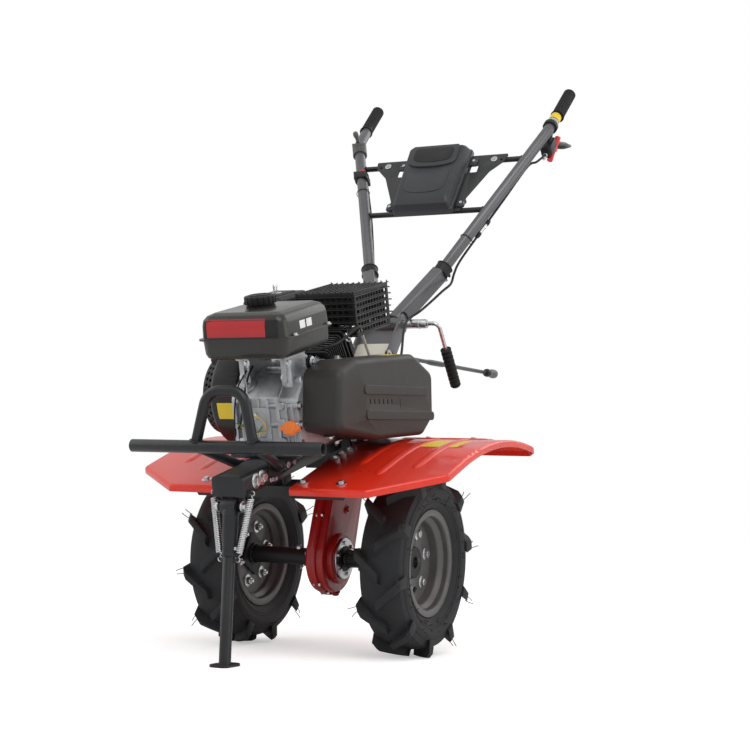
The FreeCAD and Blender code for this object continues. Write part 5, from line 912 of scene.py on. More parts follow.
# ------------------------------------------------------------------ studio
@dataclass(frozen=True)
class Studio:
    """The camera, the pale floor and the soft lights."""

    azimuth: float = 26.542
    elevation: float = 9.542
    roll: float = -5.016
    distance: float = 3313.0
    aim_right: float = 100.3
    aim_up: float = 406.3
    lens: float = 71.5
    sensor: float = 36.0
    world_level: float = 0.62
    floor_half: float = 9.0
    glossy_share: float = 0.3
    floor_glow: float = 0.42
    panels: tuple[tuple[str, Point, float, float], ...] = (
        ("key", (2.2, 1.4, 2.6), 2.4, 46.0), ("fill", (1.4, -2.8, 1.3), 2.6, 16.0),
        ("back", (-2.6, 1.2, 2.0), 2.0, 18.0), ("side", (-0.2, 3.0, 0.9), 2.2, 16.0))

    def set_up(self) -> None:
        """Create everything that isn't part of the object."""
        self._camera()
        self._world()
        self._floor()
        self._lights()
        bpy.context.scene.view_settings.view_transform = "Standard"

    def _camera(self) -> None:
        """Create the camera on its ray towards the axle and lift it to its aim."""
        az, el, roll = (math.radians(a) for a in (self.azimuth, self.elevation, self.roll))
        place = Vector((math.cos(el) * math.cos(az), math.cos(el) * math.sin(az),
                        math.sin(el))) * self.distance
        look = -place.normalized()
        right = look.cross(UPWARD).normalized()
        up = right.cross(look)
        right_rolled = right * math.cos(roll) + up * math.sin(roll)
        up_rolled = up * math.cos(roll) - right * math.sin(roll)
        place = place + right_rolled * self.aim_right + up_rolled * self.aim_up
        turn = STANCE.matrix.to_3x3().normalized()
        columns = [turn @ right_rolled, turn @ up_rolled, turn @ -look]
        matrix = Matrix(columns).transposed().to_4x4()
        matrix.translation = STANCE.metres(place)
        data = bpy.data.cameras.new("studio_camera")
        data.lens = self.lens
        data.sensor_width = self.sensor
        data.clip_end = 50.0
        camera = add_to_scene("studio_camera", data)
        camera.matrix_world = matrix
        bpy.context.scene.camera = camera

    def _world(self) -> None:
        """Light the scene evenly and show white behind it."""
        world = bpy.data.worlds.new("studio_world")
        world.use_nodes = True
        tree = world.node_tree
        ground = tree.nodes["Background"]
        ground.inputs["Color"].default_value = (1.0, 1.0, 1.0, 1.0)
        path = tree.nodes.new("ShaderNodeLightPath")
        seen = maths(tree, "MAXIMUM", path.outputs["Is Camera Ray"],
                     maths(tree, "MULTIPLY", path.outputs["Is Glossy Ray"], self.glossy_share))
        strength = maths(tree, "MULTIPLY_ADD", seen, 1.0 - self.world_level, self.world_level)
        tree.links.new(strength, ground.inputs["Strength"])
        bpy.context.scene.world = world

    def _floor(self) -> None:
        """Lay the pale floor that keeps the object's shadow."""
        half = self.floor_half
        data = bpy.data.meshes.new("studio_floor")
        corners = [(-half, -half, 0), (half, -half, 0), (half, half, 0), (-half, half, 0)]
        data.from_pydata(corners, [], [(0, 1, 2, 3)])
        material = bpy.data.materials.new("studio_floor")
        material.use_nodes = True
        tree = material.node_tree
        shader = tree.nodes["Principled BSDF"]
        shader.inputs["Base Color"].default_value = (0.93, 0.93, 0.93, 1.0)
        shader.inputs["Roughness"].default_value = 0.9
        shader.inputs["Specular IOR Level"].default_value = 0.0
        shader.inputs["Emission Color"].default_value = (1.0, 1.0, 1.0, 1.0)
        path = tree.nodes.new("ShaderNodeLightPath")
        glow = maths(tree, "MULTIPLY", path.outputs["Is Camera Ray"], self.floor_glow)
        tree.links.new(glow, shader.inputs["Emission Strength"])
        data.materials.append(material)
        floor = add_to_scene("studio_floor", data)
        floor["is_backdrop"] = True

    def _lights(self) -> None:
        """Hang the soft key, the fill, the back and the side panel."""
        low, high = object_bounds()
        middle = (Vector(low) + Vector(high)) / 2
        for name, offset, size, power in self.panels:
            self._panel(name, middle + Vector(offset), middle, size, power)

    @staticmethod
    def _panel(name: str, place: Vector, target: Vector, size: float, power: float) -> None:
        """Hang one square light panel.

        Args:
            name: The panel's name.
            place: Where it hangs.
            target: What it faces.
            size: Its side, in metres.
            power: Its power, in watts.
        """
        data = bpy.data.lights.new("light_" + name, "AREA")
        data.size = size
        data.energy = power
        light = add_to_scene("light_" + name, data)
        light.location = place
        light.rotation_euler = (target - place).to_track_quat("-Z", "Y").to_euler()


# ------------------------------------------------------------------ surfaces and sides
class Surface:
    """Finds places on a CAD node's faces, in level millimetres."""

    SINK = 0.6
    RIB_PROFILE = ((-0.5, -0.25), (-0.36, 0.55), (-0.16, 0.95), (0.16, 0.95), (0.36, 0.55),
                   (0.5, -0.25))
    RIB_ROOT = 0.8

    def __init__(self, node: str) -> None:
        """Read the node's faces.

        Args:
            node: The CAD node's name.
        """
        self.node = node
        back = STANCE.matrix.inverted()
        data = frame["nodes"][node].data
        corners = [back @ vertex.co for vertex in data.vertices]
        self.tree = BVHTree.FromPolygons(corners, [tuple(f.vertices) for f in data.polygons])

    def seat(self, start: Sequence[float], toward: Sequence[float]) -> Vector:
        """Follow a ray to the node.

        Args:
            start: Where the ray starts.
            toward: The ray's direction.

        Returns:
            The place where it first meets the node.

        Raises:
            ValueError: The ray passes the node by.
        """
        spot = self.tree.ray_cast(Vector(start), Vector(toward).normalized())[0]
        if spot is None:
            raise ValueError(f"{self.node} isn't met from {tuple(start)}")
        return spot

    def plate(self, draft: Draft, corner: Point, across: Point, up: Point, toward: Point,
              cells: tuple[int, int], lift: float) -> None:
        """Lay a thin rectangular plate that follows the surface.

        Args:
            draft: The draft that takes the plate.
            corner: One corner, in front of the surface.
            across: The vector along its first side.
            up: The vector along its second side.
            toward: The direction of the surface.
            cells: How many cells lie along each side.
            lift: How far it stands proud.
        """
        ahead = Vector(toward).normalized()
        rings = []
        for i in range(cells[0] + 1):
            top, low = [], []
            for j in range(cells[1] + 1):
                start = (Vector(corner) + Vector(across) * (i / cells[0])
                         + Vector(up) * (j / cells[1]))
                spot = self.seat(start, ahead)
                top.append(spot - ahead * lift)
                low.append(spot + ahead * self.SINK)
            rings.append(top + low[::-1])
        draft.skin(rings)

    def rib(self, draft: Draft, line: Sequence[Point], toward: Point, width: float,
            height: float) -> None:
        """Raise a rounded rib along a line on the surface.

        Args:
            draft: The draft that takes the rib.
            line: Points in front of the surface, from end to end.
            toward: The direction of the surface.
            width: The rib's width.
            height: How far it stands proud.
        """
        ahead = Vector(toward).normalized()
        run = (Vector(line[-1]) - Vector(line[0])).normalized()
        across = ahead.cross(run).normalized()
        rings = []
        last = len(line) - 1
        for index, point in enumerate(line):
            taper = min(1.0, 0.02 + 0.9 * min(index, last - index))
            ring = []
            for aside, rise in self.RIB_PROFILE:
                start = Vector(point) + across * (aside * width * (0.45 + 0.55 * taper))
                ring.append(self.seat(start, ahead) - ahead * (rise * height * taper))
            rings.append(ring + [ring[-1] + ahead * self.RIB_ROOT, ring[0] + ahead * self.RIB_ROOT])
        draft.skin(rings)


def ring_line(centre: Point, axis: Point, radius: float, steps: int) -> list[Vector]:
    """Return a closed circle as points, the last on the first.

    Args:
        centre: The circle's centre.
        axis: Its axis.
        radius: Its radius.
        steps: How many sides it has.

    Returns:
        The points.
    """
    side, up, _ = basis(Vector(axis))
    return [Vector(centre) + (side * math.cos(t) + up * math.sin(t)) * radius
            for t in (2 * math.pi * i / steps for i in range(steps + 1))]


def straight(start: Sequence[float], end: Sequence[float], steps: int) -> list[Point]:
    """Return evenly spaced points between two ends.

    Args:
        start: The first point.
        end: The last point.
        steps: How many parts the run has.

    Returns:
        The points.
    """
    return [tuple(Vector(start).lerp(Vector(end), i / steps)) for i in range(steps + 1)]


# ------------------------------------------------------------------ wheels
@dataclass
class WheelTrim:
    """Wheel bolts, hub screws, valve stems, sidewall lines and the tyres' rubber hairs."""

    centre_y: float = 208.0
    disc_outer_y: float = 204.0
    disc_inner_y: float = 201.0
    bolt_circle_r: float = 63.0
    bolt_count: int = 6
    bolt_flats: float = 15.0
    lugs_per_side: int = 10
    first_lug: float = math.radians(157.0)
    lug_r: float = 190.0
    lug_tip_r: float = 199.0
    shoulder_y: float = 54.0
    ring_radii: tuple[float, ...] = (132.0, 138.0, 163.0)
    floor_clear: float = 24.0
    wall_reach: float = 90.0
    hub_bolt_y: float = 76.0
    valve_turn: float = -0.86
    valve_r: float = 89.0
    valve_y: float = 213.0
    wall_hairs: int = 54
    lug_hair_r: float = 0.85
    wall_hair_r: float = 0.75

    def build(self) -> None:
        """Build the trim of both wheels."""
        draw = random.Random(41)
        for side in Side:
            self._bolts(side)
            self._hub_screws(side)
            self._valve(side)
            self._sidewall(side)
            self._hairs(side, draw)

    def _bolts(self, side: Side) -> None:
        """Bolt the rim to its hub, heads outside and nuts inside.

        Args:
            side: Which side of the machine.
        """
        draft = Draft()
        for index in range(self.bolt_count):
            turn = 2 * math.pi * index / self.bolt_count
            x = self.bolt_circle_r * math.cos(turn)
            z = self.bolt_circle_r * math.sin(turn)
            draft.bolt((x, side * self.disc_outer_y, z), (0, side, 0), self.bolt_flats, 7.0,
                       0.95, turn=index * 0.7)
            draft.bolt((x, side * self.disc_inner_y, z), (0, -side, 0), self.bolt_flats, 8.0,
                       0.95, thread=6.0, turn=index * 0.5)
        draft.build("wheel_bolts_" + side.word, ZINC, Body.WHEELS)

    def _hub_screws(self, side: Side) -> None:
        """Pin the hub tube to the shaft with a cross bolt and dress its collar.

        Args:
            side: Which side of the machine.
        """
        draft = Draft()
        draft.bolt((0, side * self.hub_bolt_y, 18.6), (0, 0, 1), 13.0, 6.0, 0.0)
        draft.bolt((0, side * self.hub_bolt_y, -18.6), (0, 0, -1), 13.0, 7.0, 0.0, thread=4.0)
        draft.build("hub_cross_bolt_" + side.word, ZINC, Body.WHEELS)
        collar = Draft()
        for place, radius in ((47.5, 21.5), (192.0, 24.5)):
            collar.tube(ring_line((0, side * place, 0), (0, 1, 0), radius - 1.6, 40), 2.2, 8)
        collar.build("hub_weld_rings_" + side.word, GEARBOX_BLACK, Body.WHEELS)

    def _valve(self, side: Side) -> None:
        """Stand the valve stem in the rim's well.

        Args:
            side: Which side of the machine.
        """
        draft = Draft()
        away = Vector((math.cos(self.valve_turn), 0, math.sin(self.valve_turn)))
        foot = away * self.valve_r + Vector((0, side * self.valve_y, 0))
        inward = (-away + Vector((0, side * 0.30, 0))).normalized()
        draft.lathe(foot, inward, [(7.5, -2), (7.0, 2), (5.2, 5), (4.4, 8), (4.2, 20), (3.4, 22),
                                   (3.4, 24), (4.4, 24.4), (4.4, 32), (3.6, 33.5)], 16)
        draft.build("valve_stem_" + side.word, BLACK_PLASTIC, Body.WHEELS)

    def _sidewall(self, side: Side) -> None:
        """Raise the moulded lines on both walls of a tyre.

        Args:
            side: Which side of the machine.
        """
        wall = Surface("tyre_" + side.word)
        draft = Draft()
        for face in (-1, 1):
            for radius in self.ring_radii:
                start = self._clear_spot(radius, side * self.centre_y + face * self.wall_reach)
                depth = wall.seat(start, (0, -face, 0)).y
                draft.tube(ring_line((0, depth, 0), (0, 1, 0), radius, 72), 1.1, 6)
        draft.build("sidewall_lines_" + side.word, TYRE_RUBBER, Body.WHEELS)

    def _clear_spot(self, radius: float, y: float) -> Point:
        """Return a place beside the tyre, in line with a gap between two lugs.

        Args:
            radius: The distance from the axle.
            y: The place across the machine.

        Returns:
            The place.
        """
        turn = self.first_lug + math.pi / self.lugs_per_side * 0.5
        return (radius * math.sin(turn), y, radius * math.cos(turn))

    def _hairs(self, side: Side, draw: random.Random) -> None:
        """Leave the moulding hairs on the lugs' shoulders and on the outer wall.

        Args:
            side: Which side of the machine.
            draw: The source of chance.
        """
        wall = Surface("tyre_" + side.word)
        draft = Draft()
        down = (STANCE.matrix.to_3x3().inverted() @ -UPWARD).normalized()
        for row in (1, -1):
            offset = 0.0 if row == 1 else 0.5
            for index in range(self.lugs_per_side):
                turn = self.first_lug + 2 * math.pi * (index + offset) / self.lugs_per_side
                out = Vector((math.sin(turn), 0, math.cos(turn)))
                if out.dot(down) * self.lug_tip_r > self.lug_tip_r - self.floor_clear:
                    continue
                tangent = Vector((math.cos(turn), 0, -math.sin(turn)))
                for shift in (-6.0, 6.0):
                    y = side * self.centre_y + side * row * (self.shoulder_y - 4.0)
                    foot = out * (self.lug_r + 2.0) + tangent * shift + Vector((0, y, 0))
                    self._hair(draft, foot, out + Vector((0, side * row * 0.45, 0)),
                               draw.uniform(13, 24), self.lug_hair_r, draw)
        for _ in range(self.wall_hairs):
            turn = draw.uniform(0, 2 * math.pi)
            radius = draw.uniform(124, 158)
            out = Vector((math.sin(turn), 0, math.cos(turn)))
            start = out * radius + Vector((0, side * (self.centre_y + self.wall_reach), 0))
            foot = wall.seat(start, (0, -side, 0))
            if abs(foot.y) > self.centre_y + self.shoulder_y:
                continue
            lean = Vector((draw.uniform(-0.9, 0.9), side * 0.7, draw.uniform(-0.9, 0.9)))
            self._hair(draft, foot, lean, draw.uniform(5, 9), self.wall_hair_r, draw)
        draft.build("moulding_hairs_" + side.word, TYRE_RUBBER, Body.WHEELS)

    @staticmethod
    def _hair(draft: Draft, foot: Vector, lean: Vector, length: float, radius: float,
              draw: random.Random) -> None:
        """Add one bent rubber hair.

        Args:
            draft: The draft that takes it.
            foot: Its root.
            lean: Its direction.
            length: Its length.
            radius: Its radius.
            draw: The source of chance.
        """
        lean = lean.normalized()
        bend = Vector([draw.uniform(-0.25, 0.25) for _ in range(3)])
        points = [foot - lean * 2.0]
        for share in (0.35, 0.7, 1.0):
            points.append(foot + lean * length * share + bend * length * share * share)
        draft.tube(points, radius, 5)


# ------------------------------------------------------------------ front stand
@dataclass
class FrontStandTrim:
    """The stand's tension springs, its pivot bolt, and the ring where the leg slides out."""

    spring_top: Point = (369.0, 45.0, 249.0)
    spring_low: Point = (409.3, 19.4, 119.9)
    pivot: Point = (381.0, 0.0, 222.0)
    leg_along: Point = (0.2672, 0.0, -0.9636)
    sleeve_length: float = 96.0
    coil_r: float = 6.2
    wire_r: float = 1.25
    hook: float = 14.0

    def build(self) -> None:
        """Build both springs and the stand's fittings."""
        pieces = [self._spring(side) for side in Side]
        for piece in pieces:
            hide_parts("stand_springs")
        self._fittings()

    def _spring(self, side: Side) -> Piece:
        """Wind one tension spring with its two hooks.

        Args:
            side: Which side of the machine.

        Returns:
            The spring.
        """
        top = Vector(self.spring_top)
        low = Vector(self.spring_low)
        top.y *= side
        low.y *= side
        along = (low - top).normalized()
        start, end = top + along * self.hook, low - along * self.hook
        draft = Draft()
        draft.coil(start, end, self.coil_r, self.wire_r, 31, 6)
        across = basis(along)[0]
        for foot, tip, way in ((start, top, -1), (end, low, 1)):
            centre = tip - along * way * 2.5
            hook = [foot + across * self.coil_r, foot + across * 3 + along * way * 2.5,
                    centre - along * way * 3.5]
            for step in range(9):
                turn = math.pi * (step / 8) * 1.45 - math.pi * 0.25
                hook.append(centre + (across * math.cos(turn) * 5.0)
                            + along * way * math.sin(turn) * 5.0)
            draft.tube(smooth_line(hook, 2), self.wire_r, 6)
        bend = Bend(Body.CHASSIS, Body.STAND, tuple(top), tuple(low))
        return draft.build("stand_spring_" + side.word, ZINC, angle=60, bend=bend)

    def _fittings(self) -> None:
        """Build the pivot's bolt heads, the slide ring with its screw and the foot's weld."""
        draft = Draft()
        for side in Side:
            draft.bolt((self.pivot[0], side * 26.5, self.pivot[2]), (0, side, 0), 13.0, 6.5, 0.85,
                       thread=5.0 if side < 0 else 0.0)
        draft.build("stand_pivot_bolt", ZINC)
        along = Vector(self.leg_along)
        foot = Vector(self.pivot) + along * self.sleeve_length
        ring = Draft()
        ring.lathe(foot, along, [(12.4, -5), (14.6, -4), (15.0, -1.4), (14.2, 0.6), (12.3, 0.9)],
                   32)
        ring.lathe(foot - along * 96, along, [(15.0, 3), (17.6, 9), (17.8, 14), (16.0, 17)], 32)
        ring.build("stand_slide_ring", FRAME_BLACK, Body.STAND)
        screw = Draft()
        screw.bolt(foot - along * 14 + Vector((0, 13.2, 0)), (0, 1, 0), 10.0, 5.0, 0.0)
        screw.build("stand_height_screw", ZINC, Body.STAND)


# ------------------------------------------------------------------ frame and bumper
@dataclass
class FrameTrim:
    """Bolts, weld beads, gussets and end rings of the black front frame."""

    channel_half_y: float = 36.0
    bumper: Point = (381.0, 0.0, 342.0)
    bumper_half_y: float = 219.0
    side_bolts: tuple[Point, ...] = (
        (338.0, 264.0, 17.0), (313.0, 265.0, 17.0), (213.0, 266.0, 13.0), (186.0, 267.0, 13.0))
    small_bolts: tuple[Pair, ...] = ((262.0, 250.0), (276.0, 251.5))
    gusset_thick: float = 3.0
    gusset_outline: tuple[Pair, ...] = (
        (170, 258), (176, 280), (214, 283), (284, 280), (292, 262), (268, 246), (228, 252))

    def build(self) -> None:
        """Build the frame's trim."""
        self._bolts()
        self._gussets()
        self._welds()
        self._bed_bolts()

    def _bolts(self) -> None:
        """Bolt the channel's sides."""
        draft = Draft()
        for side in Side:
            y = side * self.channel_half_y
            for x, z, flats in self.side_bolts:
                draft.bolt((x, y, z), (0, side, 0), flats, flats * 0.42, 0.9, turn=x * 0.01)
            for x, z in self.small_bolts:
                draft.bolt((x, y, z), (0, side, 0), 8.0, 4.0, 0.9)
        draft.build("channel_bolts", ZINC)

    def _gussets(self) -> None:
        """Weld a shaped gusset to each side of the channel, under the strut's foot."""
        for side in Side:
            draft = Draft()
            draft.slab((0, side * self.channel_half_y, 0), AHEAD, UPWARD, self.gusset_outline,
                       self.gusset_thick * -side)
            draft.build("channel_gusset_" + side.word, FRAME_BLACK, bevel=0.6)

    def _welds(self) -> None:
        """Run weld beads round the hoop's feet, the struts' feet and the nose plate."""
        draft = Draft()
        x, _, z = self.bumper
        for side in Side:
            draft.tube(self._bead((x - 1.0, side * 66.0, z + 11.5), (-0.2, -side * 0.25, 1), 11.6,
                                  side), 2.0, 6)
            draft.tube(self._bead((x - 7.5, side * 61.0, z - 4.5), (-0.85, -side * 0.12, -0.5),
                                  10.4, side + 3), 1.9, 6)
            draft.tube(self._bead((256.0, side * 46.0, 273.5), (0.87, side * 0.1, 0.47), 10.6,
                                  side + 5), 2.0, 6)
        draft.build("frame_weld_beads", FRAME_BLACK)
        plug = Draft()
        for side in Side:
            plug.tube(ring_line((x, side * (self.bumper_half_y - 0.8), z), (0, 1, 0), 11.9, 32),
                      1.15, 6)
        plug.build("bumper_end_rings", FRAME_BLACK)

    @staticmethod
    def _bead(centre: Point, axis: Point, radius: float, seed: int) -> list[Vector]:
        """Return a weld bead's wavering circle.

        Args:
            centre: Its centre.
            axis: Its axis.
            radius: Its radius.
            seed: The seed of its wander.

        Returns:
            The closed line.
        """
        draw = random.Random(seed + 90)
        line = ring_line(centre, axis, radius, 40)
        heart = Vector(centre)
        for index, point in enumerate(line[:-1]):
            line[index] = heart + (point - heart) * (1 + draw.uniform(-0.03, 0.03))
        line[-1] = line[0]
        return line

    @staticmethod
    def _bed_bolts() -> None:
        """Bolt the engine's feet to the bed plate and the bed to the channel."""
        draft = Draft()
        for x in (30.0, 216.0):
            for y in (-60.0, 62.0):
                draft.bolt((x, y, 301.0), (0, 0, 1), 13.0, 7.0, 1.0, thread=7.0)
        for y in (-74.0, 75.0):
            for x in (60.0, 150.0):
                draft.bolt((x, y, 284.0), (0, 0, -1), 13.0, 7.0, 1.0, thread=5.0)
        draft.build("engine_bed_bolts", ZINC)


# ------------------------------------------------------------------ chain case and gearbox
@dataclass
class TransmissionTrim:
    """Seam bolts, the drain plug, shaft cap screws and gearbox cover bolts."""

    seam_r: float = 79.0
    seam_y: float = 4.6
    seam_turns: tuple[int, ...] = (-150, -118, -62, -30)
    cap_y: float = 39.0
    cap_screw_r: float = 35.5
    cap_screws: int = 6
    cover_bolts: tuple[Pair, ...] = (
        (-60, 206), (-128, 206), (-196, 212), (-222, 252), (-214, 300), (-140, 306), (-66, 306),
        (-50, 258))

    def build(self) -> None:
        """Build the trim of the chain case and the gearbox."""
        self._case_bolts()
        self._caps()
        self._gearbox()

    def _case_bolts(self) -> None:
        """Bolt the two case halves together round the seam's band."""
        zinc = Draft()
        case = Surface("chain_case")
        for turn in self.seam_turns:
            angle = math.radians(turn)
            x, z = self.seam_r * math.cos(angle), self.seam_r * math.sin(angle)
            for side in Side:
                zinc.bolt((x, side * self.seam_y, z), (0, side, 0), 8.0, 4.5, 0.0,
                          thread=2.0 if side < 0 else 0.0)
        for share in (0.35, 0.75):
            z = 60 + 130 * share
            for x_start, toward in ((140.0, -1), (-240.0, 1)):
                edge = case.seat((x_start, 0.0, z), (toward, 0, 0))
                for side in Side:
                    spot = (edge.x + toward * 4.0, side * self.seam_y, z)
                    zinc.bolt(spot, (0, side, 0), 8.0, 4.5, 0.0)
        zinc.build("chain_case_bolts", ZINC)
        plug = Draft()
        foot = case.seat((10.0, 12.0, -160.0), (0, 0, 1))
        plug.bolt(foot, (0.05, 0, -1), 14.0, 6.0, 0.75)
        level = case.seat((-60.0, 90.0, 96.0), (0, -1, 0))
        plug.bolt(level, (0, 1, 0), 12.0, 5.0, 0.9)
        plug.build("chain_case_plugs", CASE_RED, bevel=0.4)

    def _caps(self) -> None:
        """Dress the pale shaft caps with screws, a spring ring and a dark seal."""
        zinc, dark = Draft(), Draft()
        for side in Side:
            for index in range(self.cap_screws):
                turn = math.radians(60 * index + 30)
                spot = (self.cap_screw_r * math.cos(turn), side * self.cap_y,
                        self.cap_screw_r * math.sin(turn))
                zinc.bolt(spot, (0, side, 0), 8.0, 4.0, 0.0, turn=turn)
            dark.lathe((0, side * (self.cap_y - 0.4), 0), (0, side, 0),
                       [(14.5, 0), (28.0, 0), (28.4, 1.0), (27.4, 1.9), (24.2, 1.9), (23.4, 1.0),
                        (15.0, 1.0)], 40)
        zinc.build("shaft_cap_screws", ZINC)
        dark.build("shaft_seals", BLACK_PLASTIC)

    def _gearbox(self) -> None:
        """Bolt the gearbox's side covers and dress its breather."""
        shell = Surface("gearbox")
        zinc, black = Draft(), Draft()
        for side in Side:
            for x, z in self.cover_bolts:
                spot = shell.seat((x, side * 140.0, z), (0, -side, 0))
                zinc.bolt(spot, (0, side, 0), 10.0, 5.0, 0.9)
            middle = shell.seat((-130.0, side * 140.0, 258.0), (0, -side, 0))
            black.lathe(middle, (0, side, 0), [(38, -1), (38, 3), (36.5, 4.4), (22, 4.4), (20, 6.6),
                                               (8, 6.6)], 40)
        vent = shell.seat((-100.0, 30.0, 420.0), (0, 0, -1))
        black.lathe(vent, (0, 0, 1), [(6, -1), (6, 8), (9, 9), (9, 15), (7, 17)], 20)
        zinc.build("gearbox_bolts", ZINC)
        black.build("gearbox_covers", GEARBOX_BLACK, bevel=0.5)


# ------------------------------------------------------------------ fenders
@dataclass
class FenderTrim:
    """Pressed ribs, fixing bolts and the blank label of the red fenders."""

    ribs: tuple[Point, ...] = (
        (147.0, 96.0, -176.0), (213.0, 156.0, -176.0), (279.0, 112.0, -176.0))
    rib_width: float = 24.0
    rib_height: float = 3.2
    cross_ribs: tuple[float, ...] = (-214.0, -250.0)
    above: float = 420.0

    def build(self) -> None:
        """Build the trim of both fenders."""
        for side in Side:
            sheet = Surface("fender_" + side.word)
            self._ribs(side, sheet)
            self._bolts(side, sheet)
        self._label()

    def _ribs(self, side: Side, sheet: Surface) -> None:
        """Press the long ribs and the double rib across the tail.

        Args:
            side: Which side of the machine.
            sheet: The fender's surface.
        """
        draft = Draft()
        for y, front, rear in self.ribs:
            line = straight((front, side * y, self.above), (rear, side * y, self.above), 22)
            sheet.rib(draft, line, (0, 0, -1), self.rib_width, self.rib_height)
        for x in self.cross_ribs:
            line = straight((x, side * 96.0, self.above), (x, side * 318.0, self.above), 18)
            sheet.rib(draft, line, (0, 0, -1), self.rib_width * 0.7, self.rib_height)
        draft.build("fender_ribs_" + side.word, FENDER_RED, angle=50)

    def _bolts(self, side: Side, sheet: Surface) -> None:
        """Bolt the fender to the cross plate and the rear bracket.

        Args:
            side: Which side of the machine.
            sheet: The fender's surface.
        """
        draft = Draft()
        for x, y in ((214.0, 72.0), (214.0, 160.0), (-248.0, 150.0), (-248.0, 262.0)):
            spot = sheet.seat((x, side * y, self.above), (0, 0, -1))
            draft.bolt(spot, (0.09 if x > 0 else -0.25, 0, 1), 11.0, 5.0, 1.05)
        for x in (60.0, 28.0, -4.0):
            spot = sheet.seat((x, side * 70.0, self.above), (0, 0, -1))
            draft.bolt(spot, (0, 0, 1), 10.0, 5.0, 1.05)
        draft.build("fender_bolts_" + side.word, ZINC)

    def _label(self) -> None:
        """Lay the blank yellow label on the left fender."""
        sheet = Surface("fender_left")
        yellow = Draft()
        sheet.plate(yellow, (-132.0, 216.0, self.above), (88.0, 0, 0), (0, 92.0, 0),
                    (0, 0, -1), (8, 8), 0.35)
        yellow.build("fender_label", YELLOW_LABEL)


# ------------------------------------------------------------------ engine
@dataclass
class TankTrim:
    """The tank's blank plates, its cap's crown, its brackets' bolts and webs, and its hose."""

    cap: Point = (190.0, 0.0, 616.0)
    bracket_ys: Pair = (-46.0, 52.0)

    def build(self) -> None:
        """Build the tank's trim."""
        tank = Surface("fuel_tank")
        plate = Draft()
        tank.plate(plate, (360.0, -66.0, 546.0), (0, 135.0, 0), (0, 0, 36.0), (-1, 0, 0),
                   (10, 4), 0.9)
        plate.build("tank_front_plate", RED_PLATE, angle=20)
        dark = Draft()
        tank.plate(dark, (360.0, -76.0, 545.0), (0, 9.5, 0), (0, 0, 34.0), (-1, 0, 0), (4, 4), 0.5)
        tank.plate(dark, (360.0, 70.0, 545.0), (0, 27.0, 0), (0, 0, 34.0), (-1, 0, 0), (4, 4), 0.5)
        dark.build("tank_front_bands", BLACK_PLASTIC)
        stickers = Draft()
        for x in (181.0, 209.0):
            tank.plate(stickers, (x, 170.0, 551.0), (22.0, 0, 0), (0, 0, 16.0), (0, -1, 0),
                       (3, 3), 0.5)
        stickers.build("tank_side_stickers", WHITE_LABEL)
        self._cap()
        self._clips()

    def _cap(self) -> None:
        """Raise the cap's stepped top with its vent, and its crown ring."""
        draft = Draft()
        x, y, z = self.cap
        draft.lathe((x, y, z - 0.6), (0, 0, 1), [(24, 0), (24, 1.6), (22.5, 2.4), (19, 2.4),
                                                 (18, 1.2), (8, 1.2), (7.4, 2.2), (0.8, 2.6)], 40)
        draft.lathe((x, y, z - 23.6), (0, 0, 1), [(30.0, 0.4), (30.4, 2.2), (29, 3.4), (27, 3.6)],
                    40)
        draft.build("fuel_cap_crown", BLACK_PLASTIC)

    def _clips(self) -> None:
        """Bolt the seam flange to the brackets and add the fuel tap and its hose."""
        zinc, cast, black = Draft(), Draft(), Draft()
        for y in self.bracket_ys:
            zinc.bolt((204.4, y + 4.0, 478.0), (1, 0, 0), 11.0, 5.0, 1.0)
            zinc.bolt((204.4, y - 3.0, 446.0), (1, 0, 0), 10.0, 4.5, 1.0)
            cast.pad((206.0, y, 492.0), LEFT, UPWARD, (34.0, 18.0, 6.0), 5.0, 1.2)
            cast.pad((204.0, y, 462.0), LEFT, UPWARD, (8.0, 52.0, 3.0), 8.0, 1.6)
        for x in (120.0, 262.0):
            for y in (-93.0, 117.0):
                zinc.bolt((x, y * 0.985, 543.2), (0, 0, 1), 7.0, 3.4, 0.9)
        zinc.build("tank_bolts", ZINC)
        cast.build("tank_bracket_webs", CASTING, bevel=0.5)
        black.lathe((132.0, -52.0, 500.5), (0, 0, -1), [(9, 0), (9, 8), (12, 9), (12, 17), (6, 19),
                                                        (4.6, 26)], 20)
        line = smooth_line([(132, -52, 476), (126, -56, 462), (96, -74, 454), (40, -82, 458),
                            (-14, -78, 462), (-44, -70, 456)], 7)
        black.tube(line, 3.4, 9)
        black.build("fuel_hose", BLACK_PLASTIC)
        clamps = Draft()
        for a in (2, len(line) - 4):
            clamps.lathe(line[a], line[a + 1] - line[a], [(3.9, 0), (4.4, 0.6), (4.4, 3.4),
                                                          (3.9, 4)], 14)
        clamps.build("fuel_hose_clamps", ZINC)


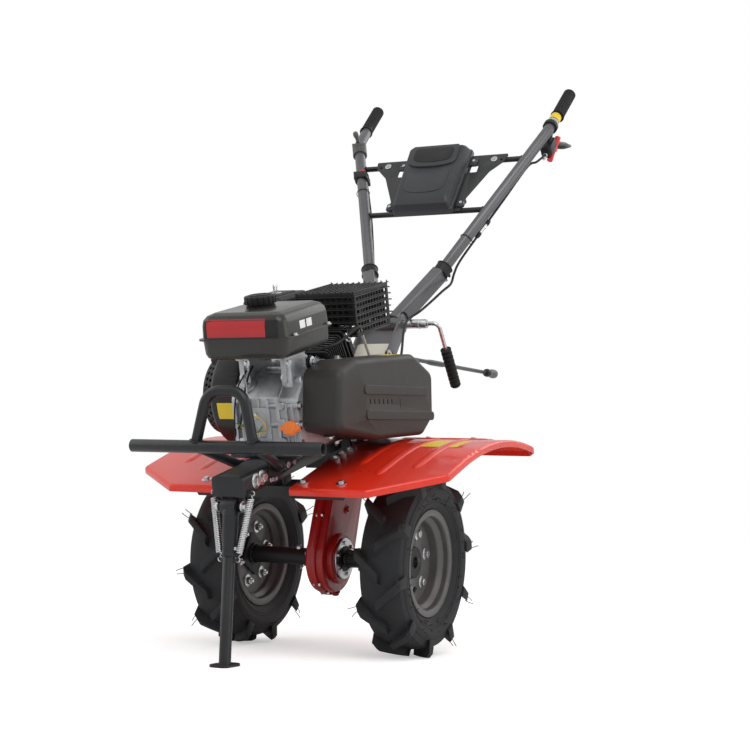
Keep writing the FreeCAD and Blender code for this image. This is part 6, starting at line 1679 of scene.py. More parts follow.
@dataclass
class CrankcaseTrim:
    """Cover bolts, cast bosses, the governor linkage, ignition wires and the oil plugs."""

    front_x: float = 224.0
    left_y: float = 84.0

    def build(self) -> None:
        """Build the crankcase's trim."""
        self._castings()
        self._bolts()
        self._linkage()
        self._wires()
        self._dipstick()

    def _castings(self) -> None:
        """Raise the cast pads, webs and the breather cover on the front and the shoulder."""
        draft = Draft()
        x = self.front_x
        for z, half in ((318, 9), (356, 10), (392, 9)):
            draft.lathe((x - 6, 45.0, z), (1, 0, 0), [(half, 0), (half, 9.5), (half - 1.5, 11.5)],
                        20)
        draft.pad((x + 0.5, -14.0, 352.0), LEFT, UPWARD, (64.0, 74.0, 10.0), 4.5, 1.5)
        draft.pad((x + 4.0, -14.0, 352.0), LEFT, UPWARD, (46.0, 52.0, 8.0), 3.0, 1.2)
        for y in (-62.0, 58.0, 72.0):
            draft.pad((x - 1.0, y, 350.0), LEFT, UPWARD, (4.0, 96.0, 1.8), 7.0, 1.0)
        slope = Vector((-1, 0, 1)).normalized()
        lean = Vector((1, 0, 1)).normalized()
        for y in (-60.0, -30.0, 20.0, 66.0):
            start = Vector((201.0, y, 429.0)) - lean * 2.0
            draft.pad(start, Vector((0, -1, 0)), slope, (5.0, 52.0, 2.2), 7.0, 1.0)
        draft.lathe((196.0, -46.0, 426.0), lean, [(21, -4), (21, 8), (19, 10), (12, 10), (11, 13),
                                                  (4, 13.4)], 28)
        draft.lathe((186.0, 68.0, 436.0), (0.2, 1, 0.3), [(9, -16), (9, 12), (7, 14)], 18)
        draft.build("crankcase_castings", CASTING, bevel=0.7)

    def _bolts(self) -> None:
        """Bolt the side cover on and plug the oil drain."""
        draft = Draft()
        x = self.front_x + 3.0
        for z in (312.0, 352.0, 392.0):
            draft.bolt((x - 7.0, self.left_y - 1.0, z), (0, 1, 0), 10.0, 5.0, 1.0)
            draft.bolt((x - 7.0, 15.8, z), (0, -1, 0), 9.0, 4.0, 0.0, thread=3.0)
        for x_bolt, z in ((196, 430), (160, 452), (100, 466), (50, 454), (28, 420), (24, 340)):
            draft.bolt((x_bolt, 41.5, z + 3.5), (0, 1, 0), 9.0, 4.5, 0.9)
        draft.bolt((self.front_x + 3.0, -52.0, 312.0), (1, 0, 0), 15.0, 6.0, 0.85)
        draft.bolt((self.front_x + 7.4, -14.0, 372.0), (1, 0, 0), 8.0, 4.0, 0.9)
        draft.bolt((self.front_x + 7.4, -14.0, 332.0), (1, 0, 0), 8.0, 4.0, 0.9)
        draft.build("crankcase_bolts", ZINC)

    @staticmethod
    def _linkage() -> None:
        """Build the governor arm, its rod and its springs over the shoulder."""
        steel = Draft()
        steel.pad((150.0, -4.0, 466.0), Vector((0.3, -0.95, 0)).normalized(),
                  Vector((0.1, 0.05, 1)).normalized(), (12.0, 56.0, 5.5), 2.2, 0.4)
        steel.bolt((150.0, -8.0, 446.0), (1, 0.2, 0), 10.0, 5.0, 0.9, thread=4.0)
        steel.lathe((150.0, -4.0, 430.0), (0, 0, 1), [(4, -4), (4, 14)], 12)
        rod = smooth_line([(150, -6, 490), (110, -18, 488), (40, -34, 484), (-30, -48, 482)], 6)
        steel.tube(rod, 1.3, 6)
        steel.coil(Vector((140, -10, 484)), Vector((30, -30, 480)), 3.6, 0.7, 26, 5)
        steel.coil(Vector((152, 4, 476)), Vector((176, 48, 462)), 3.4, 0.7, 16, 5)
        steel.pad((168.0, 20.0, 458.0), LEFT, Vector((0.35, 0, 0.94)), (70.0, 14.0, 4.0), 2.0, 0.4)
        steel.build("governor_linkage", ZINC)

    @staticmethod
    def _wires() -> None:
        """Run the ignition and oil sensor wires down the front of the crankcase."""
        runs = {
            "wire_black": (CABLE_BLACK, 2.2, [(196, -30, 470), (214, -32, 452), (232, -34, 420),
                                              (238, -40, 384), (234, -52, 352), (222, -70, 340)]),
            "wire_yellow": (YELLOW_WIRE, 1.3, [(236, -36, 400), (243, -22, 384), (241, 4, 366),
                                               (238, 12, 350), (236, 0, 338), (236, -30, 344),
                                               (230, -58, 350)]),
            "wire_green": (GREEN_WIRE, 1.3, [(232, -62, 356), (238, -44, 352), (239, -26, 342),
                                             (238, -8, 340), (236, 2, 352)]),
            "wire_white": (WHITE_TIE, 1.1, [(218, -36, 446), (236, -26, 424), (240, -24, 396),
                                            (240, -30, 368)]),
            "wire_sensor": (CABLE_BLACK, 1.8, [(206, -40, 462), (224, -54, 430), (230, -62, 392),
                                               (228, -68, 352), (222, -74, 318)]),
        }
        for name, (finish, radius, points) in runs.items():
            draft = Draft()
            draft.tube(smooth_line(points, 7), radius, 8)
            draft.build(name, finish)
        joint = Draft()
        joint.lathe((236.0, -40.0, 376.0), (0.1, 0.2, -1),
                    [(3.4, 0), (4.2, 2), (4.2, 16), (3.2, 18)], 14)
        joint.build("wire_connector", BLACK_PLASTIC)

    @staticmethod
    def _dipstick() -> None:
        """Raise the wings and the ribs of the orange oil plug."""
        low, high = STANCE.box("dipstick")
        middle = (low + high) / 2
        out = Vector((math.cos(math.radians(25)), 0, math.sin(math.radians(25))))
        crown = middle + out * 10.0
        draft = Draft()
        across = LEFT
        up = out.cross(across) * -1
        draft.pad(crown - out * 4, across, up.cross(across).cross(across) * -1,
                  (44.0, 12.0, 5.5), 12.0, 2.5)
        draft.lathe(crown - out * 12, out, [(15.5, 0), (16.0, 3), (15.0, 6), (11, 7)], 12)
        draft.build("dipstick_wings", DIPSTICK_ORANGE, bevel=0.8)


@dataclass
class CylinderTrim:
    """Head bolts, the rocker cover's rim, the spark plug and its lead, and steel strips on the fin edges as
    painted highlights.
    """

    tilt: float = math.radians(25.0)
    crank: Point = (100.0, 14.0, 391.0)
    head_end: float = 176.0
    rocker_end: float = 206.0
    first_fin: float = 80.0
    fin_pitch: float = 7.75
    fin_count: int = 8

    def place(self, distance: float, height: float, y: float = 14.0) -> Vector:
        """Return a point on the tilted cylinder.

        Args:
            distance: The distance from the crank's axis along the cylinder.
            height: The height across the cylinder.
            y: The place across the machine.

        Returns:
            The point in the level frame.
        """
        ahead, up = self.axes()
        return Vector((self.crank[0], y, self.crank[2])) + ahead * distance + up * height

    def axes(self) -> tuple[Vector, Vector]:
        """Return the cylinder's direction and its way up."""
        return (Vector((-math.cos(self.tilt), 0, math.sin(self.tilt))),
                Vector((math.sin(self.tilt), 0, math.cos(self.tilt))))

    def build(self) -> None:
        """Build the cylinder's trim."""
        ahead, up = self.axes()
        zinc = Draft()
        for y in (-22.0, 50.0):
            for height in (-22.0, 22.0):
                zinc.bolt(self.place(self.rocker_end - 0.5, height, y), ahead, 9.0, 5.0, 1.0)
        for y in (-34.0, 62.0):
            zinc.bolt(self.place(self.head_end, 44.0, y), ahead, 12.0, 6.0, 1.0)
            zinc.bolt(self.place(self.head_end, -44.0, y), ahead, 12.0, 6.0, 1.0)
        zinc.bolt((-68.0, 68.0, 514.6), (0, 0, 1), 10.0, 4.0, 0.9)
        zinc.build("head_bolts", ZINC)
        rim = Draft()
        rim.pad(self.place(self.head_end - 1.0, 0.0), LEFT, up, (96.0, 68.0, 12.0), -4.0)
        rim.build("rocker_cover_rim", ENGINE_BLACK, bevel=0.6)
        self._spark_plug(ahead, up)
        self._fin_edges(up)

    def _spark_plug(self, ahead: Vector, up: Vector) -> None:
        """Screw in the spark plug and push its boot and lead on.

        Args:
            ahead: The cylinder's direction.
            up: Its way up.
        """
        root = self.place(168.0, 30.0, 70.0)
        lean = (Vector((0, 0.85, 0)) + up * 0.55 + ahead * 0.15).normalized()
        steel = Draft()
        steel.bolt(root, lean, 17.0, 8.0, 0.7)
        steel.lathe(root, lean, [(6, -4), (6, 15)], 16)
        steel.build("spark_plug", ZINC)
        boot = Draft()
        head = root + lean * 14
        boot.lathe(head, lean, [(6.6, 0), (8.2, 1), (8.2, 16), (6.8, 20), (6.8, 24), (4.2, 30)], 18)
        end = head + lean * 28
        lead = smooth_line([end, end + lean * 8 + ahead * -6, end + Vector((26, 6, 0)),
                            (26.0, 92.0, 492.0), (52.0, 82.0, 486.0), (66.0, 60.0, 480.0)], 7)
        boot.tube(lead, 3.3, 9)
        boot.build("spark_plug_lead", CABLE_BLACK)

    def _fin_edges(self, up: Vector) -> None:
        """Run steel strips along the outer edges of the cylinder's fins as painted highlights.

        Args:
            up: The cylinder's way up.
        """
        # Thin steel tubes on the fin edges stand in for the edges' highlights: painted highlights.
        draft = Draft()
        outline = rounded_outline(112.0, 104.0, 9.0, 4)
        for index in range(self.fin_count):
            middle = self.first_fin + index * self.fin_pitch + 1.3
            line = [self.place(middle, b * 0.998, 14.0 + a * 0.998) for a, b in outline]
            kept = [p for p in line if (p - self.place(middle, 0, 14.0)).dot(up) > -20]
            for start, end in zip(kept, kept[1:]):
                if (end - start).length < 130:
                    draft.tube([start, end], 0.75, 4)
        draft.build("fin_edge_painted_highlights", SHAFT_STEEL)


@dataclass
class ExhaustTrim:
    """The muffler's seams and louvres, and the welded wires over its guard."""

    low: Point = (-201.0, -43.0, 490.0)
    high: Point = (-33.0, 101.0, 587.0)
    pitch: float = 14.0
    wire_r: float = 1.35

    def build(self) -> None:
        """Build the muffler's trim."""
        body = Draft()
        for height in (0.30, 0.5, 0.70):
            z = 514.0 + 64.0 * height
            body.pad((-117.0, 29.0, z), AHEAD, LEFT, (150.6, 126.6, 10.0), 2.0, 0.5)
        body.build("muffler_seams", ENGINE_BLACK, bevel=0.4)
        louvres = Draft()
        for index in range(6):
            x = -172.0 + index * 13.0
            louvres.pad((x, 91.8, 546.0), Vector((-1, 0, 0)), UPWARD, (8.0, 30.0, 3.8), 3.4, 1.2)
        louvres.build("muffler_louvres", ENGINE_BLACK)
        self._wires()

    def _wires(self) -> None:
        """Weld round wires over the guard's mesh, their ends standing out at the rear."""
        draft = Draft()
        x0, y0, z0 = self.low
        x1, y1, z1 = self.high
        draw = random.Random(7)
        count = int((z1 - z0) / self.pitch)
        for index in range(count + 1):
            z = z0 + 3.0 + index * self.pitch
            if z > z1 - 2:
                break
            ends = draw.uniform(5, 11)
            for line in (straight((x1 + 0.6, y1 + 0.6, z), (x0 - ends, y1 + 0.6, z), 2),
                         [(x0 - 0.6, y0 - 2.0, z), (x0 - 0.6, y1 + ends, z)],
                         [(x1 + 0.6, y0 - 2.0, z), (x1 + 0.6, y1 + 2.0, z)]):
                draft.tube(line, self.wire_r, 6)
        across = int((y1 - y0) / self.pitch)
        for index in range(across + 1):
            y = y0 + 3.0 + index * self.pitch
            ends = draw.uniform(4, 10)
            for line in ([(x1 + 1.5, y, z1 + 0.6), (x0 - ends, y, z1 + 0.6)],
                         [(x0 - 0.6, y, z0 - 3.0), (x0 - 0.6, y, z1 + ends * 0.6)]):
                draft.tube(line, self.wire_r, 6)
        draft.build("guard_wires", ENGINE_BLACK)


@dataclass
class IntakeTrim:
    """The air cleaner's wing nut and lid seam, and the carburettor's levers."""

    cleaner_low: Point = (-132.0, -156.0, 502.0)
    cleaner_high: Point = (12.0, -58.0, 586.0)

    def build(self) -> None:
        """Build the intake's trim."""
        x = (self.cleaner_low[0] + self.cleaner_high[0]) / 2
        y = (self.cleaner_low[1] + self.cleaner_high[1]) / 2
        z = self.cleaner_high[2]
        lid = Draft()
        lid.pad((x, y, z - 34.0), AHEAD, LEFT, (146.0, 100.0, 15.0), 3.0, 0.8)
        lid.pad((x, y, z - 0.6), AHEAD, LEFT, (96.0, 58.0, 12.0), 2.6, 1.0)
        lid.build("air_cleaner_lid_seam", BLACK_PLASTIC)
        nut = Draft()
        nut.bolt((x, y, z + 1.8), (0, 0, 1), 11.0, 6.0, 1.3, thread=9.0)
        for side in (-1, 1):
            nut.slab((x, y, z + 6.0), Vector((0.94 * side, 0.34 * side, 0)),
                     Vector((0.12 * side, 0, 1)).normalized(),
                     [(3, 0), (10, 1), (15, 8), (15, 15), (10, 17), (5, 9), (3, 7)], 1.8, 0.3)
        nut.build("air_cleaner_wing_nut", ZINC)
        self._carburettor()

    @staticmethod
    def _carburettor() -> None:
        """Dress the carburettor with its bowl nut, levers, screws and gaskets."""
        zinc, black = Draft(), Draft()
        bowl = STANCE.box("carburettor")
        x, y, z = -62.0, -81.5, bowl[0].z
        zinc.bolt((x, y, z), (0, 0, -1), 11.0, 5.0, 0.8)
        zinc.lathe((x, y, z + 8.0), (0, 0, 1), [(19.8, 0), (20.2, 1.2), (19.4, 2.2)], 28)
        zinc.pad((x + 18.0, y - 8.0, 484.0), LEFT, Vector((0.2, 0, 1)).normalized(),
                 (8.0, 30.0, 3.8), 2.0, 0.3)
        zinc.bolt((x + 12.0, y - 6.0, 498.0), (0, 0, 1), 7.0, 4.0, 0.0)
        zinc.tube(smooth_line([(x + 20, y - 4, 492), (x + 40, y + 6, 494), (x + 60, y + 20, 490)],
                              5), 1.2, 6)
        zinc.build("carburettor_levers", ZINC)
        for place in (-58.0, -46.0):
            black.lathe((x, place, 478.0), (0, -1, 0), [(21.5, 0), (21.5, 3.0), (17.5, 3.0)], 24)
        black.pad((x + 24.0, -118.0, 496.0), LEFT, UPWARD, (12.0, 22.0, 5.5), 5.0, 1.2)
        black.build("carburettor_gaskets", BLACK_PLASTIC)


@dataclass
class BlowerTrim:
    """The blower drum's label and rim bolts, the pull start's hub plate and its clamp band."""

    centre: Point = (100.0, -138.0, 391.0)

    def build(self) -> None:
        """Build the blower's trim."""
        drum = Surface("blower_housing")
        label = Draft()
        drum.plate(label, (290.0, -119.0, 359.0), (0, 38.0, 0), (0, 0, 35.0), (-1, 0, 0), (3, 6),
                   0.6)
        label.build("blower_label", YELLOW_LABEL)
        zinc = Draft()
        x, y, z = self.centre
        for turn in (95, 160, 215):
            angle = math.radians(turn)
            ray = Vector((math.cos(angle), 0, math.sin(angle)))
            zinc.bolt(Vector((x, y + 26.0, z)) + ray * 106.0, ray, 9.0, 4.0, 1.0)
        zinc.build("blower_bolts", ZINC)
        hub = Draft()
        hub.lathe((x, y - 32.0, z), (0, -1, 0), [(24, 0), (24, 1.2), (22.6, 2.2), (9, 2.2),
                                                 (8.4, 3.4), (0.8, 3.8)], 36)
        hub.build("pull_start_hub_plate", BLACK_PLASTIC)
        band = Draft()
        band.tube(ring_line((x, y + 0.4, z), (0, 1, 0), 98.0, 72), 1.8, 6)
        band.build("screen_clamp_band", SHAFT_STEEL)


# ------------------------------------------------------------------ belt cover
@dataclass
class BeltCoverTrim:
    """The belt cover's divider, screws, blank yellow patch, tab and idler boss."""

    inner_y: float = 84.0

    def build(self) -> None:
        """Build the belt cover's trim."""
        cover = Surface("belt_cover")
        divider = Draft()
        cover.rib(divider, straight((-74.5, 240.0, 322.0), (-74.5, 240.0, 350.0), 6), (0, -1, 0),
                  1.8, 0.8)
        divider.build("belt_cover_divider", COVER_PLASTIC)
        patch = Draft()
        cover.plate(patch, (-158.0, 104.0, 560.0), (60.0, 0, 0), (0, 34.0, 0), (0, 0, -1),
                    (5, 4), 0.4)
        patch.build("belt_cover_patch", YELLOW_LABEL)
        zinc = Draft()
        for x, z_from, way in ((60.0, 600.0, -1), (-40.0, 100.0, 1), (120.0, 100.0, 1)):
            spot = cover.seat((x, 95.0, z_from), (0, 0, way))
            zinc.bolt(spot, (0, 0, -way), 10.0, 5.0, 1.1)
        zinc.build("belt_cover_screws", ZINC)
        tab = Draft()
        tab.slab((150.0, self.inner_y - 3.5, 470.0), AHEAD, UPWARD,
                 [(-20, 6), (-4, 14), (10, 8), (14, -6), (6, -14), (-18, -12)], 4.0, 0.5)
        tab.build("belt_cover_tab", FRAME_BLACK, bevel=0.5)
        screw = Draft()
        screw.bolt((150.0, self.inner_y + 1.0, 470.0), (0, 1, 0), 10.0, 5.0, 1.1)
        screw.build("belt_cover_tab_bolt", ZINC)
        self._boss()

    @staticmethod
    def _boss() -> None:
        """Build the black idler boss that shows behind the cover's rear end."""
        draft = Draft()
        draft.lathe((-262.0, 118.0, 388.0), (0.95, 0, 0.1),
                    [(10, -16), (13, -14), (13, -2), (10, 0), (7, 1), (7, 10)], 24)
        draft.build("belt_idler_boss", FRAME_BLACK, bevel=0.5)


# ------------------------------------------------------------------ handlebar
# The left handle tube's straight run and its grip's tip.
HANDLE_START = Vector((-513.0, 94.0, 566.0))
HANDLE_BEND = Vector((-872.0, 271.0, 884.0))
GRIP_TIP = Vector((-1029.0, 281.4, 969.8))


def on_side(point: Sequence[float], side: Side) -> Vector:
    """Return a left-hand point, mirrored across the machine where the side is -1."""
    return Vector((point[0], point[1] * side, point[2]))


def tube_place(share: float, side: Side) -> Vector:
    """Return the place at a share of the handle tube's straight run."""
    return on_side(HANDLE_START.lerp(HANDLE_BEND, share), side)


@dataclass
class HandlebarTrim:
    """Clamp bolts, collar lugs, the pivot's plate, bar welds, the bands, and a pale sheet on the base that carries
    a painted reflection.
    """

    pivot: Point = (-375.0, 0.0, 465.0)
    collar_reach: float = 14.0
    collar_r: float = 20.2
    lug_drop: float = 24.0
    bar_shares: Pair = (0.44, 0.80)
    band_reach: float = 44.0
    band_width: float = 22.0
    pale_reaches: tuple[float, ...] = (22.0, 30.0, 36.0)

    def build(self) -> None:
        """Build the handlebar's trim."""
        self._collars()
        self._pivot()
        self._bar_ends()
        self._bands()
        self._base()

    def _collars(self) -> None:
        """Clamp each tube in its collar with a lug and a bolt."""
        along = (HANDLE_BEND - HANDLE_START).normalized()
        for side in Side:
            ahead = on_side(along, side)
            outward = Vector((0, side, 0))
            outward = (outward - ahead * outward.dot(ahead)).normalized()
            under = ahead.cross(outward) * side
            if under.z > 0:
                under = -under
            foot = on_side(HANDLE_START, side) + ahead * self.collar_reach
            black, zinc = Draft(), Draft()
            for step in (-7.0, 7.0):
                black.pad(foot + under * self.lug_drop + ahead * step - ahead * 2.0, outward,
                          ahead.cross(outward), (16.0, 16.0, 3.0), 4.0, 0.8)
            for step in (-11, 11):
                black.tube(ring_line(foot + ahead * step, ahead, self.collar_r, 40), 1.5, 6)
            black.build("collar_lugs_" + side.word, BLACK_PLASTIC, Body.HANDLEBAR, bevel=0.4)
            zinc.bolt(foot + under * 25.0 + ahead * 9.0, ahead, 9.0, 5.0, 0.9)
            zinc.bolt(foot + under * 25.0 - ahead * 9.0, -ahead, 9.0, 5.0, 0.9, thread=4.0)
            zinc.build("collar_bolt_" + side.word, ZINC, Body.HANDLEBAR)

    def _pivot(self) -> None:
        """Dress the toothed locking plate and the clamp bolt's far end."""
        x, _, z = self.pivot
        plates, zinc = Draft(), Draft()
        plates.lathe((x, -50.0, z), (0, -1, 0),
                     [(9, 0), (25, 0), (25, 1.6), (24, 2.6), (10, 2.6)], 36)
        for turn in range(0, 360, 24):
            angle = math.radians(turn)
            spot = Vector((x + 21 * math.cos(angle), -52.4, z + 21 * math.sin(angle)))
            plates.lathe(spot, (0, -1, 0), [(1.7, 0), (1.2, 1.0)], 6)
        plates.build("pivot_lock_plate", FRAME_BLACK)
        zinc.bolt((x, -53.0, z), (0, -1, 0), 22.0, 10.0, 0.8, thread=8.0)
        zinc.build("pivot_far_nut", ZINC)

    def _bar_ends(self) -> None:
        """Weld the cross bars to the tubes."""
        black = Draft()
        for share in self.bar_shares:
            for side in Side:
                middle = tube_place(share, side)
                inward = Vector((0, -side, 0))
                black.tube(ring_line(middle + inward * 14.5, inward, 7.6, 24), 1.5, 6)
        black.build("cross_bar_welds", FRAME_BLACK, Body.HANDLEBAR)

    def _bands(self) -> None:
        """Wrap the blank yellow band and the pale rings round the left tube's upper end."""
        along = (GRIP_TIP - HANDLE_BEND).normalized()
        out = (Vector((0.5, 0.62, 0.6)) - along * along.dot(Vector((0.5, 0.62, 0.6)))).normalized()
        across = along.cross(out)
        band = Draft()
        rings = []
        for step in range(15):
            turn = math.radians(-98.0 + 14.0 * step)
            ray = out * math.cos(turn) + across * math.sin(turn)
            foot = HANDLE_BEND + along * self.band_reach
            low, high = foot + ray * 13.9, foot + ray * 14.45
            rings.append([low, high, high + along * self.band_width, low + along * self.band_width])
        band.skin(rings)
        band.build("tube_label_band", YELLOW_LABEL, Body.HANDLEBAR)
        pale = Draft()
        for reach in self.pale_reaches:
            pale.lathe(HANDLE_BEND + along * reach, along, [(14.05, 0), (14.6, 0.3), (14.6, 3.2),
                                                            (14.05, 3.5)], 40)
        pale.build("tube_pale_bands", WHITE_TIE, Body.HANDLEBAR)

    def _base(self) -> None:
        """Lay a pale cream sheet on the handle base as a painted reflection of the white floor, and add its strut
        and its foot bolts.
        """
        foot = Vector((-196.0, 0.0, 322.0))
        top = Vector(self.pivot)
        along = (top - foot).normalized()
        up = along.cross(Vector((0, -1, 0))).normalized()
        sideways = LEFT
        # The pale cream sheet is a painted reflection of the white floor on the grey base.
        web = Draft()
        web.pad(foot + along * 88.0 + up * 4.5, sideways, along, (90.0, 150.0, 8.0),
                0.8 if up.dot(sideways.cross(along)) > 0 else -0.8, 0.2)
        web.build("handle_base_painted_reflection", PAINTED_REFLECTION_CREAM)
        # The strut shares the pale cream of the painted reflection.
        rod = Draft()
        rod.tube([Vector((-188.0, 30.0, 486.0)), Vector((-246.0, 30.0, 370.0))], 3.4, 10)
        rod.build("handle_base_strut", PAINTED_REFLECTION_CREAM)
        zinc = Draft()
        for y in (-34.0, 34.0):
            zinc.bolt((-222.0, y, 348.0), (0, 0, 1), 13.0, 6.0, 1.0)
        for side in Side:
            for reach in (34.0, 66.0):
                spot = foot + along * reach + Vector((0, side * 50.0, 0))
                zinc.bolt(spot, (0, side, 0), 13.0, 6.0, 0.95)
        zinc.build("handle_base_bolts", ZINC)


@dataclass
class PanelTrim:
    """The control panel's moulded cover, its crowned pad, clips and screws."""

    origin: Point = (-671.0, 0.0, 705.9)
    up: Point = (-0.749, 0.0, 0.663)
    out: Point = (0.663, 0.0, 0.749)
    face: float = 50.0
    corner: float = 9.0
    cover_rows: tuple[tuple[float, float, float, float, float], ...] = (
        (10.0, 90.0, 84.0, 198.5, -15.8), (22.0, 89.5, 83.5, 198.0, -15.5),
        (24.0, 86.0, 80.0, 196.5, -14.0), (42.0, 80.0, 75.0, 192.5, -9.0),
        (48.0, 76.0, 71.0, 189.0, 2.0), (50.0, 72.0, 67.0, 185.0, 7.0))
    clips: tuple[tuple[float, float, float, float], ...] = (
        (97.0, 158.0, 22.0, 26.0), (97.0, 12.0, 22.0, 22.0))

    def place(self, y: float, rise: float, depth: float) -> Vector:
        """Return a point on the panel.

        Args:
            y: The place across the machine.
            rise: The height above the lower bar.
            depth: The distance in front of the bars.

        Returns:
            The point in the level frame.
        """
        return (Vector(self.origin) + Vector((0, y, 0)) + Vector(self.up) * rise
                + Vector(self.out) * depth)

    def build(self) -> None:
        """Build the panel's trim."""
        across = Vector((0, -1, 0))
        if across.cross(Vector(self.up)).dot(Vector(self.out)) < 0:
            across = -across
        self._cover()
        self._pad(across)
        self._clips(across)
        self._screws()

    def _cover(self) -> None:
        """Mould the cover, drafted in from its seat to its face, in place of the CAD solid."""
        draft = Draft()
        draft.skin([self._loop(*row) for row in self.cover_rows])
        cover = draft.build("panel_cover_shell", PANEL_PLASTIC, Body.HANDLEBAR, angle=28, bevel=1.2)
        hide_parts("panel_cover")

    def _loop(self, depth: float, head: float, foot: float, top: float, bottom: float
              ) -> list[Vector]:
        """Return one loop round the cover.

        Args:
            depth: The loop's distance in front of the bars.
            head: Half its width at the top.
            foot: Half its width at the bottom.
            top: The height of its top edge.
            bottom: The height of its bottom edge.

        Returns:
            The loop's points.
        """
        corners = ((head, top, 0), (-head, top, 90), (-foot, bottom, 180), (foot, bottom, 270))
        points = []
        for y, rise, start in corners:
            middle_y = y - math.copysign(self.corner, y)
            middle_rise = rise - (self.corner if start < 180 else -self.corner)
            for step in range(6):
                turn = math.radians(start + 18 * step)
                points.append(self.place(middle_y + self.corner * math.cos(turn),
                                         middle_rise + self.corner * math.sin(turn), depth))
        return points

    def _pad(self, across: Vector) -> None:
        """Raise the crowned pad, its brow and the lower field of the cover.

        Args:
            across: The direction of the outlines' first axis.
        """
        up = Vector(self.up)
        draft = Draft()
        draft.slab(self.place(0, 150.0, self.face - 2.0), across, up,
                   self._shield(136.0, 76.0), 7.0, 3.0)
        draft.slab(self.place(0, 60.0, self.face - 1.4), across, up,
                   self._shield(116.0, 74.0), 3.0, 1.3)
        draft.pad(self.place(0, 97.0, self.face - 1.6), across, up, (104.0, 9.0, 4.0), 2.6, 1.2)
        draft.build("panel_pad", PANEL_PLASTIC, Body.HANDLEBAR, bevel=0.8)
        badge = Draft()
        badge.slab(self.place(0, 152.0, self.face + 4.9), across, up, self._shield(108.0, 50.0),
                   1.2, 0.5)
        badge.build("panel_blank_badge", BLACK_PLASTIC, Body.HANDLEBAR)

    @staticmethod
    def _shield(width: float, height: float) -> list[Pair]:
        """Return a straight-topped outline with a bowed foot.

        Args:
            width: Its width.
            height: Its height.

        Returns:
            The outline as pairs.
        """
        outline = [(width / 2, height / 2 - 6), (width / 2 - 6, height / 2),
                   (-width / 2 + 6, height / 2), (-width / 2, height / 2 - 6)]
        for index in range(13):
            turn = math.pi * index / 12
            outline.append((-width / 2 * math.cos(turn) * (0.96 if 0 < index < 12 else 1.0),
                            -height / 2 * (0.35 + 0.65 * math.sin(turn) ** 0.6)))
        return outline

    def _clips(self, across: Vector) -> None:
        """Stand the clips that hold the cover to the plate.

        Args:
            across: The direction of the outlines' first axis.
        """
        draft = Draft()
        for side in Side:
            for y, rise, wide, tall in self.clips:
                draft.pad(self.place(side * y, rise, 9.0), across, Vector(self.up),
                          (wide, tall, 4.0), 8.0, 1.6)
        draft.build("panel_clips", PANEL_PLASTIC, Body.HANDLEBAR, bevel=0.7)

    def _screws(self) -> None:
        """Screw the cover and the plate down."""
        zinc = Draft()
        for side in Side:
            for y, rise, depth in ((99.0, 158.0, 16.0), (99.0, 12.0, 16.0), (150.0, 168.0, 10.0)):
                zinc.bolt(self.place(side * y, rise, depth), Vector(self.out), 8.0, 3.0, 1.1)
        zinc.build("panel_screws", ZINC, Body.HANDLEBAR)


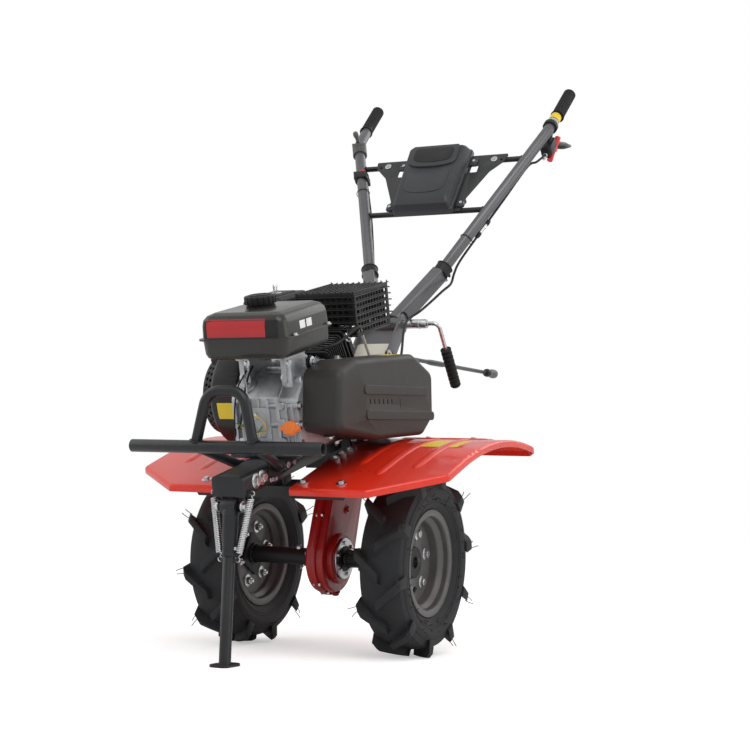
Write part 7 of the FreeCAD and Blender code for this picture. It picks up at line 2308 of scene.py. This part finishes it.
@dataclass
class ControlTrim:
    """The clutch lever's trigger and blade, the throttle's dial and the stop switch's cap."""

    perch_front: Point = (-869.0, 262.0, 825.0)
    perch_rear: Point = (-904.0, 262.0, 844.0)
    blade_tip: Point = (-985.0, 285.0, 838.0)

    def build(self) -> None:
        """Build the controls' trim."""
        self._clutch()
        self._throttle()
        self._switch()

    def _clutch(self) -> None:
        """Build the red trigger, the pale blade tip and the perch's screws."""
        front, rear, tip = (Vector(p) for p in (self.perch_front, self.perch_rear, self.blade_tip))
        along = (rear - front).normalized()
        up = Vector((0.477, 0, 0.879))
        block = Draft()
        block.pad(Vector((-884.0, 264.0, 846.0)) - up * 15.0, along, up.cross(along),
                  (56.0, 30.0, 7.0), 24.0, 4.0)
        block.build("clutch_perch_block", BLACK_PLASTIC, Body.HANDLEBAR, bevel=0.8)
        red = Draft()
        line = smooth_line([front + Vector((-8, 6, -17)), rear + Vector((6, 9, -13)),
                            rear + Vector((-14, 12, 5)), rear + Vector((-26, 14, 19))], 6)
        red.tube(line, 7.6, 12)
        red.lathe(rear + Vector((-2, 9, -6)), (0, 1, 0), [(9, -8), (11, -6), (11, 6), (9, 8)], 22)
        red.build("clutch_trigger", RED_PLASTIC, Body.HANDLEBAR)
        grey = Draft()
        start = rear.lerp(tip, 0.24) + Vector((0, 8, 6))
        middle = rear.lerp(tip, 0.62) + Vector((0, 8, 4))
        side, up, ahead = basis(tip - rear)
        rings = []
        for point, wide, thick in ((start, 6.2, 6.0), (middle, 9.0, 5.6),
                                   (tip + ahead * -6, 9.6, 5.4), (tip + ahead * 3.0, 7.0, 4.4),
                                   (tip + ahead * 5.6, 2.5, 2.0)):
            rings.append([point + side * math.cos(t) * wide + up * math.sin(t) * thick
                          for t in (2 * math.pi * i / 16 for i in range(16))])
        grey.skin(rings)
        grey.build("clutch_blade", KNOB_GREY, Body.HANDLEBAR)
        zinc = Draft()
        zinc.bolt(front.lerp(rear, 0.5) + Vector((0, 10.6, 3)), (0, 1, 0), 8.0, 4.0, 1.0)
        zinc.lathe(front + along * 4, -along, [(4.6, 0), (5.6, 2), (5.6, 9), (3.8, 10), (3.4, 20),
                                               (5.0, 21), (5.0, 26), (3.2, 27)], 18)
        zinc.build("clutch_adjuster", ZINC, Body.HANDLEBAR)

    @staticmethod
    def _throttle() -> None:
        """Build the throttle's pale dial and its thumb lever's pad."""
        seat = Vector((-849.5, -259.9, 864.1))
        draft = Draft()
        draft.lathe(seat + Vector((0, 0, 25.0)), (0, 0, 1),
                    [(17.4, -5), (18.2, -4), (18.2, 0), (15, 2.4), (8, 2.4), (7.4, 4), (1, 4.4)],
                    36)
        draft.build("throttle_dial", KNOB_GREY, Body.HANDLEBAR)
        tip = Vector((seat.x + 34.0, seat.y + 8.5, seat.z + 21.0 + 34.0))
        lean = Vector((34, 8.5, 34)).normalized()
        pad = Draft()
        pad.lathe(tip - lean * 16, lean,
                  [(5.2, 0), (6.8, 3), (7.4, 10), (6.6, 16), (4.6, 18.4)], 18)
        pad.build("throttle_thumb_pad", KNOB_GREY, Body.HANDLEBAR)

    @staticmethod
    def _switch() -> None:
        """Cap the stop switch in red and clamp it to the tube."""
        middle = tube_place(0.73, Side.RIGHT)
        along = on_side((HANDLE_BEND - HANDLE_START).normalized(), Side.RIGHT)
        low, high = STANCE.box("stop_switch")
        front = AHEAD
        front = (front - along * front.dot(along)).normalized()
        across = along.cross(front)
        red = Draft()
        red.pad(Vector(((low.x + high.x) / 2, (low.y + high.y) / 2, (low.z + high.z) / 2))
                + along * 7.0 + front * 13.5, across, front.cross(across) * -1,
                (34.0, 22.0, 4.0), 8.0, 1.8)
        red.build("stop_switch_cap", RED_PLASTIC, Body.HANDLEBAR, bevel=0.6)
        band = Draft()
        band.lathe(middle - along * 10, along, [(15.0, 0), (19.0, 0.6), (19.4, 3), (19.4, 17),
                                               (19.0, 19.4), (15.0, 20)], 32)
        band.build("stop_switch_clamp", SWITCH_BLACK, Body.HANDLEBAR)


# ------------------------------------------------------------------ cables
@dataclass
class CableRuns:
    """The clutch and throttle cables, routed past the handlebar's pivot, with their fittings."""

    radius: float = 3.0
    crossing: Point = (-375.0, 72.0, 480.5)
    bend_half: float = 26.0
    clutch_route: tuple[Point, ...] = (
        (-869, 262, 825), (-852, 261, 820), (-826, 250, 808), (-800, 234, 798),
        (-720, 195, 724), (-640, 156, 650), (-575, 125, 590), (-548, 118, 562),
        (-516, 121, 541), (-480, 113, 528), (-440, 98, 508), (-405, 82, 490),
        (-375, 72, 481), (-342, 73, 472), (-300, 84, 452), (-250, 100, 420),
        (-214, 109, 401), (-196, 110, 394))
    throttle_route: tuple[Point, ...] = (
        (-842, -254, 838), (-826, -247, 812), (-800, -234, 798), (-720, -195, 724),
        (-640, -156, 650), (-575, -125, 590), (-548, -118, 562), (-516, -121, 541),
        (-480, -113, 528), (-440, -98, 508), (-405, -82, 490), (-375, -72, 481),
        (-340, -73, 478), (-290, -76, 476), (-220, -80, 472), (-150, -84, 470),
        (-110, -85, 469), (-76, -85, 469))

    def build(self) -> None:
        """Build both cables and their fittings."""
        left = self._cable("clutch_cable", self.clutch_route)
        right = self._cable("throttle_cable", self.throttle_route)
        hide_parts("cables_upper", "cables_lower")
        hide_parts("cables_upper", "cables_lower")
        self._fittings()

    def _cable(self, name: str, points: Sequence[Point]) -> Piece:
        """Sweep a cable along its route; the bend at the pivot is given to the build but not carried out.

        Args:
            name: The cable's name.
            points: Its route, from the handlebar's end.

        Returns:
            The cable.
        """
        draft = Draft()
        draft.tube(smooth_line(points, 6), self.radius, 10)
        side = 1 if points[0][1] > 0 else -1
        x, y, z = self.crossing
        bend = Bend(Body.CHASSIS, Body.HANDLEBAR, (x + self.bend_half, side * y, z - 4),
                    (x - self.bend_half, side * y, z + 4))
        return draft.build(name, CABLE_BLACK, Body.HANDLEBAR, angle=60, bend=bend)

    @staticmethod
    def _fittings() -> None:
        """Add the in-line adjuster, the boots, the ties and the engine's stop wire."""
        steel, boots, ties = Draft(), Draft(), Draft()
        along = (HANDLE_BEND - HANDLE_START).normalized()
        foot, length = Vector((-650.0, 161.0, 659.5)), 30.0
        steel.lathe(foot - along * length / 2, along,
                    [(3.4, 0), (4.8, 1), (4.8, length - 1), (3.4, length)], 16)
        steel.bolt(foot + along * 4, along, 11.0, 5.0, 0.0)
        for way in (-1, 1):
            boots.lathe(foot + along * way * (length / 2 + 16), along * -way,
                        [(3.4, 0), (5.4, 3), (6.4, 8), (6.4, 15), (5.2, 17)], 16)
        boots.build("cable_boots", BLACK_PLASTIC, Body.HANDLEBAR)
        steel.build("cable_adjuster", ZINC, Body.HANDLEBAR)
        for side in Side:
            for share in ((0.62, 0.92) if side < 0 else (0.24,)):
                middle = tube_place(share, side) + Vector((0.6, 0, -2.0))
                ahead = on_side(along, side)
                ties.tube(ring_line(middle, ahead, 16.6, 30), 1.1, 6)
        ties.build("cable_ties", BLACK_PLASTIC, Body.HANDLEBAR)
        wire = Draft()
        wire.tube(smooth_line([(-768, -206, 786), (-752, -196, 760), (-700, -168, 700),
                               (-640, -140, 646), (-580, -114, 592), (-556, -108, 560),
                               (-520, -104, 540), (-470, -94, 524)], 7), 1.9, 8)
        wire.build("stop_wire", CABLE_BLACK, Body.HANDLEBAR)


@dataclass
class LeverTrim:
    """The gear lever's clevis and tapered socket, and the crank lever's sleeve and pins."""

    knee: Point = (-224.0, 66.0, 420.0)
    end: Point = (-880.0, 66.0, 249.0)

    def build(self) -> None:
        """Build the levers' trim."""
        knee, end = Vector(self.knee), Vector(self.end)
        along = (end - knee).normalized()
        black = Draft()
        black.lathe(knee + along * 236, along,
                    [(4.6, 0), (5.6, 8), (7.0, 30), (7.0, 92), (5.8, 108), (4.6, 114)], 24)
        black.pad(knee + along * 14 + Vector((0, 9.0, 0)), along, Vector((0, -1, 0)).cross(along),
                  (40.0, 16.0, 7.0), 3.0, 0.6)
        black.build("gear_lever_socket", FRAME_BLACK, bevel=0.5)
        zinc = Draft()
        zinc.bolt(knee + along * 8 + Vector((0, 9.5, 0)), (0, 1, 0), 10.0, 5.0, 1.0)
        zinc.lathe(Vector((-375.0, 92.0, 465.0)), (0, 1, 0),
                   [(11.0, 0), (12.0, 0.6), (12.0, 2.6), (11.0, 3.2)], 30)
        zinc.lathe(Vector((-375.0, 108.0, 465.0)), (0, 1, 0),
                   [(5.2, 0), (7.6, 1), (7.6, 8), (5.2, 9)], 20)
        zinc.build("lever_pins", ZINC)
        knob = Draft()
        knob.lathe(end - along * 52, along, [(6.0, 0), (9.6, 2.5), (10.8, 8), (11.0, 12)], 24)
        knob.build("gear_knob_neck", BLACK_PLASTIC)


ASSEMBLIES = (
    WheelTrim, FrontStandTrim, FrameTrim, TransmissionTrim, FenderTrim, TankTrim, CrankcaseTrim,
    CylinderTrim, ExhaustTrim, IntakeTrim, BlowerTrim, BeltCoverTrim, HandlebarTrim, PanelTrim,
    ControlTrim, CableRuns, LeverTrim,
)


def main() -> None:
    """Build the tiller's looks around the CAD frame, one sub-assembly after another."""
    logging.basicConfig(level=logging.INFO, format="%(name)s: %(message)s")
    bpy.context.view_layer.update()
    Studio().set_up()
    CadDressing().dress()
    for assembly in ASSEMBLIES:
        LOG.info("building %s", assembly.__name__)
        assembly().build()


if __name__ == "__main__":
    main()
